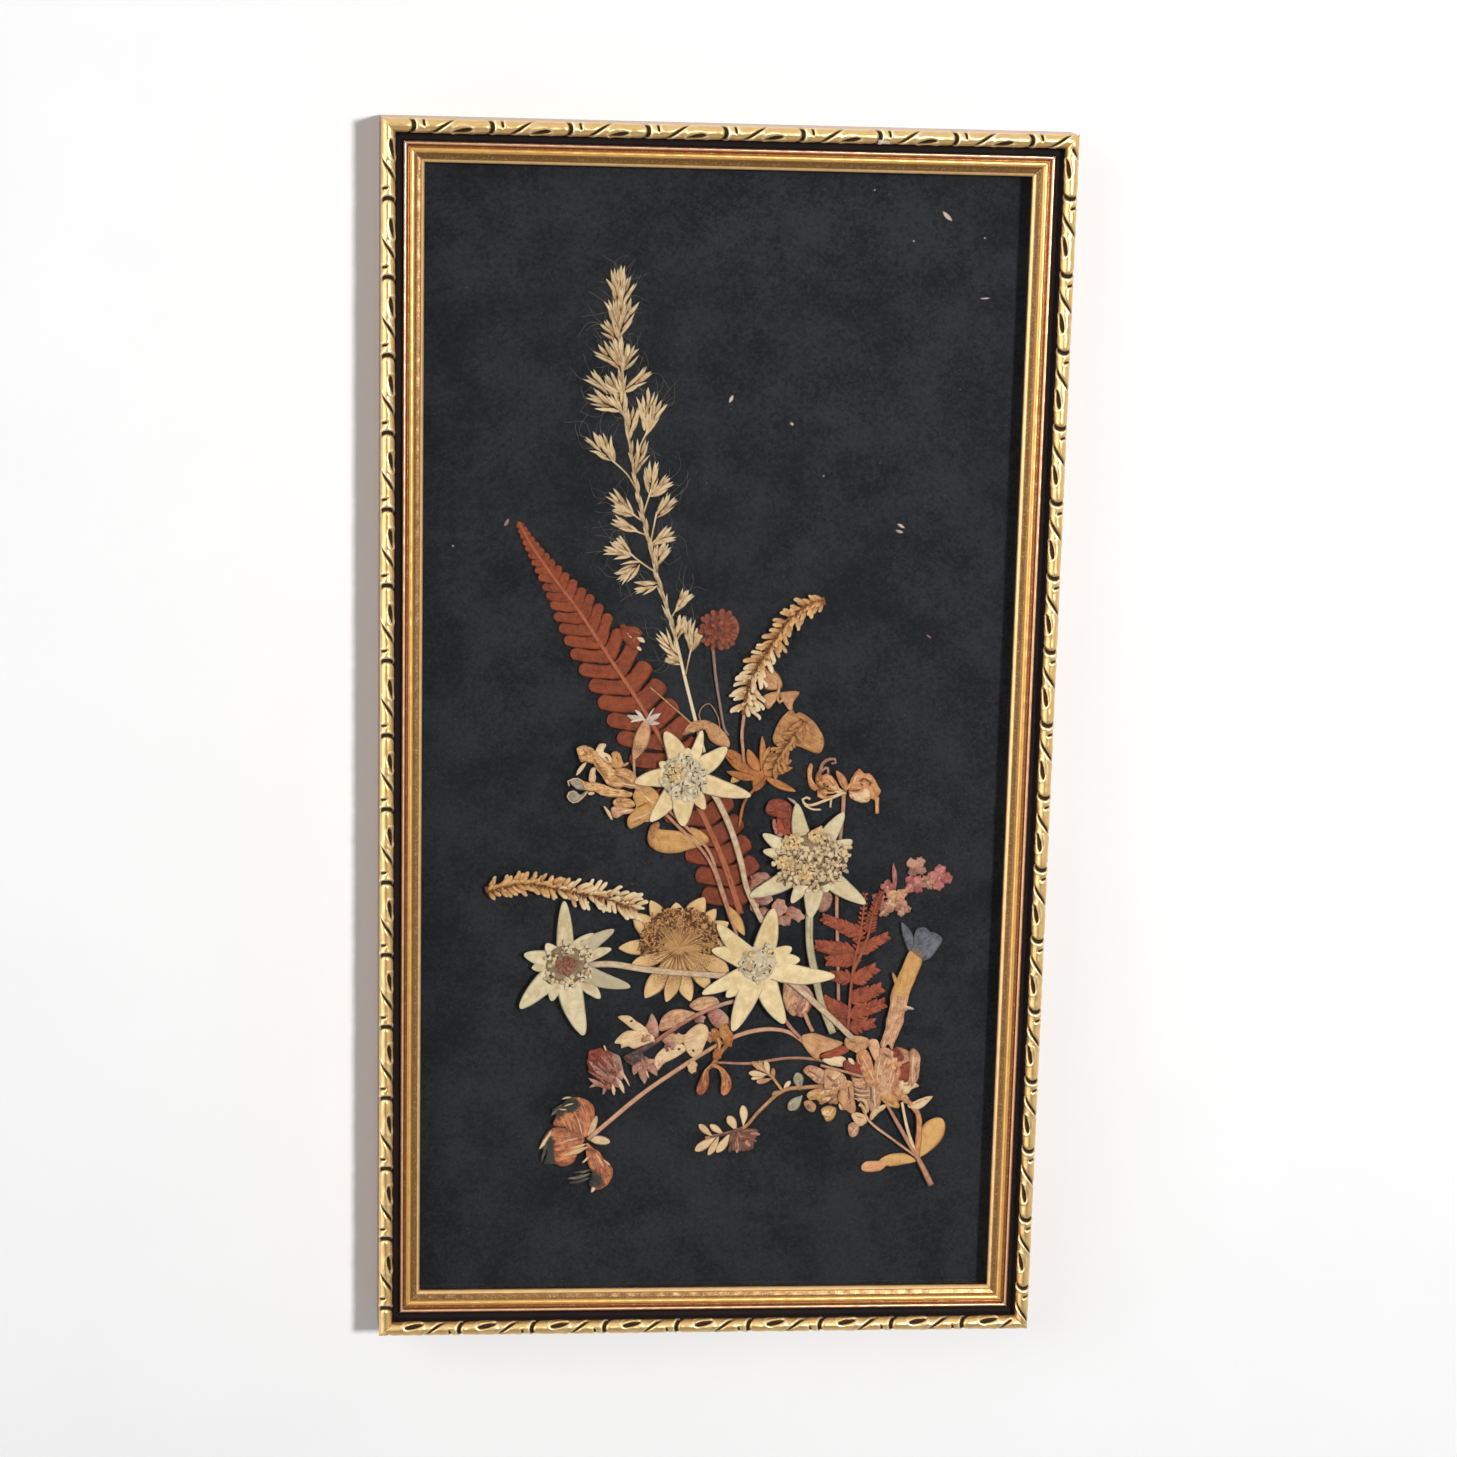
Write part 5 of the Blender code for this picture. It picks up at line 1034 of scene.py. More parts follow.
def edelweiss():
    """Four heads: felted bracts, a cushion of woolly florets and a flattened stem behind."""
    for place, (middle, bracts, cushion, stem, stem_width) in EDELWEISS.items():
        wool = CENTRE_WOOL if place in ("centre", "top") else EDELWEISS_WOOL
        star = Pressed(BRACTS, len(place))
        star.patch(blob(middle, 5.4, 5.4, 12), 0.4, 1.0, 0.1, 0.05)
        for i, (tip, width) in enumerate(bracts):
            run = np.subtract(tip, middle)
            root = np.asarray(middle) + run / np.hypot(*run) * 2.0
            star.blade(root, tip, width, rows=24, columns=10, profile=bract, thickness=0.6,
                       lift=-0.1 + 0.2 * (i % 2) + 0.05 * (i % 3), groove=0.07, cup=-0.08,
                       wrinkle=0.1, burn=0.7 if place == "left" and i in (1, 11) else 0.0)
        star.build(f"edelweiss_{place}_star", [wool], "edelweiss_felt", f"edelweiss_{place}_bracts")
        centre, radius_x, radius_y = cushion
        heads, clumps = FLORET_HEADS[place]
        florets = Pressed(FLORETS - 0.1, len(place) + 7)
        florets.patch(blob(centre, radius_x * 0.9, radius_y * 0.9, 16, 0.06), 0.3, 0.9, 0.15, 0.06,
                      lift=-0.2, finish=4 if place in ("left", "right") else 0)
        for x, y, radius in heads:
            woolly_head(florets, x, y, radius)
        for x, y, radius, finish in clumps:
            for _ in range(int(radius * radius * 5)):
                reach, angle = radius * math.sqrt(florets.chance.random()), florets.chance.uniform(0, ROUND)
                florets.lump((x + reach * math.cos(angle), y + reach * math.sin(angle)),
                             florets.chance.uniform(0.4, 0.6), 0.3, 1.5, florets.chance.uniform(0, 180), 0.4,
                             finish)
        wool = WARM_WOOL if place == "right" else GREY_WOOL
        florets.build(f"edelweiss_{place}_cushion",
                      [wool, SCALE_TIPS, FLORET_TAN, FLORET_RUSSET, FLORET_GROUND], "edelweiss_florets",
                      f"edelweiss_{place}_florets")
        stalk = Pressed(LAYER_1 if place == "right" else STEMS, 3)
        stalk.stem(stem, stem_width, stem_width * 0.9, 0.45, groove=0.12, columns=8, wrinkle=0.05)
        stalk.build(f"edelweiss_{place}_stalk", [GREEN_STEM if place == "right" else FELTED_STEM],
                    "felted_stem", f"edelweiss_{place}_stem")


# ---------------------------------------------------------------- grass and ferns

CULM = [(-31.0, 134.0), (-31.0, 122.0), (-29.8, 110.0), (-28.8, 98.0), (-26.8, 86.0), (-24.6, 74.0),
        (-21.6, 62.0), (-18.8, 51.0), (-15.6, 41.0), (-12.6, 31.0), (-9.8, 20.0), (-6.6, 8.0), (-3.5, -3.0)]
GRASS_STALKS = [
    [(-29.3, 98.0), (-33.0, 102.5)], [(-26.2, 84.0), (-22.0, 93.0)],
    [(-24.8, 75.0), (-28.0, 80.0), (-32.5, 84.0)], [(-22.8, 66.0), (-26.5, 68.5)],
    [(-21.5, 62.0), (-26.0, 63.5)], [(-18.8, 51.0), (-24.0, 54.5), (-27.0, 57.0)],
    [(-14.6, 37.0), (-12.2, 41.0)], [(-9.6, 20.5), (-8.0, 29.0)], [(-20.8, 59.0), (-19.0, 69.0)],
    [(-23.0, 68.0), (-20.5, 76.5)]
]
SPIKELETS = [
    ((-31, 128), (-32.8, 139.3)), ((-31, 130), (-30.4, 140.2)), ((-30.6, 126), (-27.9, 137.4)),
    ((-31, 121.5), (-34.4, 130.3)), ((-30.6, 118), (-35.6, 124)), ((-30.2, 121), (-27.4, 131)),
    ((-30.4, 110), (-36.8, 117.6)), ((-30.2, 111), (-32, 119.4)), ((-29.4, 110), (-26.6, 117.4)),
    ((-29.2, 103), (-34.4, 109)), ((-28.4, 104), (-21.5, 110.1)), ((-33, 102), (-39.2, 109.6)),
    ((-31, 97), (-40, 102.8)), ((-28.8, 95), (-31.6, 104.4)), ((-27.5, 89), (-26.2, 99.6)),
    ((-22.6, 92), (-24, 103)), ((-22.2, 93), (-22, 105.4)), ((-22, 91.5), (-18, 101.6)),
    ((-26, 80), (-22.4, 90)), ((-31.4, 83), (-40, 90.8)), ((-32, 83.8), (-36, 91.6)), ((-22, 74), (-20, 84)),
    ((-21, 73.5), (-15, 78.8)), ((-19.4, 67.5), (-13.9, 73.6)), ((-25.6, 68), (-33, 74.8)),
    ((-26, 66.8), (-31.8, 70.4)), ((-25, 62.6), (-32.2, 66.4)), ((-26, 55.6), (-34.4, 58)),
    ((-26.4, 56.4), (-31, 61)), ((-23.5, 53.6), (-30.6, 49)), ((-17.6, 47.5), (-25.4, 46.4)),
    ((-20.4, 59), (-13.8, 63.6)), ((-19.4, 52.4), (-16, 60)), ((-12.8, 40), (-9.0, 46.0)),
    ((-12.8, 31.6), (-10.6, 38.6)), ((-8.2, 27), (-6.6, 35)), ((-8.4, 28), (-9.8, 38)),
    ((-11.6, 25.4), (-18.4, 33.2)), ((-10.8, 23), (-15.6, 26))
]


def grass():
    """Thin culm, short stalks, spikelets of slender glumes set one above another, and fine curled awns."""
    piece = Pressed(LAYER_4, 11)
    piece.stem(CULM, 0.8, 1.15, 0.35, groove=0.05)
    for route in GRASS_STALKS:
        piece.stem(route, 0.6, 0.5)
    lines = np.vstack([smooth(route) for route in (CULM, *GRASS_STALKS)])
    for base, tip in SPIKELETS:
        root = lines[np.argmin(np.hypot(*(lines - base).T))]
        run = np.subtract(tip, root)
        length = np.hypot(*run)
        run = run / length
        glumes = piece.chance.choice((7, 8, 8, 9))
        for k in range(glumes):
            side = 1 if k % 2 else -1
            share = 0.6 * k / (glumes - 1)
            start = root + run * length * share + turned(run, 90) * side * 0.25
            lean = side * piece.chance.uniform(4, 26) if k < glumes - 1 else 0.0
            reach = min(length * (1 - share), piece.chance.uniform(4.8, 7.0))
            piece.blade(start, start + turned(run, lean) * reach, piece.chance.uniform(0.95, 1.4), belly=0.4,
                        fullness=1.0, rows=10, columns=4, thickness=0.32, lift=0.04 * k + 0.04 * side,
                        cup=-0.08, tint=piece.chance.uniform(0.1, 1.0), foot=0.3)
        for _ in range(5):
            start = root + run * length * piece.chance.uniform(0.3, 0.95)
            reach = turned(run, piece.chance.uniform(-80, 80)) * piece.chance.uniform(4.5, 9.5)
            curl = turned(reach, 90) * piece.chance.uniform(-0.35, 0.35)
            piece.stem([start, start + reach * 0.5 + curl, start + reach - curl * 0.4], 0.08, 0.05, 0.06, 10,
                       1, columns=2, wrinkle=0.02)
    culm = smooth(CULM)
    for k in range(34):
        point, run = point_and_run(culm, 0.05 + 0.7 * k / 33)
        side = 1 if k % 2 else -1
        up = turned(-run, side * piece.chance.uniform(5, 14))
        piece.blade(point, point + up * piece.chance.uniform(4.0, 6.0), 1.05, belly=0.4, fullness=1.1,
                    rows=9, columns=4, thickness=0.3, lift=0.12, tint=piece.chance.uniform(0.0, 0.6))
    piece.build("grass_spikelets", [STRAW, AWN], "straw", "grass_panicle")


FERN_RACHIS = [
    (-59.4, 65.6), (-55.0, 58.0), (-49.0, 49.5), (-42.0, 40.5), (-36.0, 31.5), (-29.0, 21.0), (-23.0, 12.0),
    (-17.5, 3.0), (-11.0, -8.0), (-5.0, -19.0), (0.0, -29.0), (4.5, -40.0), (8.5, -52.0)
]

# Along the frond from its tip, in millimetres: reach of the pinnae on each side, how steeply the right
# ones rise, and the share of each pinna that is webbed to the next
FERN_LEFT_REACH = [(0, 1.0), (10, 2.7), (21, 5.0), (32, 8.0), (42, 10.6), (65, 12.8), (80, 13.3),
                   (100, 12.2), (118, 10.8), (136, 9.5)]
FERN_RIGHT_REACH = [(0, 0.9), (10, 2.3), (21, 4.2), (32, 6.4), (42, 8.6), (55, 9.2), (70, 9.4), (118, 9.8),
                    (136, 8.5)]
FERN_RIGHT_RISE = [(0, 60), (15, 72), (45, 73), (50, 65), (58, 54), (65, 47), (75, 40), (136, 31)]
FERN_WEB = [(0, 0.72), (16, 0.62), (30, 0.42), (45, 0.26), (62, 0.14), (136, 0.12)]


def large_fern():
    """Russet frond: blunt straps, level on the left and rising on the right, webbed towards the tip."""
    piece = Pressed(LAYER_3, 21)
    rachis = smooth(FERN_RACHIS)
    length = np.hypot(*np.diff(rachis, axis=0).T).sum()
    place = 1.2
    k = 0
    while place < length - 2.0:
        spacing = min(1.7 + 0.075 * place, 6.6)
        point, run = point_and_run(rachis, place / length)
        web = np.interp(place, *zip(*FERN_WEB))
        rise = np.interp(place, *zip(*FERN_RIGHT_RISE))
        for reaches, lean in ((FERN_LEFT_REACH, 180 - 3), (FERN_RIGHT_REACH, rise)):
            direction = turned((1.0, 0.0), lean + piece.chance.uniform(-2, 2))
            reach = np.interp(place, *zip(*reaches)) * piece.chance.uniform(0.96, 1.03)
            full = spacing * abs(run[0] * direction[1] - run[1] * direction[0])
            slit = 0.2 + 0.15 * min(place / 60, 1.0)
            web = min(web + 0.12 * (lean < 90), 0.8)
            tip = point + direction * reach
            hook = np.array([0.0, 0.03 * reach])
            curve = smooth([point - direction * 0.3, (point + tip) / 2 - hook, tip + hook], 8)
            shares = 1 - (1 - np.linspace(0, 1, 30)) ** 1.5
            opened = np.clip((shares - web) / 0.07, 0, 1)
            blunt = np.clip((1.0 - shares) / 0.12, 0, 1) ** 0.4
            half = (full + 0.3 - (slit + 0.3) * opened) / 2 * blunt + 0.02
            piece.ribbon(along_route(curve, shares), half, 0.2, 0, 8, lift=0.05 * (k % 2), groove=0.07,
                         wrinkle=0.09, ragged=0.13, tint=0.66 - 0.32 * place / length
                         + piece.chance.uniform(-0.14, 0.14))
        place += spacing
        k += 1
    piece.stem(FERN_RACHIS, 0.7, 2.2, 0.34, finish=1, groove=0.14, lift=0.1, columns=6)
    piece.patch([
        (-29.4, 35.3), (-28.1, 35.8), (-26.9, 35.1), (-25.0, 35.2), (-23.6, 34.4), (-22.5, 33.2),
        (-23.3, 31.9), (-23.2, 30.4), (-24.2, 28.2), (-26.1, 28.6), (-27.6, 30.3), (-28.8, 32.0)
    ], spacing=0.5, wrinkle=0.2, size=1.8, lift=0.14)
    piece.lobes([(-24.6, 33.4, 1.3, 1.0, -30, 0), (-26.4, 33.8, 1.1, 1.0, 60, 1),
                 (-25.2, 31.4, 1.2, 0.9, -40, 1), (-26.6, 31.4, 1.0, 0.8, 50, 0),
                 (-24.6, 29.6, 0.9, 0.8, 0, 0)])
    piece.blades([((-24.2, 31.8), (-21.8, 30.4), 1.4, 2), ((-24.2, 29.2), (-22.8, 27.9), 1.0, 2),
                  ((-25.6, 34.0), (-23.0, 32.8), 0.7, 1), ((-27.0, 33.2), (-25.6, 31.6), 0.5, 2)],
                 raised=0.36)
    piece.build("large_fern_pinnae", [FERN, FERN_RIB, CREAM_LEAF], "russet_fern", "large_fern_frond")


def small_fern():
    """Small red-brown fern with finely toothed pinnae."""
    piece = Pressed(LAYER_2, 23)
    fronds = [((42.0, -89.0), (43.0, -70.0), (45.0, -58.0), (46.0, -45.5)),
              ((43.0, -70.0), (47.0, -60.0), (48.5, -52.0), (51.0, -45.0))]
    pinnae = [
        ((45.6, -58.5), (33.4, -53.0), 4.8), ((43.5, -64.0), (31.6, -61.4), 5.6),
        ((43.5, -66.0), (35.0, -66.5), 5.0), ((42.5, -72.0), (36.4, -71.0), 4.6),
        ((44.5, -63.5), (53.4, -58.6), 4.4), ((43.0, -73.0), (50.2, -68.6), 5.2),
        ((42.5, -79.0), (52.0, -74.8), 5.6), ((42.5, -83.5), (53.0, -79.6), 5.6),
        ((42.0, -84.0), (34.4, -78.6), 5.4), ((42.5, -87.0), (50.0, -86.0), 5.4),
        ((41.5, -87.0), (36.6, -84.4), 4.0)
    ]
    for base, tip, width in pinnae:
        base, tip = np.array(base), np.array(tip)
        run = tip - base
        length = np.hypot(*run)
        run = run / length
        teeth = max(4, int(length / 1.15))
        lift = piece.chance.uniform(-0.1, 0.1)
        for k in range(teeth):
            share = (k + 0.4) / teeth
            root = base + run * length * share
            reach = width / 2 * (1 - 0.55 * share) * 1.25 + 0.4
            for lean in (48, -48):
                end = root + turned(run, lean + piece.chance.uniform(-8, 8)) * reach
                piece.blade(root - run * 0.5, end, 1.55, belly=0.45, fullness=0.6, rows=8, columns=4,
                            thickness=0.18, lift=lift + 0.03 * (k % 2), foot=0.7)
        piece.blade(base, tip, width * 0.55, belly=0.35, fullness=0.8, lift=lift, thickness=0.2, groove=0.05)
    for route in fronds:
        piece.stem(route, 1.2, 0.5, 0.3, finish=1, lift=0.1)
        curve = smooth(route)
        for k in range(15):
            point, run = point_and_run(curve, 0.5 + 0.49 * k / 14)
            for lean in (60, -60):
                piece.blade(point, point + turned(run, lean) * (2.5 - 0.1 * k), 0.95, rows=7, columns=3,
                            foot=0.7, thickness=0.18)
    piece.build("small_fern_pinnae", [SMALL_FERN, FERN_RIB], "russet_fern", "small_fern_frond")


# ---------------------------------------------------------------- spikes, clover, masterwort

def spike(name, node, level, axis, florets, reach, foot_route=None, brown=False):
    """A flower spike: curled florets with pale tips on both sides of the axis, loose towards the foot, each
    darkened at its base with painted shade.
    """
    piece = Pressed(level, florets)
    curve = smooth(axis)
    piece.stem(axis, 2.6, 2.0, 0.3, finish=4, lift=-0.12)
    if foot_route:
        piece.stem(foot_route, 1.1, 1.0, 0.3, finish=2)
    for k in range(florets):
        share = (k + 0.5) / florets
        point, run = point_and_run(curve, 0.01 + 0.96 * share)
        side = 1 if k % 2 else -1
        lean = side * piece.chance.uniform(28, 78)
        length = reach * (0.68 + 0.27 * share) * piece.chance.uniform(0.7, 1.05)
        finish = 3 if brown else (1 if share > 0.55 + piece.chance.uniform(-0.15, 0.15) else 0)
        start = point + turned(run, 90) * piece.chance.uniform(-0.5, 0.5)
        end = start + turned(run, lean) * length
        curl = turned(run, lean - side * 60) * length * piece.chance.uniform(0.10, 0.3)
        route = [start, (start + end) / 2 - curl * 0.4, end, end + curl * 0.7]
        width = piece.chance.uniform(1.1, 1.7)
        shares = (1 - np.cos(np.pi * np.linspace(0, 1, 12))) / 2
        # Painted shade: each floret darkens from its base to its middle, near the axis where the others lie
        # over it.
        shaded = 0.85 * np.clip(1 - shares / 0.5, 0, 1)
        piece.ribbon(along_route(smooth(route), shares), width / 2 * finger(shares), 0.34, finish, 4,
                     lift=piece.chance.uniform(-0.05, 0.2), cup=0.08, tint=piece.chance.uniform(0.0, 0.9),
                     burn=shaded)
        if k % 2 == 0:
            piece.blade(point, point + turned(run, -lean * 0.45) * length * 0.75, width * 0.8, finish=finish,
                        rows=12, columns=4, lift=0.2, profile=finger, burn=0.7 * shaded)
    piece.build(name, [OCHRE, PALE_OCHRE, PINK_STEM, BROWN_FLORET, SPIKE_CORE], "ochre_spike", node)


def spikes():
    """The three ochre and brown flower spikes."""
    spike("upper_spike_florets", "upper_flower_spike", LAYER_1,
          [(31.2, 43.4), (27.0, 42.2), (22.0, 38.6), (18.0, 33.5), (15.0, 28.5), (12.0, 23.5),
           (9.6, 18.0), (8.0, 9.0)], 80, 5.4, [(8.0, 9.0), (7.5, 3.0), (8.0, -2.0), (8.3, -5.5)])
    spike("left_spike_florets", "left_flower_spike", STEMS,
          [(-68.0, -44.6), (-62.0, -43.0), (-55.0, -42.2), (-48.0, -43.4), (-41.0, -45.0),
           (-34.0, -46.0), (-28.0, -48.0), (-22.0, -50.4)], 78, 5.2)
    spike("small_brown_florets", "small_brown_spike", LAYER_1,
          [(26.0, 7.6), (24.2, 4.4), (21.6, 1.0), (19.2, -3.0), (17.0, -7.4)], 40, 3.9, brown=True)


def clover():
    """Red clover: shingled florets around a round head, with painted shade on the core and on each floret's
    base, and a thin stem.
    """
    piece = Pressed(LAYER_3, 31)
    centre = np.array([0.0, 34.2])
    # The core under the florets takes the darkest tint, as painted shade in the gaps between them.
    piece.patch(blob((0.4, 34.4), 5.4, 5.8, 12, 0.08), 0.3, 1.0, 0.1, tint=0.1, lift=-0.24)
    for ring, (radius, count) in enumerate(((6.2, 17), (4.6, 14), (3.0, 10), (1.4, 6))):
        for i in range(count):
            angle = 360 * (i + 0.5 * (ring % 2)) / count + piece.chance.uniform(-6, 6)
            out = turned((1.0, 0.0), angle)
            tip = centre + out * radius * piece.chance.uniform(0.84, 1.06) * np.array([1.0, 1.06])
            # Painted shade: each floret darkens from its base towards its middle, where the ring inside it
            # lies over it.
            piece.blade(centre + out * max(radius - 3.4, 0.1), tip, piece.chance.uniform(1.6, 2.3),
                        belly=0.7, fullness=0.45, rows=14, columns=6, thickness=0.3, lift=0.16 * ring,
                        groove=0.14, cup=-0.16, ragged=0.15, wrinkle=0.2,
                        tint=piece.chance.uniform(0.0, 1.0),
                        burn=0.5 * np.clip(1 - np.linspace(0, 1, 14) / 0.7, 0, 1))
    piece.stem([(-1.6, 28.5), (-0.6, 20.0), (0.8, 12.0), (2.2, 5.0), (3.6, 2.6)], 0.95, 0.85, finish=1)
    piece.build("clover_florets", [CLOVER, CLOVER_STEM], "clover_red", "clover_head")


def masterwort():
    """Papery bracts, and on them a fan of rays that carry a crust of curled florets."""
    middle = np.array([-10.0, -62.5])
    bracts = [
        ((-28.0, -62.5), 5.0), ((-23.8, -51.8), 6.4), ((-18.8, -47.8), 5.0), ((-11.0, -48.4), 6.0),
        ((-2.6, -46.8), 6.4), ((1.0, -50.4), 5.0), ((5.0, -54.6), 5.4), ((6.6, -62.4), 5.4),
        ((5.4, -70.2), 6.4), ((-0.4, -75.4), 4.8), ((-6.0, -79.0), 5.0), ((-13.4, -79.2), 4.6),
        ((-19.8, -78.0), 5.8), ((-24.0, -67.4), 4.4)
    ]
    ring = Pressed(LAYER_2, 41)
    for i, (tip, width) in enumerate(bracts):
        run = np.subtract(tip, middle)
        ring.blade(middle + run / np.hypot(*run) * 1.2, tip, width, belly=0.62, fullness=0.75, rows=20,
                   columns=8, thickness=0.2, lift=0.12 * (i % 2) - 0.06, groove=0.05, wrinkle=0.1,
                   burn=np.clip(1 - abs(np.linspace(0, 1, 20) - 0.5) * 3.5, 0, 1) * 0.55)
    ring.build("masterwort_papery_bracts", [PAPERY], "golden_leaf", "masterwort_bracts")
    umbel = Pressed(LAYER_1, 43)
    umbel.lump(middle, 1.1, 0.4)
    for k in range(54):
        angle = -15 + 210 * k / 53 + umbel.chance.uniform(-3, 3)
        out = turned((1.0, 0.0), angle)
        reach = umbel.chance.uniform(5.5, 10.0)
        umbel.stem([middle, middle + out * reach * 0.5, middle + out * reach], 0.45, 0.35, 0.25, 7,
                   columns=3, lift=umbel.chance.uniform(-0.05, 0.1), tint=umbel.chance.uniform(0.3, 0.9))
    for k in range(12):
        out = turned((1.0, 0.0), 195 + 12.5 * k)
        umbel.stem([middle, middle + out * 3.5, middle + out * 7.2], 0.5, 0.2, 0.2, 7, columns=3)
    for _ in range(430):
        angle = umbel.chance.uniform(-18, 198)
        share = umbel.chance.random() ** 0.6
        reach = 5.2 + 6.4 * share
        spot = np.array([-9.8, -61.0]) + turned((1.0, 0.0), angle) * np.array([1.02, 0.94]) * reach
        end = spot + turned((1.0, 0.0), umbel.chance.uniform(0, 360)) * umbel.chance.uniform(0.9, 1.7)
        bow = turned(end - spot, 90) * umbel.chance.uniform(-0.7, 0.7)
        umbel.stem([spot, (spot + end) / 2 + bow, end], umbel.chance.uniform(0.45, 0.75), 0.4, 0.34, 6, 1,
                   columns=3, lift=umbel.chance.uniform(0.0, 0.34), wrinkle=0.0, tint=umbel.chance.random(),
                   burn=umbel.chance.choice((0.0, 0.0, 0.9)))
    umbel.build("masterwort_rays_and_florets", [UMBEL, UMBEL_CRUST], "tan_leaf", "masterwort_umbel")


# ---------------------------------------------------------------- leaves and sprigs

def folded_leaves():
    """Leafy stalk and its folded scraps of leaf."""
    stalk = Pressed(LAYER_3, 51)
    stalk.blade((9.0, 24.0), (19.2, 17.4), 6.4, belly=0.6, fullness=0.7, rows=18, columns=8, groove=0.08)
    stalk.patch([(13.6, 14.6), (18.8, 16.0), (17.0, 12.6), (15.0, 10.6)], lift=0.1)
    stalk.patch([(18.6, 15.6), (24.4, 16.0), (22.6, 12.6), (22.4, 9.4), (19.6, 13.0)], lift=0.05)
    stalk.stem([(18.4, 18.5), (18.0, 13.0), (19.8, 13.6)], 1.0, 1.0, lift=0.15)
    stalk.build("folded_leaves", [TAN_LEAF], "tan_leaf", "folded_leaf_stalk")


def heart_leaf():
    """Heart-shaped leaf, browned in its middle."""
    heart = Pressed(LAYER_2, 53)
    heart.patch([
        (22.1, 10.5), (19.2, 8.1), (17.2, 3.8), (17.0, 0.8), (19.6, -0.9), (24.2, -0.4), (28.3, -2.1),
        (31.2, -2.3), (32.2, 1.4), (30.0, 5.8), (27.4, 8.4), (24.6, 9.9), (23.4, 9.4)
    ], spacing=0.6, crown=0.12, wrinkle=0.22, size=2.6, axis=(1.0, -0.6), burn=lambda x,
        y: 0.8 * np.exp(-((x - 23.4) / 3.4) ** 2 - ((y - 3.6) / 3.8) ** 2))
    heart.stem([(22.4, 9.8), (24.2, 5.0), (27.6, 0.6), (30.6, -1.8)], 0.5, 0.3, 0.2, lift=0.16)
    heart.build("heart_leaf", [HEART], "golden_leaf", "heart_shaped_leaf")


def narrow_leaves():
    """Orange-brown sprig of narrow leaves."""
    sprig = Pressed(LAYER_2, 55)
    sprig.blades([
        ((13.2, -9.4), (2.4, -3.0), 3.4), ((12.4, -10.4), (3.2, -8.2), 2.6),
        ((13.0, -8.0), (9.4, -1.4), 3.6), ((14.2, -9.0), (13.6, 2.6), 2.4),
        ((14.6, -9.0), (17.0, -1.6), 2.4), ((14.6, -9.4), (23.0, -7.0), 2.8),
        ((15.0, -10.0), (24.2, -14.2), 2.6), ((13.4, -8.0), (12.0, -14.2), 4.4)
    ], fullness=0.7, groove=0.08, belly=0.45)
    sprig.stem([(15.4, -9.8), (11.6, -13.6), (8.6, -18.0), (7.4, -25.0)], 1.0, 0.9)
    sprig.blades([
        ((9.0, -6.0), (2.0, -1.6), 3.4), ((8.0, -9.0), (4.6, -11.6), 2.6, 1),
        ((13.8, -5.0), (16.0, -0.6), 1.8, 1), ((19.0, -7.6), (22.6, -4.6), 2.2)
    ], fullness=0.6, groove=0.1, wrinkle=0.16, ragged=0.15)
    sprig.build("narrow_leaves", [ORANGE_BROWN, GOLDEN], "orange_brown_leaf", "narrow_leaved_sprig")


def curved_leaf():
    """Curved tan leaf and its fine tendrils."""
    curved = Pressed(LAYER_2, 57)
    curved.sheets([
        (0, (-10.2, 2.8), (-7.9, 6.4), (-4.2, 7.3), (-1.6, 6.6), (-3.4, 4.6), (-5.4, 4.2), (-7.2, 3.4)),
        (0, (-3.6, 6.6), (0.0, 5.9), (3.4, 2.1), (3.9, -0.8), (1.4, -0.6), (-1.0, 0.4), (-2.6, 2.4))
    ], wrinkle=0.2, axis=(1.0, -0.5))
    curved.stem([(-9.4, 3.4), (-6.4, 5.2), (-2.4, 4.8), (1.0, 2.0), (2.8, -0.6)], 0.7, 0.5, lift=0.12)
    curved.stem([(-2.6, 3.0), (-5.4, 9.0), (-2.6, 12.4), (0.4, 8.0), (1.0, 3.0)], 0.35, 0.3, lift=0.1)
    curved.stem([(-20.0, 17.0), (-13.0, 11.0), (-5.0, 4.0)], 0.5, 0.5, lift=-0.1)
    curved.build("curved_leaf", [TAN_LEAF], "tan_leaf", "curved_tan_leaf")


def petalled_pod():
    """Elliptic leaf with white petals at its tip."""
    pod = Pressed(LAYER_2, 59)
    pod.blade((-24.6, -5.0), (-20.8, 7.8), 4.8, fullness=0.75, rows=18, columns=8, groove=0.06,
              burn=np.clip(1 - abs(np.linspace(0, 1, 18) - 0.35) * 4, 0, 1) * 0.5)
    pod.stem([(-24.5, -4.6), (-24.2, -10.0)], 0.9, 0.9, finish=1)
    for base, tip, width in [((-21.2, 7.2), (-26.8, 8.6), 2.2), ((-21.2, 6.6), (-16.8, 9.2), 2.2),
                             ((-21.2, 6.6), (-17.0, 6.2), 1.8), ((-21.4, 6.8), (-24.4, 10.2), 1.4),
                             ((-21.0, 7.0), (-18.6, 11.0), 0.7), ((-21.2, 7.4), (-25.8, 6.6), 1.2)]:
        pod.blade(base, tip, width, finish=2, lift=0.2, wrinkle=0.2, ragged=0.25)
    pod.build("pod_and_white_petals", [TAN_LEAF, PINK_STEM, WHITE_PETAL], "tan_leaf", "white_petalled_pod")


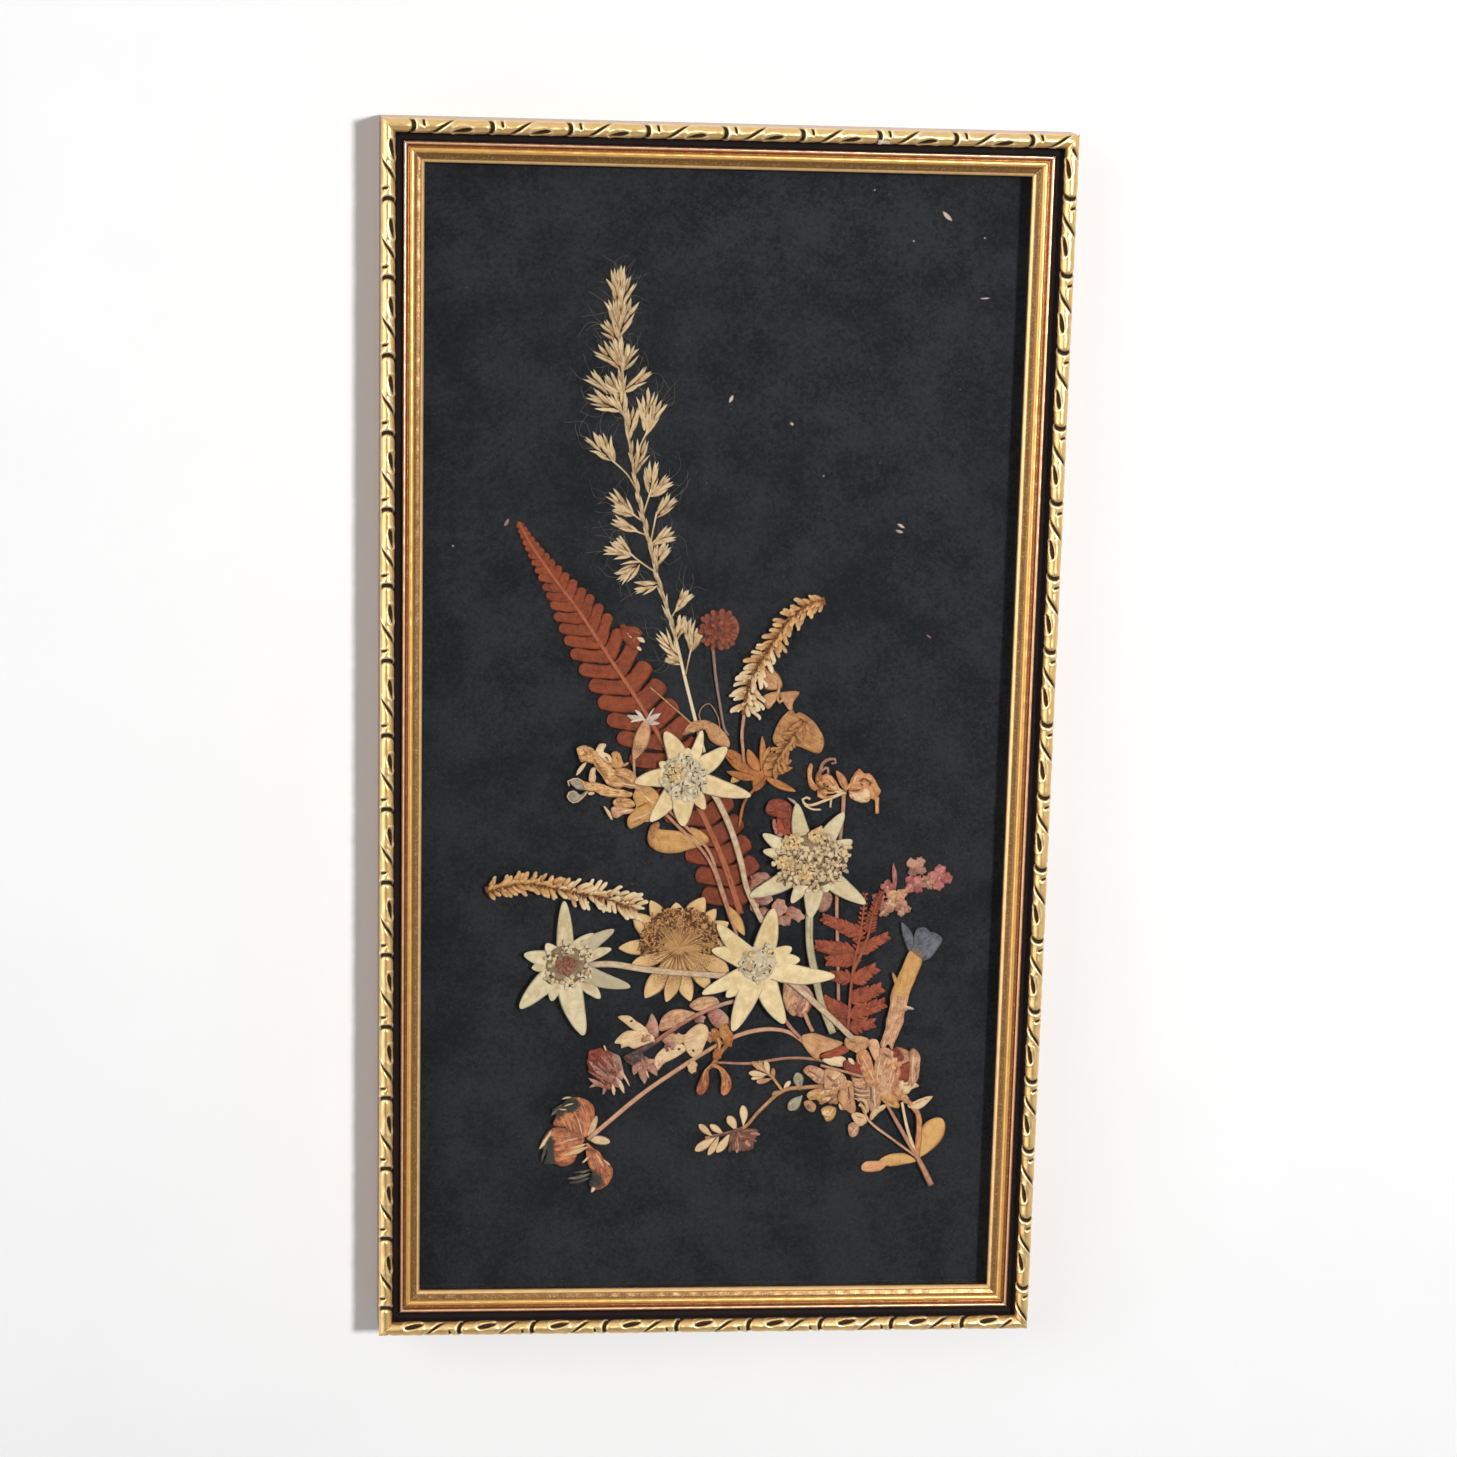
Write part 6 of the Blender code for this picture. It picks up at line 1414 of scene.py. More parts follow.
def left_cluster():
    """Tan leafy flower cluster on the left."""
    cluster = Pressed(STEMS, 61)
    cluster.sheets([
        (4, (-43.8, -11.2), (-42.5, -10.6), (-40.8, -10.4), (-39.3, -11.7), (-38.7, -13.8), (-40.5, -13.8),
         (-42.0, -13.0)),
        (4, (-44.0, -15.3), (-43.2, -14.3), (-41.7, -14.0), (-40.2, -15.3), (-38.4, -14.0), (-38.0, -14.6),
         (-39.9, -16.5), (-41.2, -17.5), (-42.7, -17.6), (-43.6, -16.6)),
        (0, (-36.5, -5.3), (-35.3, -3.0), (-33.3, -4.3), (-31.0, -6.8), (-29.8, -8.6), (-30.3, -10.6),
         (-29.3, -13.0), (-32.2, -12.1), (-34.0, -9.4), (-35.7, -7.3)),
        (1, (-35.8, -2.4), (-35.3, -0.6), (-34.6, 0.2), (-32.8, 0.0), (-33.6, -2.2), (-32.1, -2.9),
         (-31.1, -4.2), (-31.3, -5.6), (-33.3, -4.9)),
        (0, (-41.5, -1.2), (-40.4, -0.5), (-39.1, -0.3), (-37.6, -0.8), (-36.2, -1.8), (-35.2, -3.2),
         (-36.2, -5.6), (-37.6, -5.7), (-38.8, -5.2), (-40.1, -5.4), (-40.7, -4.3), (-41.3, -2.5)),
        (3, (-31.5, -6.0), (-31.0, -4.2), (-31.3, -2.9), (-30.3, -2.1), (-28.8, -2.7), (-27.8, -5.2),
         (-27.3, -6.4), (-28.7, -7.2), (-30.0, -7.5)),
        (0, (-30.2, -7.5), (-27.2, -7.1), (-24.7, -8.4), (-23.5, -10.1), (-22.6, -12.4), (-24.8, -13.4),
         (-27.6, -12.8), (-28.9, -13.6), (-30.3, -12.9), (-31.1, -11.1), (-30.4, -9.1)),
        (3, (-26.2, -23.1), (-25.7, -21.7), (-24.4, -20.3), (-23.6, -18.4), (-24.6, -15.6), (-23.0, -12.6),
         (-19.6, -12.6), (-16.5, -16.1), (-17.2, -20.3), (-19.3, -23.2), (-21.1, -23.5), (-22.7, -24.6),
         (-25.1, -25.6), (-25.9, -24.7)),
        (1, (-37.5, -11.4), (-37.8, -10.1), (-37.2, -7.4), (-35.9, -7.1), (-35.9, -8.9), (-35.7, -9.9),
         (-36.1, -11.6)),
        (0, (-40.2, -11.0), (-38.0, -11.5), (-35.7, -11.5), (-33.2, -12.2), (-30.1, -13.3), (-27.1, -13.8),
         (-24.6, -15.0), (-26.6, -16.1), (-31.1, -16.0), (-33.6, -15.5), (-36.2, -14.2), (-38.4, -14.0)),
        (0, (-30.6, -17.6), (-29.3, -16.3), (-27.2, -16.0), (-24.9, -16.8), (-23.8, -18.4), (-26.0, -19.4),
         (-29.3, -18.9)),
        (2, (-31.1, -19.5), (-29.5, -18.5), (-27.1, -19.3), (-23.7, -19.6), (-24.7, -20.8), (-27.1, -21.1),
         (-29.0, -22.2), (-30.5, -21.9))
    ], wrinkle=0.24, size=2.0)
    cluster.blades([
        ((-38.6, -5.4), (-41.5, -9.4), 1.5, 1), ((-27.8, -6.6), (-26.0, -5.4), 1.0),
        ((-33.2, -18.6), (-30.6, -22.9), 1.2, 1), ((-38.0, -14.8), (-36.0, -14.6), 1.2, 1),
        ((-36.6, -4.0), (-31.2, -11.6), 0.9, 5), ((-35.2, -3.6), (-30.4, -9.4), 0.6, 1),
        ((-40.4, -3.6), (-36.6, -2.6), 0.8, 5), ((-39.6, -1.4), (-37.4, -3.8), 0.6, 5),
        ((-38.6, -12.4), (-26.4, -14.8), 0.8, 1), ((-34.4, -15.2), (-26.8, -15.6), 0.7, 1),
        ((-32.6, -13.4), (-24.8, -14.4), 0.6, 5), ((-30.0, -9.2), (-24.6, -12.0), 0.8, 5),
        ((-29.0, -8.2), (-25.6, -9.4), 0.7, 1), ((-28.0, -11.6), (-23.8, -12.4), 0.6, 1),
        ((-29.6, -17.4), (-25.2, -17.8), 1.2, 5), ((-29.0, -17.0), (-27.0, -18.2), 0.6, 1),
        ((-28.4, -20.4), (-24.4, -19.8), 0.6, 1), ((-23.4, -19.2), (-18.4, -16.6), 0.9, 5),
        ((-24.6, -22.6), (-19.6, -20.4), 1.1, 1), ((-25.2, -24.0), (-20.0, -22.2), 0.7, 5),
        ((-22.6, -14.0), (-18.0, -17.8), 0.9, 1), ((-29.6, -3.6), (-29.0, -6.6), 0.7, 5),
        ((-33.0, -3.6), (-32.0, -5.0), 0.6, 5)
    ], raised=0.26, fullness=0.6, rows=12, columns=5, wrinkle=0.14, ragged=0.15)
    for route in ([(-43.6, -12.6), (-44.0, -11.2), (-42.5, -10.5), (-40.6, -10.4), (-39.2, -11.8),
                   (-38.6, -13.8)],
                  [(-38.2, -14.4), (-40.0, -16.6), (-42.0, -17.7), (-43.6, -16.8), (-44.1, -15.2),
                   (-42.8, -14.1), (-41.2, -14.8)]):
        cluster.stem(route, 0.45, 0.35, 0.25, lift=0.15, finish=1)
    cluster.stem([(-35.6, -7.0), (-31.0, -9.8), (-20.0, -14.6)], 0.8, 1.2, lift=0.1, finish=2)
    cluster.build("left_cluster_petals", [TAN_PETAL, CREAM_LEAF, PINK_TAN, GOLDEN, VEILED, BROWN_FLORET],
                  "tan_leaf", "left_tan_flower_cluster")


def golden_leaf():
    """Golden oval leaf on twin stems."""
    oval_leaf = Pressed(LAYER_1, 63)
    oval_leaf.sheets([
        (0, (-19.8, -28.6), (-18.6, -25.6), (-15.8, -25.9), (-11.5, -26.3), (-7.2, -27.4), (-3.4, -30.4),
         (-7.2, -31.9), (-11.5, -33.1), (-15.8, -32.9), (-18.6, -31.4)),
        (2, (-20.0, -28.4), (-19.0, -24.6), (-16.6, -23.6), (-16.8, -26.6), (-18.2, -29.0), (-17.4, -31.8),
         (-19.2, -31.0)),
        (0, (-7.4, -25.2), (-4.6, -26.0), (-1.9, -28.2), (-2.1, -30.0), (-4.6, -29.2), (-6.8, -27.4))
    ], crown=0.2, wrinkle=0.12, size=4.0)
    oval_leaf.blade((4.0, -49.0), (9.8, -58.4), 3.6, lift=0.12, groove=0.08)
    for shift, lift in ((-0.5, 0.1), (0.6, 0.0)):
        oval_leaf.stem([
            (-14.6 + shift, -20.4 + shift), (-8.8 + shift, -26.0 + shift), (-2.6 + shift, -32.4 + shift),
            (0.6 + shift * 0.6, -39.0), (3.4 + shift * 0.5, -47.0), (8.0, -60.0)
        ], 1.05, 0.95, finish=1, lift=lift)
    oval_leaf.build("oval_leaf_on_twin_stems", [GOLDEN, PINK_STEM, HEART], "golden_leaf", "golden_oval_leaf")


def rust_petals():
    """Round rust petals above the right edelweiss."""
    rust = Pressed(LAYER_1, 71)
    rust.sheets([
        (1, (18.7, -22.2), (20.3, -22.4), (22.2, -22.0), (24.2, -21.2), (24.6, -23.7), (25.1, -25.7),
         (25.1, -28.4), (22.4, -29.0), (20.5, -28.4), (18.7, -27.5), (18.1, -26.1), (17.7, -24.4),
         (18.6, -23.6)),
        (2, (17.4, -22.6), (18.3, -22.8), (18.4, -25.4), (20.2, -27.0), (21.0, -28.6), (18.7, -27.7),
         (17.8, -26.1), (17.3, -24.1)),
        (0, (15.1, -19.7), (15.7, -17.8), (16.8, -16.6), (18.4, -16.3), (20.1, -16.5), (21.9, -17.5),
         (23.1, -18.8), (24.1, -20.2), (24.4, -22.1), (23.4, -22.7), (21.9, -22.8), (20.1, -22.9),
         (18.5, -21.9), (17.2, -21.7), (15.6, -20.9))
    ], wrinkle=0.2)
    rust.blades([
        ((21.9, -18.0), (23.6, -23.6), 0.9, 1), ((20.6, -22.6), (21.6, -26.0), 1.2, 0),
        ((21.7, -16.0), (24.8, -18.4), 0.9, 3), ((22.6, -23.0), (24.0, -27.4), 0.8, 2),
        ((17.2, -19.0), (21.2, -17.6), 0.8, 1), ((18.0, -20.6), (22.4, -20.0), 0.7, 1)
    ], raised=0.22, wrinkle=0.16)
    rust.build("round_rust_petals", [RUST, RED_ORANGE, DUSKY, WHITE_PETAL], "rust_petal", "rust_petals")


def tan_cluster():
    """Tan flower cluster on its long stem."""
    cluster = Pressed(LAYER_3, 73)
    cluster.sheets([
        (0, (40.4, -15.4), (40.0, -12.9), (40.7, -10.5), (42.0, -8.4), (43.2, -7.3), (44.7, -8.7),
         (46.4, -8.8), (47.9, -10.5), (49.1, -12.8), (49.9, -14.1), (49.2, -15.4), (48.9, -16.6),
         (48.0, -17.0), (46.6, -16.5), (45.5, -17.5), (43.8, -17.6), (42.2, -16.9), (40.9, -16.4)),
        (0, (27.5, -7.9), (28.2, -5.7), (29.1, -6.3), (28.9, -8.5), (29.1, -10.6), (30.2, -12.2),
         (31.3, -13.5), (29.8, -14.1), (28.4, -13.0), (27.8, -11.3)),
        (2, (30.6, -8.0), (32.2, -9.4), (34.4, -9.6), (33.6, -12.4), (31.6, -13.4), (30.0, -11.4)),
        (0, (30.2, -10.4), (31.9, -9.5), (33.3, -8.8), (34.9, -9.6), (36.4, -11.4), (37.3, -13.2),
         (37.0, -14.2), (34.8, -14.0), (33.7, -12.3), (32.3, -13.1), (30.8, -12.0)),
        (4, (40.3, -15.5), (41.5, -14.9), (43.7, -14.3), (45.9, -12.7), (46.5, -15.1), (46.4, -17.0),
         (44.4, -17.7), (42.0, -16.9)),
        (3, (45.8, -12.5), (47.8, -10.9), (49.1, -13.1), (49.5, -14.8), (48.3, -15.9), (46.6, -16.5),
         (45.6, -14.8)),
        (2, (40.0, -13.7), (42.0, -12.7), (44.2, -13.1), (43.6, -14.1), (41.0, -14.6)),
        (2, (30.8, -13.6), (33.6, -13.8), (33.2, -15.8), (31.0, -15.6))
    ], wrinkle=0.26, size=1.8)
    cluster.blades([
        ((39.4, -14.2), (36.2, -7.9), 2.6), ((37.3, -14.0), (33.4, -9.3), 1.2, 4),
        ((39.4, -14.8), (34.4, -12.4), 1.9, 4), ((39.0, -14.0), (41.6, -10.4), 1.4),
        ((31.8, -10.2), (33.4, -13.2), 0.9, 5), ((33.2, -10.2), (36.4, -13.2), 0.7, 2),
        ((43.2, -11.2), (44.7, -10.1), 0.7, 5), ((44.7, -10.1), (47.1, -11.8), 0.7, 5),
        ((43.6, -11.6), (44.4, -12.4), 0.6, 5), ((46.4, -11.6), (46.6, -12.4), 0.6, 5),
        ((40.6, -13.9), (44.0, -13.4), 0.5, 5), ((42.6, -8.6), (41.4, -12.0), 0.6, 4),
        ((32.2, -12.8), (36.6, -14.0), 1.0, 2), ((31.4, -14.4), (36.8, -14.4), 0.9, 0),
        ((47.0, -12.8), (48.6, -15.6), 0.6, 2), ((39.2, -14.4), (36.6, -9.0), 0.4, 2)
    ], raised=0.26, fullness=0.6, rows=12, columns=5, wrinkle=0.14, ragged=0.12)
    cluster.stems([
        ([(31.2, -8.6), (32.0, -5.8), (33.4, -4.6), (35.4, -4.2), (36.2, -5.2), (34.6, -5.8)], 1.3, 0.8, 6),
        ([(31.6, -8.2), (33.4, -6.8), (33.8, -8.8)], 1.0, 0.7, 6),
        ([(38.8, -14.4), (35.6, -15.9), (30.0, -18.2), (27.4, -18.4), (26.2, -16.9), (27.4, -16.1),
          (28.6, -16.6)], 1.1, 0.8, 4),
        ([(30.8, -15.2), (33.0, -16.2), (35.4, -15.8)], 1.3, 1.0, 0),
        ([(34.9, -16.4), (34.7, -19.1)], 0.8, 0.7, 4),
        ([(26.9, -18.4), (29.2, -19.7), (31.9, -19.8)], 0.7, 0.6, 4),
        ([(48.7, -16.0), (48.9, -20.9)], 1.4, 1.2, 0),
        ([(38.6, -14.0), (38.6, -20.0), (37.6, -35.0), (37.6, -50.0), (38.2, -62.0), (39.0, -79.0)], 1.3,
         1.0, 1)
    ], lift=0.1)
    cluster.build("tan_cluster_petals",
                  [APRICOT, PINK_STEM, BROWN_FLORET, GOLDEN, CREAM_LEAF, SEED_BROWN, DUSKY], "tan_leaf",
                  "tan_flower_cluster")


def pink_sprig():
    """Pink flower sprig: round flowers of four lobes."""
    sprig = Pressed(LAYER_3, 75)
    sprig.stem([(50.6, -52.6), (55.6, -47.4), (61.0, -42.4), (67.0, -39.8)], 1.3, 1.0, finish=1)
    for (x, y), radius, finish in (((68.5, -40.7), 3.9, 0), ((61.4, -37.4), 3.3, 2), ((60.8, -42.8), 3.2, 0),
                                   ((65.0, -42.2), 2.4, 2), ((55.6, -47.4), 3.7, 3), ((57.6, -50.2), 2.6, 2),
                                   ((52.8, -43.5), 2.2, 0), ((50.2, -47.6), 2.3, 0),
                                   ((52.6, -50.4), 2.4, 2)):
        for k in range(4):
            out = turned((0.5 * radius, 0.0), 90 * k + 17 * x)
            sprig.lobes([(x + out[0], y + out[1], 0.56 * radius, 0.46 * radius, 90 * k + 17 * x, finish)])
        sprig.lump((x, y), 0.5, 0.3, 1.0, 0, 0.25, 1)
    sprig.blade((55.2, -44.6), (54.4, -36.2), 1.9, ragged=0.35, rows=18)
    sprig.build("pink_sprig_florets", [PINK_FLORET, PINK_STEM, DUSKY, PINK_TAN], "clover_red",
                "pink_flower_sprig")


def straw_tube():
    """Flattened straw tube."""
    tube = Pressed(STEMS, 77)
    tube.sheets([
        (0, (60.0, -63.2), (62.2, -64.6), (64.0, -66.2), (62.4, -71.0), (60.6, -76.0), (59.6, -78.4),
         (54.9, -77.4), (56.2, -72.4), (58.0, -68.0)),
        (2, (55.0, -76.4), (59.9, -77.4), (59.8, -80.2), (61.9, -81.2), (59.3, -82.0), (58.6, -85.4),
         (54.2, -84.4), (54.6, -80.0)),
        (2, (54.1, -83.4), (58.9, -84.4), (57.8, -88.4), (56.2, -92.4), (55.6, -94.0), (54.4, -92.4),
         (53.2, -93.6), (52.0, -92.4), (53.4, -87.6))
    ], thickness=0.34, crown=0.2, wrinkle=0.06, axis=(0.25, 1.0))
    tube.blades([
        ((56.6, -74.4), (55.0, -69.8), 1.3, 3), ((60.6, -75.4), (62.4, -70.2), 1.2, 3),
        ((58.2, -76.0), (60.8, -65.6), 0.9, 3), ((57.2, -76.4), (58.6, -68.6), 0.8),
        ((59.4, -80.4), (62.0, -81.3), 0.9, 1), ((56.0, -91.0), (57.6, -79.0), 0.7, 1),
        ((54.6, -90.6), (56.4, -80.0), 0.6, 3)
    ], thickness=0.3, wrinkle=0.05)
    tube.build("flattened_tube", [GOLDEN, WHITE_PETAL, PINK_TAN, HEART], "ochre_spike", "straw_tube")


def blue_grey_petals():
    """Thin petals at the top of the tube."""
    petals = Pressed(LAYER_2, 79)
    petals.sheets([
        (0, (60.6, -64.8), (61.2, -59.4), (62.4, -56.2), (65.6, -56.6), (66.4, -60.0), (65.2, -65.6),
         (62.6, -66.6)),
        (0, (61.6, -65.6), (64.4, -60.6), (66.4, -57.4), (70.0, -59.6), (68.4, -63.2), (65.6, -66.2))
    ], thickness=0.12, wrinkle=0.24, axis=(0.6, 1.0), burn=lambda x,
        y: 0.7 * np.exp(-((x - 62) / 3) ** 2 - ((y + 65) / 3) ** 2))
    petals.blade((60.8, -64.4), (57.4, -54.4), 3.2, thickness=0.12, wrinkle=0.15)
    petals.build("translucent_petals", [BLUE_GREY], "blue_grey_petal", "blue_grey_petals")


def centre_petals():
    """Petals between and behind the right and centre edelweiss."""
    dusky = Pressed(LAYER_2, 81)
    dusky.lobes([
        (14.6, -41.4, 3.4, 2.4, -10, 1), (18.6, -42.8, 2.8, 2.4, 20, 0), (12.4, -44.8, 1.8, 3.4, 0, 0),
        (15.6, -47.0, 2.8, 2.2, 30, 1), (19.8, -50.4, 2.4, 3.2, -20, 0), (24.6, -51.8, 3.4, 1.9, -30, 1),
        (21.6, -54.0, 2.2, 1.8, 0, 0), (15.8, -52.4, 1.8, 2.8, 20, 0), (12.6, -49.6, 1.4, 1.8, 0, 1)
    ])
    dusky.build("dusky_centre_petals", [DUSKY, BROWN_PINK], "pink_tan_leaf", "dusky_petals")
    pink = Pressed(LAYER_2, 83)
    pink.sheets([
        (0, (22.4, -71.6), (25.2, -72.6), (26.6, -77.0), (26.2, -83.4), (23.8, -82.6), (22.0, -78.6)),
        (2, (25.4, -73.0), (28.4, -73.8), (31.2, -77.0), (31.0, -80.4), (28.6, -84.0), (26.0, -83.0),
         (25.2, -78.4)),
        (0, (27.4, -76.2), (30.6, -77.6), (30.2, -81.2), (28.0, -83.2), (27.2, -80.2))
    ], wrinkle=0.2, axis=(0.3, 1.0))
    pink.stem([(21.6, -83.0), (24.6, -87.4), (27.6, -90.6)], 1.2, 1.2, finish=1)
    pink.stem([(28.6, -82.6), (30.2, -86.4), (31.4, -88.6)], 1.4, 1.2, finish=1)
    pink.build("pink_centre_petals", [PINK_TAN, PINK_STEM, BROWN_PINK], "pink_tan_leaf", "pink_petals")
    scrap = Pressed(LAYER_3, 85)
    scrap.patch([(31.0, -44.5), (34.5, -44.0), (36.2, -47.0), (35.0, -50.6), (32.0, -51.0)])
    scrap.build("dusky_scrap", [DUSKY], "pink_tan_leaf")


def leaf_bundle():
    """Leaves and stems grown together into one bundle at the lower right."""
    bundle = Pressed(LAYER_1, 91)
    bundle.stems([
        ([(69.4, -137.6), (66.2, -131.2), (64.4, -128.0), (59.4, -119.6), (54.4, -111.0)], 1.9, 0.9, 1),
        ([(64.2, -127.4), (61.4, -119.6), (59.4, -111.0)], 1.1, 0.9, 4),
        ([(64.6, -128.4), (65.0, -118.4), (64.2, -114.2), (61.4, -110.8)], 1.9, 1.8, 0),
        ([(64.2, -128.2), (56.4, -122.4), (49.6, -117.0), (46.6, -111.0)], 0.8, 0.9, 7)
    ], groove=0.06)
    fillers = [
        (7, (43.6, -101.0), (48.4, -102.6), (50.8, -105.6), (50.2, -110.4), (46.6, -110.6), (44.6, -106.6)),
        (0, (51.0, -102.6), (57.0, -103.8), (60.6, -106.6), (59.4, -110.4), (55.4, -110.6), (52.0, -109.6)),
        (7, (56.2, -93.8), (61.4, -95.4), (61.8, -102.0), (58.4, -104.6), (55.6, -99.6))]
    for finish, *outline in fillers:
        bundle.patch(outline, wrinkle=0.08, lift=-0.5, finish=finish)
    bundle.sheets([
        (3, (56.0, -94.5), (57.4, -93.6), (59.5, -96.4), (58.8, -98.2), (56.6, -97.4)),
        (3, (58.2, -99.4), (61.6, -98.2), (61.8, -102.6), (60.4, -104.6), (58.4, -104.0), (57.7, -101.6)),
        (7, (51.4, -94.6), (54.6, -93.8), (57.4, -96.8), (58.8, -102.8), (57.2, -106.6), (53.0, -108.8),
         (50.4, -104.0)),
        (3, (41.2, -97.6), (45.6, -98.4), (47.2, -102.6), (44.4, -103.2), (41.2, -100.4)),
        (7, (35.3, -100.5), (39.0, -100.8), (41.8, -102.8), (42.2, -106.4), (37.7, -107.0), (35.3, -106.1)),
        (7, (28.7, -100.8), (30.6, -99.1), (34.1, -100.1), (35.7, -101.6), (35.6, -104.8), (33.7, -105.0),
         (31.7, -103.8), (30.0, -102.2)),
        (2, (41.0, -104.2), (44.0, -104.6), (44.6, -109.2), (45.3, -113.3), (44.1, -114.6), (41.6, -112.8),
         (39.6, -109.7), (40.2, -107.0)),
        (7, (48.3, -104.4), (52.6, -104.4), (53.0, -110.3), (51.4, -114.5), (49.0, -112.3)),
        (2, (41.4, -90.5), (43.3, -89.7), (46.0, -90.0), (48.4, -90.8), (48.8, -92.7), (45.9, -95.2),
         (43.2, -94.4), (41.2, -92.7)),
        (0, (44.9, -95.4), (47.7, -94.2), (49.5, -97.0), (50.7, -101.1), (52.3, -105.3), (48.4, -104.8),
         (46.6, -101.1), (45.3, -98.6)),
        (7, (48.1, -91.4), (51.5, -91.6), (52.4, -98.8), (50.4, -97.4), (49.0, -94.5)),
        (2, (51.6, -94.8), (54.0, -94.3), (56.7, -96.6), (56.2, -97.8), (54.1, -98.3), (52.5, -98.8),
         (51.7, -97.1)),
        (7, (51.6, -98.4), (54.0, -98.2), (55.2, -102.6), (54.6, -106.6), (52.2, -107.4)),
        (0, (54.1, -98.5), (56.1, -97.4), (58.8, -98.4), (58.5, -103.2), (57.0, -105.9), (54.2, -104.4),
         (53.5, -101.1)),
        (7, (61.1, -95.4), (62.4, -93.8), (64.4, -96.1), (64.5, -99.6), (64.1, -103.7), (62.3, -105.9),
         (61.1, -104.7), (61.5, -99.6)),
        (4, (57.6, -104.6), (61.2, -104.0), (64.5, -105.7), (62.5, -106.8), (60.9, -108.5), (58.7, -107.3)),
        (2, (55.9, -105.8), (58.6, -106.0), (61.9, -110.5), (60.2, -111.2), (56.7, -107.8)),
        (6, (52.3, -109.2), (54.5, -107.8), (57.2, -109.2), (58.8, -112.5), (56.6, -112.6), (54.0, -111.2)),
        (4, (49.6, -115.8), (50.6, -113.2), (54.1, -111.6), (54.3, -112.8), (52.2, -114.4), (50.3, -116.6)),
        (4, (61.3, -111.8), (64.4, -110.1), (68.6, -108.9), (68.0, -110.4), (65.0, -113.0), (62.0, -112.8))
    ], wrinkle=0.24, size=2.0, axis=(0.3, 1.0))
    bundle.blades([
        ((46.2, -95.6), (50.8, -104.6), 0.8, 4), ((45.6, -96.4), (48.4, -103.6), 0.6, 5),
        ((56.4, -98.4), (55.2, -104.6), 0.8, 4), ((57.6, -98.8), (57.0, -104.8), 0.7, 5),
        ((62.2, -104.8), (62.4, -95.2), 0.8, 4), ((63.4, -103.8), (63.6, -96.6), 0.6, 5),
        ((36.6, -103.8), (40.2, -101.6), 1.6, 4), ((37.4, -105.8), (41.4, -104.4), 1.4, 5),
        ((35.9, -102.4), (38.8, -104.6), 1.2, 5), ((52.2, -95.8), (51.4, -104.0), 0.9, 4),
        ((53.2, -95.4), (55.8, -97.4), 0.9, 5), ((42.4, -96.8), (44.2, -98.8), 1.6, 4),
        ((42.6, -105.6), (43.8, -113.0), 0.7, 5), ((30.2, -100.6), (35.0, -103.8), 0.5, 5),
        ((59.0, -105.4), (62.8, -105.8), 0.8, 0), ((50.6, -105.6), (51.2, -112.6), 0.8, 4),
        ((49.6, -105.8), (50.0, -111.6), 0.7, 5), ((42.6, -91.4), (47.4, -92.0), 0.5, 5),
        ((53.4, -109.2), (57.8, -111.8), 0.6, 2), ((62.6, -111.8), (67.4, -109.8), 0.5, 2)
    ], raised=0.3, fullness=0.6, rows=12, columns=5, wrinkle=0.16, ragged=0.12)
    for k in range(6):
        bundle.stem([(44.6, -105.8 - 0.75 * k), (47.0, -106.6 - 0.7 * k), (49.4, -106.2 - 0.75 * k)], 0.5,
                    0.35, finish=(5, 4)[k % 2], lift=0.35)
    bundle.stem([(45.6, -109.8), (47.4, -110.0), (48.6, -111.8), (48.8, -114.0)], 1.5, 0.9, finish=4,
                lift=0.3)
    bundle.stem([(46.2, -111.4), (47.6, -112.4), (48.4, -114.4)], 1.2, 0.8, finish=7, lift=0.3)
    bundle.stem([(34.0, -99.0), (40.5, -100.8), (47.4, -102.8)], 0.9, 0.9, finish=1, lift=0.38)
    bundle.build("bundle_leaves", [APRICOT, PINK_STEM, TAN_LEAF, RUST, CREAM_LEAF, BROWN_PINK, GOLDEN,
                                   PINK_TAN], "pink_tan_leaf", "leaf_bundle")


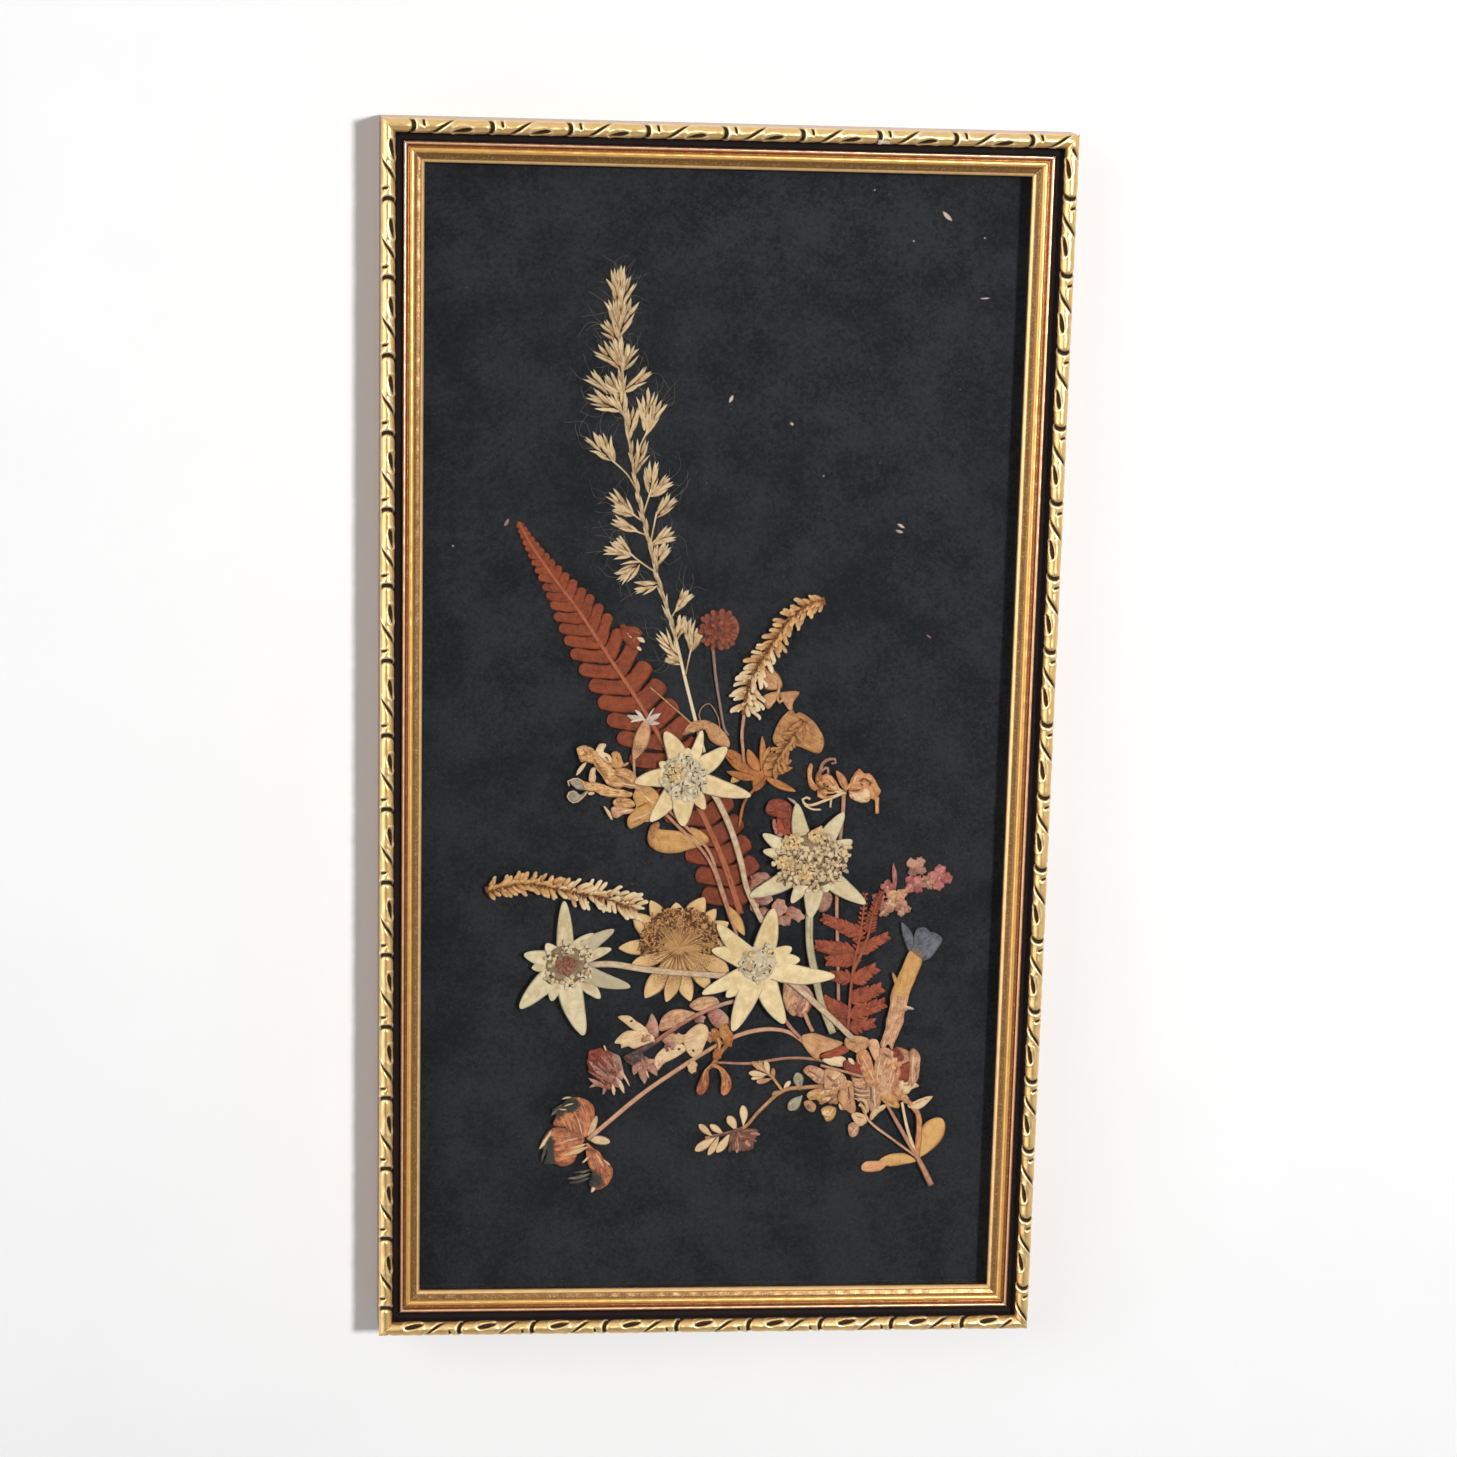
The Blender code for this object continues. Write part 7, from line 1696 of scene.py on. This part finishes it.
def leaves_at_bundle():
    """Broad leaf, oval leaves, leaflets and scraps."""
    broad = Pressed(LAYER_2, 93)
    broad.sheets([
        (0, (28.0, -90.2), (29.8, -89.3), (32.4, -89.3), (36.9, -90.8), (40.8, -92.3), (38.0, -94.4),
         (33.9, -95.7), (33.6, -98.0), (31.3, -96.5), (29.3, -93.9), (28.2, -91.9))
    ], wrinkle=0.2, axis=(1.0, -0.4))
    broad.build("broad_leaf", [TAN_LEAF], "tan_leaf", "broad_tan_leaf")
    right = Pressed(LAYER_2, 95)
    right.blade((65.2, -128.6), (72.0, -116.4), 7.6, belly=0.58, fullness=0.5, rows=24, columns=10,
                groove=0.05, tint=1.0)
    right.build("right_oval_leaf", [GOLDEN], "golden_leaf", "oval_leaf_right")
    low = Pressed(LAYER_2, 97)
    low.sheets([
        (0, (64.6, -129.9), (61.0, -127.6), (56.6, -127.7), (53.6, -129.2), (53.0, -130.8), (56.6, -131.6),
         (61.0, -131.0)),
        (1, (56.0, -130.0), (52.6, -129.8), (49.0, -130.0), (47.6, -131.6), (48.6, -133.2), (53.4, -133.0))
    ], crown=0.2, tint=0.9)
    low.build("low_oval_leaves", [GOLDEN, APRICOT], "golden_leaf", "oval_leaf_low")
    leaflets = Pressed(LAYER_1, 99)
    leaflets.sheets([
        (0, (43.1, -118.4), (44.9, -117.3), (46.5, -118.9), (45.7, -121.6), (43.8, -121.9)),
        (1, (44.0, -114.7), (46.3, -114.2), (48.7, -115.6), (48.6, -117.5), (46.4, -118.6), (44.8, -116.9))
    ])
    leaflets.blades([((46.6, -117.8), (44.2, -121.2), 0.6, 1), ((48.0, -116.2), (44.8, -115.2), 0.5, 0)],
                    raised=0.25)
    leaflets.build("round_leaflet_pair", [PINK_TAN, CREAM_LEAF], "pink_tan_leaf")
    scrap = Pressed(LAYER_2 + 0.35, 101)
    scrap.sheets([(0, (33.8, -96.2), (36.4, -94.9), (40.7, -93.0), (42.6, -94.0), (41.8, -95.3),
                   (38.9, -96.6), (35.2, -97.1))])
    scrap.build("rust_scrap", [RED_ORANGE], "rust_petal")
    cream = Pressed(LAYER_2 + 0.3, 103)
    cream.sheets([(0, (34.5, -97.4), (38.9, -96.3), (41.5, -96.9), (41.8, -99.1), (39.4, -99.7),
                   (36.6, -99.0))])
    cream.build("cream_scrap", [CREAM_LEAF], "tan_leaf")


def char_of_flower(x, y):
    """Charred places of the three-petalled flower."""
    places = ((-43.6, -110.8, 2.9), (-40.8, -111.4, 2.3), (-46.4, -113.8, 2.4), (-48.4, -122.6, 2.1),
              (-48.6, -126.0, 2.5), (-48.0, -129.2, 2.1), (-33.8, -135.4, 2.6), (-36.0, -134.2, 2.4))
    return sum(0.9 * np.exp(-((x - a) ** 2 + (y - b) ** 2) / r ** 2) for a, b, r in places)


def charred_flower():
    """Three charred petals, folded and streaked."""
    flower = Pressed(LAYER_1, 111)
    for i, outline in enumerate(([(-37.0, -121.4), (-35.6, -117.6), (-34.4, -114.2), (-35.2, -111.2),
                                  (-38.4, -109.2), (-42.4, -109.0), (-44.0, -110.8), (-47.4, -112.8),
                                  (-46.2, -114.8), (-46.9, -117.8), (-42.9, -118.4), (-39.8, -120.4)],
                                 [(-37.4, -121.8), (-41.4, -119.4), (-45.2, -118.3), (-48.6, -119.8),
                                  (-50.9, -124.8), (-48.6, -126.0), (-49.6, -129.8), (-46.6, -129.9),
                                  (-43.6, -130.8), (-40.6, -129.4), (-39.2, -125.8)],
                                 [(-37.0, -123.4), (-34.4, -125.2), (-33.0, -126.0), (-31.5, -128.5),
                                  (-28.8, -131.4), (-28.9, -134.4), (-30.8, -137.2), (-33.6, -138.4),
                                  (-36.0, -136.6), (-35.0, -133.4), (-36.4, -129.4)])):
        flower.patch(outline, spacing=0.6, wrinkle=0.26, size=2.6, lift=-0.08 + 0.08 * i,
                     burn=char_of_flower, axis=((-0.4, 1.0), (-1.0, -0.2), (0.2, -1.0))[i])
    flower.blades([((-38.0, -121.4), tip, width, finish) for tip, width,
                   finish in (((-44.8, -116.4), 0.5, 2), ((-42.8, -114.6), 0.6, 2),
                              ((-40.2, -114.0), 0.5, 1), ((-37.8, -113.6), 0.6, 2),
                              ((-46.0, -121.0), 0.6, 2), ((-45.4, -123.4), 0.5, 1),
                              ((-43.8, -125.8), 0.6, 2))], raised=0.3, wrinkle=0.12)
    flower.blades([
        ((-36.2, -124.4), (-43.8, -127.2), 1.8, 1), ((-37.0, -123.6), (-41.4, -124.8), 1.2, 1),
        ((-35.0, -126.2), (-33.4, -132.4), 1.0, 2), ((-34.0, -126.6), (-31.6, -131.0), 0.9, 1),
        ((-36.0, -127.6), (-38.0, -129.6), 0.9, 1), ((-31.6, -128.6), (-29.4, -130.4), 0.7, 1),
        ((-47.6, -119.4), (-51.2, -125.2), 1.6, 1), ((-44.4, -109.4), (-41.6, -108.8), 0.9, 1),
        ((-43.8, -111.6), (-40.8, -110.8), 0.5, 1), ((-45.4, -112.6), (-42.8, -112.8), 0.5, 1),
        ((-35.4, -133.0), (-42.4, -134.6), 1.4, 3), ((-35.6, -134.4), (-42.0, -136.0), 1.2, 3),
        ((-35.4, -131.8), (-40.6, -132.6), 1.0, 3), ((-34.0, -136.6), (-35.2, -139.0), 1.3, 1),
        ((-48.6, -122.0), (-50.4, -129.8), 1.2, 3), ((-44.4, -111.0), (-47.8, -114.6), 1.2, 3)
    ], raised=0.26, wrinkle=0.2, ragged=0.2)
    flower.build("charred_petals", [ORANGE_RUST, CREAM_LEAF, BROWN_PINK, CHAR], "rust_petal",
                 "charred_flower_petals")


def arched_stem():
    """Long arched stem and the calyx at its end."""
    arch = Pressed(LAYER_3, 113)
    arch.stem([(-36.4, -122.6), (-29.0, -116.0), (-20.0, -108.2), (-10.0, -101.0), (0.0, -94.4),
               (7.0, -90.6), (13.0, -88.6), (19.0, -88.0), (24.6, -89.2), (30.0, -93.0)], 1.6, 1.3,
              groove=0.08, columns=6)
    arch.blades([((-36.0, -121.8), (-33.8, -115.2), 2.2, 1), ((-36.4, -121.4), (-35.8, -117.0), 1.3, 1),
                 ((-35.8, -122.4), (-29.6, -123.4), 3.0, 1)], fullness=0.5, groove=0.1)
    arch.build("arched_stem_and_calyx", [PINK_STEM, CREAM_LEAF], "pink_tan_leaf", "arched_stem")


def rust_bud():
    """Rust bud with a cream frill on its right."""
    rust = Pressed(LAYER_2, 115)
    rust.lobes([(-32.6, -98.0, 4.0, 4.6, 20, 0), (-30.2, -99.8, 4.2, 5.4, 20, 2),
                (-29.8, -103.2, 3.8, 3.4, 0, 2), (-34.4, -98.8, 2.4, 3.6, 10, 0)])
    rust.blades([
        ((-27.4, -105.4), (-36.4, -97.6), 2.2, 2), ((-26.6, -103.6), (-34.8, -94.6), 2.2, 0),
        ((-26.0, -101.4), (-31.6, -93.4), 2.2, 0), ((-28.6, -106.4), (-36.8, -100.6), 2.0, 0),
        ((-29.6, -106.0), (-33.6, -97.6), 0.8, 2), ((-28.4, -105.0), (-32.2, -96.4), 0.7, 2),
        ((-31.0, -106.4), (-36.4, -103.0), 1.8, 2), ((-27.6, -103.0), (-29.4, -95.6), 1.8, 2),
        ((-29.0, -97.4), (-24.8, -103.8), 1.3, 1), ((-27.0, -99.6), (-23.9, -105.6), 0.9, 1),
        ((-28.0, -102.6), (-25.6, -107.8), 1.6, 1), ((-32.0, -104.0), (-36.2, -105.8), 1.4, 2),
        ((-30.6, -104.6), (-32.0, -108.2), 1.3, 2), ((-29.2, -105.0), (-28.6, -108.4), 1.4, 1),
        ((-31.4, -94.4), (-32.0, -92.6), 0.7, 1), ((-26.8, -100.6), (-31.8, -94.8), 0.6, 2),
        ((-28.0, -104.0), (-34.6, -97.2), 0.7, 2), ((-30.2, -105.8), (-36.2, -100.8), 0.6, 2),
        ((-27.4, -102.0), (-33.2, -95.8), 0.6, 2)
    ], raised=0.34, wrinkle=0.14, ragged=0.2, groove=0.1)
    rust.build("rust_bud_petals", [RUST, CREAM_LEAF, BROWN_PINK], "rust_petal", "rust_bud")


def grey_bud():
    """Small grey bud."""
    grey = Pressed(LAYER_1, 117)
    grey.lobes([(-20.2, -98.8, 3.2, 2.8, 0, 0), (-22.0, -97.0, 2.2, 1.8, -20, 1)])
    grey.blades([
        ((-20.4, -97.0), (-19.4, -104.8), 3.0, 2), ((-19.4, -97.4), (-15.7, -102.2), 2.6, 2),
        ((-21.0, -97.6), (-22.8, -102.0), 2.8, 0), ((-20.0, -98.8), (-16.4, -97.2), 2.4, 0),
        ((-20.4, -98.0), (-25.6, -95.6), 1.5, 1), ((-20.0, -97.4), (-23.6, -94.8), 1.3, 1),
        ((-19.6, -97.4), (-20.8, -94.8), 1.3, 1), ((-20.6, -98.8), (-25.4, -97.6), 1.3, 1),
        ((-20.0, -99.4), (-18.2, -103.0), 0.8, 3), ((-20.8, -98.6), (-21.4, -101.8), 0.7, 3)
    ], wrinkle=0.18, ragged=0.2)
    grey.build("grey_bud_petals", [DUSKY, DARK_STEM, BROWN_PINK, CREAM_LEAF], "pink_tan_leaf", "grey_bud")


def leafy_stem():
    """Pink leafy stem."""
    leafy = Pressed(LAYER_2, 119)
    leafy.stem([(-25.6, -97.4), (-20.0, -93.9), (-15.4, -91.0)], 2.4, 2.0, finish=4)
    leafy.stem([(-16.4, -91.6), (-10.0, -87.0), (-4.4, -83.5), (3.0, -80.2), (9.0, -78.6)], 1.5, 1.3,
               finish=5, lift=0.2)
    leafy.sheets([
        (3, (-27.9, -83.9), (-24.7, -83.5), (-22.4, -85.2), (-19.5, -87.2), (-16.6, -90.6), (-20.2, -89.3),
         (-23.5, -87.7), (-25.8, -85.8)),
        (5, (-15.8, -90.6), (-15.6, -86.8), (-17.6, -82.9), (-18.8, -85.6), (-19.6, -87.6), (-17.6, -89.8)),
        (3, (-16.2, -91.0), (-19.0, -88.9), (-22.6, -88.2), (-25.8, -88.6), (-28.8, -91.8), (-27.0, -92.5),
         (-26.6, -93.7), (-24.6, -93.1), (-22.8, -93.9), (-20.0, -92.8), (-17.0, -92.4)),
        (0, (-15.4, -87.9), (-14.6, -84.2), (-11.5, -81.7), (-7.9, -81.7), (-4.2, -83.1), (-7.2, -85.6),
         (-10.8, -87.4), (-13.6, -88.2)),
        (3, (-7.9, -90.6), (-5.8, -87.6), (-2.9, -86.0), (-0.8, -87.1), (-0.3, -89.9), (-1.5, -92.8),
         (-2.9, -96.2), (-5.0, -96.6), (-7.2, -94.2)),
        (3, (-16.6, -97.1), (-14.3, -94.0), (-10.0, -91.9), (-7.0, -94.2), (-10.8, -97.1), (-13.6, -98.5),
         (-15.4, -100.7), (-16.8, -100.3)),
        (0, (-6.4, -80.6), (-3.4, -77.9), (1.4, -77.8), (2.6, -80.4), (-2.0, -82.4)),
        (5, (-0.8, -83.0), (2.6, -81.4), (5.9, -84.6), (5.6, -87.6), (1.8, -87.4))
    ], wrinkle=0.16, axis=(1.0, 0.4))
    leafy.lobes([
        (-12.4, -90.6, 2.3, 1.7, 30, 0), (-9.4, -91.0, 2.2, 1.9, 20, 3), (-11.8, -93.2, 2.2, 1.5, 30, 5),
        (-5.0, -99.6, 1.5, 2.0, 0, 3), (-19.4, -90.6, 1.9, 1.3, 10, 5), (-3.2, -84.6, 1.8, 1.4, 0, 5),
        (-14.6, -98.0, 1.4, 1.0, 30, 0), (0.4, -90.2, 1.3, 1.8, 0, 0)
    ])
    for centre in ((-23.8, -85.1), (-9.2, -94.0), (-4.8, -94.4)):
        leafy.lump(centre, 0.42, 0.12, 1.2, 30, 0.34, 2)
    leafy.build("leafy_stem_leaves", [PINK_TAN, PINK_STEM, SCALE_TIPS, CREAM_LEAF, DARK_STEM, BROWN_PINK],
                "pink_tan_leaf", "pink_leafy_stem")


def orange_pods():
    """Opened orange pods."""
    pods = Pressed(LAYER_1, 121)
    pods.lobes([(4.6, -88.6, 1.8, 2.6, 0, 1), (1.6, -89.6, 1.4, 2.2, 10, 0), (5.6, -91.6, 1.5, 1.9, 0, 0),
                (2.4, -95.4, 1.5, 1.9, 0, 0)])
    pods.stem([(4.4, -86.2), (6.4, -90.4), (3.0, -95.6), (0.6, -99.6)], 1.7, 1.3, groove=0.1, columns=8)
    pods.stem([(0.8, -87.6), (3.0, -92.0), (2.2, -96.6)], 1.2, 1.2, groove=0.06, finish=1)
    for route in ([(1.2, -98.8), (-0.8, -100.8), (-1.4, -104.4), (-3.0, -108.4)],
                  [(1.0, -98.8), (3.8, -100.4), (5.4, -104.4), (4.6, -108.6)]):
        shares = np.linspace(0, 1, 20)
        pods.ribbon(along_route(smooth(route), shares), 1.65 * oval(shares, 0.72, 0.45, 0.5), 0.4, 2, 8,
                    groove=0.1)
        pods.stem([np.add(spot, (-0.5, 0.1)) for spot in route[:3]], 0.5, 0.6, 0.2, lift=0.3, finish=1)
    pods.build("orange_pod_valves", [ORANGE_BROWN, GOLDEN, ORANGE_RUST], "orange_brown_leaf", "orange_pods")


def thin_stem():
    """Thin straight stem behind the pods."""
    straw = Pressed(LAYER_4, 123)
    straw.stem([(2.4, -98.6), (13.0, -98.9), (24.0, -97.3), (34.0, -98.0), (47.6, -101.6)], 0.9, 1.0)
    straw.build("thin_stem", [PINK_STEM], "pink_tan_leaf", "thin_straw_stem")


def lower_sprig():
    """Lower sprig with leaflets and a brown seed head."""
    sprig = Pressed(LAYER_3, 125)
    sprig.stem([(42.0, -105.6), (30.0, -106.4), (22.6, -107.6), (15.6, -114.0), (10.6, -119.4),
                (-0.6, -122.4)], 1.5, 1.0)
    sprig.stem([(22.6, -107.4), (18.4, -102.0), (14.6, -100.2)], 1.0, 1.0)
    sprig.blades([
        ((1.6, -121.8), (-2.6, -118.0), 2.2, 2), ((5.0, -121.2), (0.8, -118.2), 2.2, 2),
        ((8.8, -120.0), (6.2, -115.4), 2.9, 2), ((11.0, -118.6), (10.6, -112.0), 2.6, 2),
        ((2.8, -122.0), (-3.6, -126.4), 3.0, 2), ((3.6, -121.6), (0.4, -127.8), 2.2, 2),
        ((7.0, -120.8), (3.0, -127.0), 2.8, 2), ((18.0, -102.4), (12.2, -101.8), 2.0, 2),
        ((17.6, -101.8), (13.0, -98.2), 1.9), ((18.4, -102.4), (17.2, -98.0), 1.9, 2),
        ((19.4, -103.6), (14.6, -104.6), 1.9), ((17.0, -101.0), (15.2, -97.8), 1.3),
        ((20.0, -104.0), (19.6, -100.2), 1.5), ((17.2, -103.0), (13.0, -103.6), 1.4, 2),
        ((28.0, -107.4), (27.0, -101.8), 3.4, 4), ((28.8, -109.0), (24.8, -113.6), 3.8, 4),
        ((22.6, -107.6), (19.4, -108.6), 1.8), ((23.0, -107.4), (25.0, -104.4), 1.6, 2)
    ], belly=0.64, fullness=0.6, groove=0.1, wrinkle=0.12)
    sprig.sheets([
        (3, (30.2, -108.6), (32.8, -106.9), (35.7, -106.4), (39.9, -107.0), (40.4, -109.2), (39.5, -111.9),
         (37.3, -110.9), (34.4, -111.9), (33.7, -110.4), (31.2, -110.4)),
        (0, (29.3, -111.2), (31.2, -110.5), (33.1, -112.2), (32.6, -114.2), (30.6, -113.7)),
        (3, (34.7, -113.5), (36.9, -112.3), (39.3, -113.2), (38.7, -116.4), (36.8, -117.3), (35.5, -115.5)),
        (2, (40.1, -111.5), (42.2, -111.8), (42.5, -113.5), (40.6, -113.5))
    ], wrinkle=0.22, size=1.8)
    sprig.lobes([
        (31.6, -108.4, 1.3, 0.9, 20, 2), (33.6, -107.8, 1.2, 1.0, -20, 0), (35.8, -107.6, 1.3, 0.9, 10, 5),
        (38.4, -108.0, 1.4, 1.0, -15, 3), (39.0, -110.2, 1.1, 1.0, 60, 0), (36.6, -109.8, 1.3, 0.9, 30, 2),
        (34.6, -110.6, 1.1, 0.9, -30, 5), (32.4, -109.6, 1.0, 0.8, 0, 0), (37.8, -111.0, 1.0, 0.8, 0, 5),
        (36.2, -114.4, 1.2, 1.1, 40, 2), (38.0, -113.8, 1.0, 0.8, 0, 0), (36.8, -116.2, 1.0, 0.8, 20, 0),
        (31.2, -112.4, 1.0, 0.9, 0, 5), (41.4, -112.6, 0.8, 0.9, 0, 0)
    ])
    sprig.blades([
        ((30.8, -109.2), (34.6, -107.6), 1.0, 2), ((33.8, -108.6), (37.6, -107.2), 1.3, 2),
        ((35.6, -109.4), (39.6, -108.6), 0.8, 5), ((34.8, -110.6), (37.4, -109.0), 1.2, 2),
        ((37.4, -110.4), (39.4, -109.4), 0.7, 5), ((36.2, -116.6), (38.4, -113.2), 0.8, 2),
        ((36.0, -113.6), (37.0, -116.0), 0.6, 5), ((30.6, -111.6), (32.0, -113.6), 0.6, 5)
    ], raised=0.28, fullness=0.6, rows=12, columns=5, ragged=0.12)
    sprig.stem([(10.6, -119.4), (6.0, -121.0), (0.8, -122.0)], 0.8, 0.6, finish=6, lift=0.2)
    sprig.patch([(7.4, -120.0), (10.0, -119.0), (13.2, -120.0), (14.2, -123.2), (14.2, -125.8),
                 (11.2, -126.6), (8.2, -126.2), (6.6, -124.2)], finish=1, crown=0.1, wrinkle=0.18)
    for k in range(12):
        end = np.array([8.8, -119.6]) + turned((7.4, 0.0), -4 - 9.2 * k) * (0.94 + 0.08 * (k % 2))
        sprig.blade((8.8, -119.8), end, 1.5, belly=0.7, fullness=0.5, finish=(1, 5, 1, 6)[k % 4],
                    lift=0.1 + 0.04 * (k % 2), groove=0.12, ragged=0.15)
    sprig.build("lower_sprig_leaflets", [TAN_LEAF, SEED_BROWN, CREAM_LEAF, GOLDEN, GREY_GREEN, BROWN_PINK,
                                         DARK_STEM], "ochre_spike", "lower_sprig")


def loose_crumbs():
    """Seeds, florets and crumbs that were shaken off and lie on the card."""
    crumbs = Pressed(CARD_FRONT + 0.22, 131)
    crumbs.blade((1.6, 101.2), (2.6, 103.4), 1.1, columns=4, rows=8)
    crumbs.blade((62.4, 157.4), (65.2, 154.8), 1.3, columns=4, rows=8)
    crumbs.blade((-63.4, 64.2), (-62.2, 66.4), 1.1, finish=1, columns=4, rows=8)
    crumbs.blade((74.3, 132.7), (77.1, 132.9), 0.5, columns=4, rows=8)
    crumbs.blade((52.2, 66.3), (54.4, 65.1), 0.9, columns=4, rows=8)
    crumbs.blade((51.8, 64.5), (54.0, 63.8), 0.9, columns=4, rows=8)
    crumbs.blade((62.0, 33.5), (63.6, 32.3), 0.4, finish=1, columns=4, rows=8)
    for x, y, radius in ((20.1, 95.3, 0.4), (42.3, 163.1, 0.2),
                         (75.0, 150.1, 0.22), (54.2, 148.8, 0.18), (29.9, 80.2, 0.2), (-78.3, 58.2, 0.25)):
        crumbs.lump((x, y), radius, 0.2, 1.4, crumbs.chance.uniform(0, 180))
    crumbs.build("loose_crumbs", [WHITE_PETAL, DUSKY], "straw")


# ---------------------------------------------------------------- stage

def wall_finish():
    """White wall that is seen only from the front, and lets the light behind it reach the frame's back."""
    material, bench, shader = coat("white wall", 1.0, specular=0.0)
    place = bench.place()
    plaster = bench.noise(place, 0.02, 3.0)
    bench.join(bench.mix(plaster, tone(244, 244, 244), tone(248, 248, 248)), shader.inputs["Base Color"])
    back = bench.add("ShaderNodeNewGeometry").outputs["Backfacing"]
    shadow = bench.add("ShaderNodeLightPath").outputs["Is Shadow Ray"]
    clear_where(bench, shader, bench.maths("MAXIMUM", back, shadow))
    return material


# Corners of the wall, just behind the frame, and of the floor far below it, in metres
STAGE = {"wall": [(-3, 0.001, -2.0), (3, 0.001, -2.0), (3, 0.001, 2.4), (-3, 0.001, 2.4)],
         "floor": [(-3, -2.2, -2.0), (3, -2.2, -2.0), (3, 3, -2.0), (-3, 3, -2.0)]}
# Place, size and power of each light
LIGHTS = {"key": ((0.44, -1.25, 0.08), 0.12, 14.4), "fill": ((-0.9, -0.9, 0.35), 0.8, 2.8),
          "left strip": ((-0.75, -0.3, -0.15), 0.5, 0.9), "behind": ((0.3, 1.2, 0.6), 0.9, 12.0)}
AMBIENT = 0.19
CAMERA_PLACE = (-0.07748, -0.87866, 0.01966)
CAMERA_AXES = ((0.99584, -0.08805, 0.02344), (-0.00665, 0.18635, 0.98246), (-0.09088, -0.97853, 0.18499))


def stage():
    """Wall behind the frame, pale floor far below, soft lights and the camera."""
    finish = wall_finish()
    for name, corners in STAGE.items():
        mesh = bpy.data.meshes.new(name)
        mesh.from_pydata(corners, [], [(0, 1, 2, 3)])
        mesh.materials.append(finish)
        thing = put(name, mesh)

    centre = Vector((0.0, 0.0, -NAIL_ABOVE_CENTRE * MM))
    for name, (place, size, power) in LIGHTS.items():
        data = bpy.data.lights.new(name, "AREA")
        data.size = size
        data.energy = power
        light = put(name, data)
        light.location = place
        light.rotation_euler = (centre - Vector(place)).to_track_quat("-Z", "Y").to_euler()

    world = bpy.data.worlds.new("studio")
    world.use_nodes = True
    bench = Bench(world.node_tree)
    direction = bench.add("ShaderNodeTexCoord").outputs["Generated"]
    parts = bench.add("ShaderNodeSeparateXYZ", {0: direction}).outputs
    front = bench.maths("MULTIPLY", parts[1], -1.0)
    room = bench.maths("ADD", bench.spread(parts[0], -0.15, -0.75, 0.14, 1.9),
                       bench.maths("ADD", bench.spread(parts[2], 0.05, 0.6, 0.0, 0.8),
                                   bench.spread(parts[0], 0.15, 0.7, 0.0, 0.58)))
    mirrored = bench.maths("MULTIPLY", room, bench.spread(front, 0.84, 0.94, 1.0, 0.3))
    path = bench.add("ShaderNodeLightPath").outputs
    strength = bench.maths("ADD", bench.maths("MULTIPLY", path["Is Glossy Ray"], mirrored),
                           bench.maths("MULTIPLY", bench.maths("SUBTRACT", 1.0, path["Is Glossy Ray"]),
                                       AMBIENT))
    background = world.node_tree.nodes["Background"]
    background.inputs["Color"].default_value = (1.0, 1.0, 1.0, 1.0)
    bench.join(strength, background.inputs["Strength"])
    bpy.context.scene.world = world
    bpy.context.scene.view_settings.view_transform = "Standard"

    data = bpy.data.cameras.new("camera")
    data.sensor_fit = "HORIZONTAL"
    data.sensor_width = 36.0
    data.lens = LENS
    data.clip_start = 0.01
    camera = put("camera", data)
    axes = Matrix(CAMERA_AXES).transposed().to_4x4()
    camera.matrix_world = Matrix.Translation(CAMERA_PLACE) @ axes
    bpy.context.scene.camera = camera


for make in (moulding, stack, edelweiss, grass, large_fern, small_fern, spikes, clover, masterwort,
             folded_leaves, heart_leaf, narrow_leaves, curved_leaf, petalled_pod, left_cluster, golden_leaf,
             rust_petals, tan_cluster, pink_sprig, straw_tube, blue_grey_petals, centre_petals, leaf_bundle,
             leaves_at_bundle, charred_flower, arched_stem, rust_bud, grey_bud, leafy_stem, orange_pods,
             thin_stem, lower_sprig, loose_crumbs, stage):
    make()
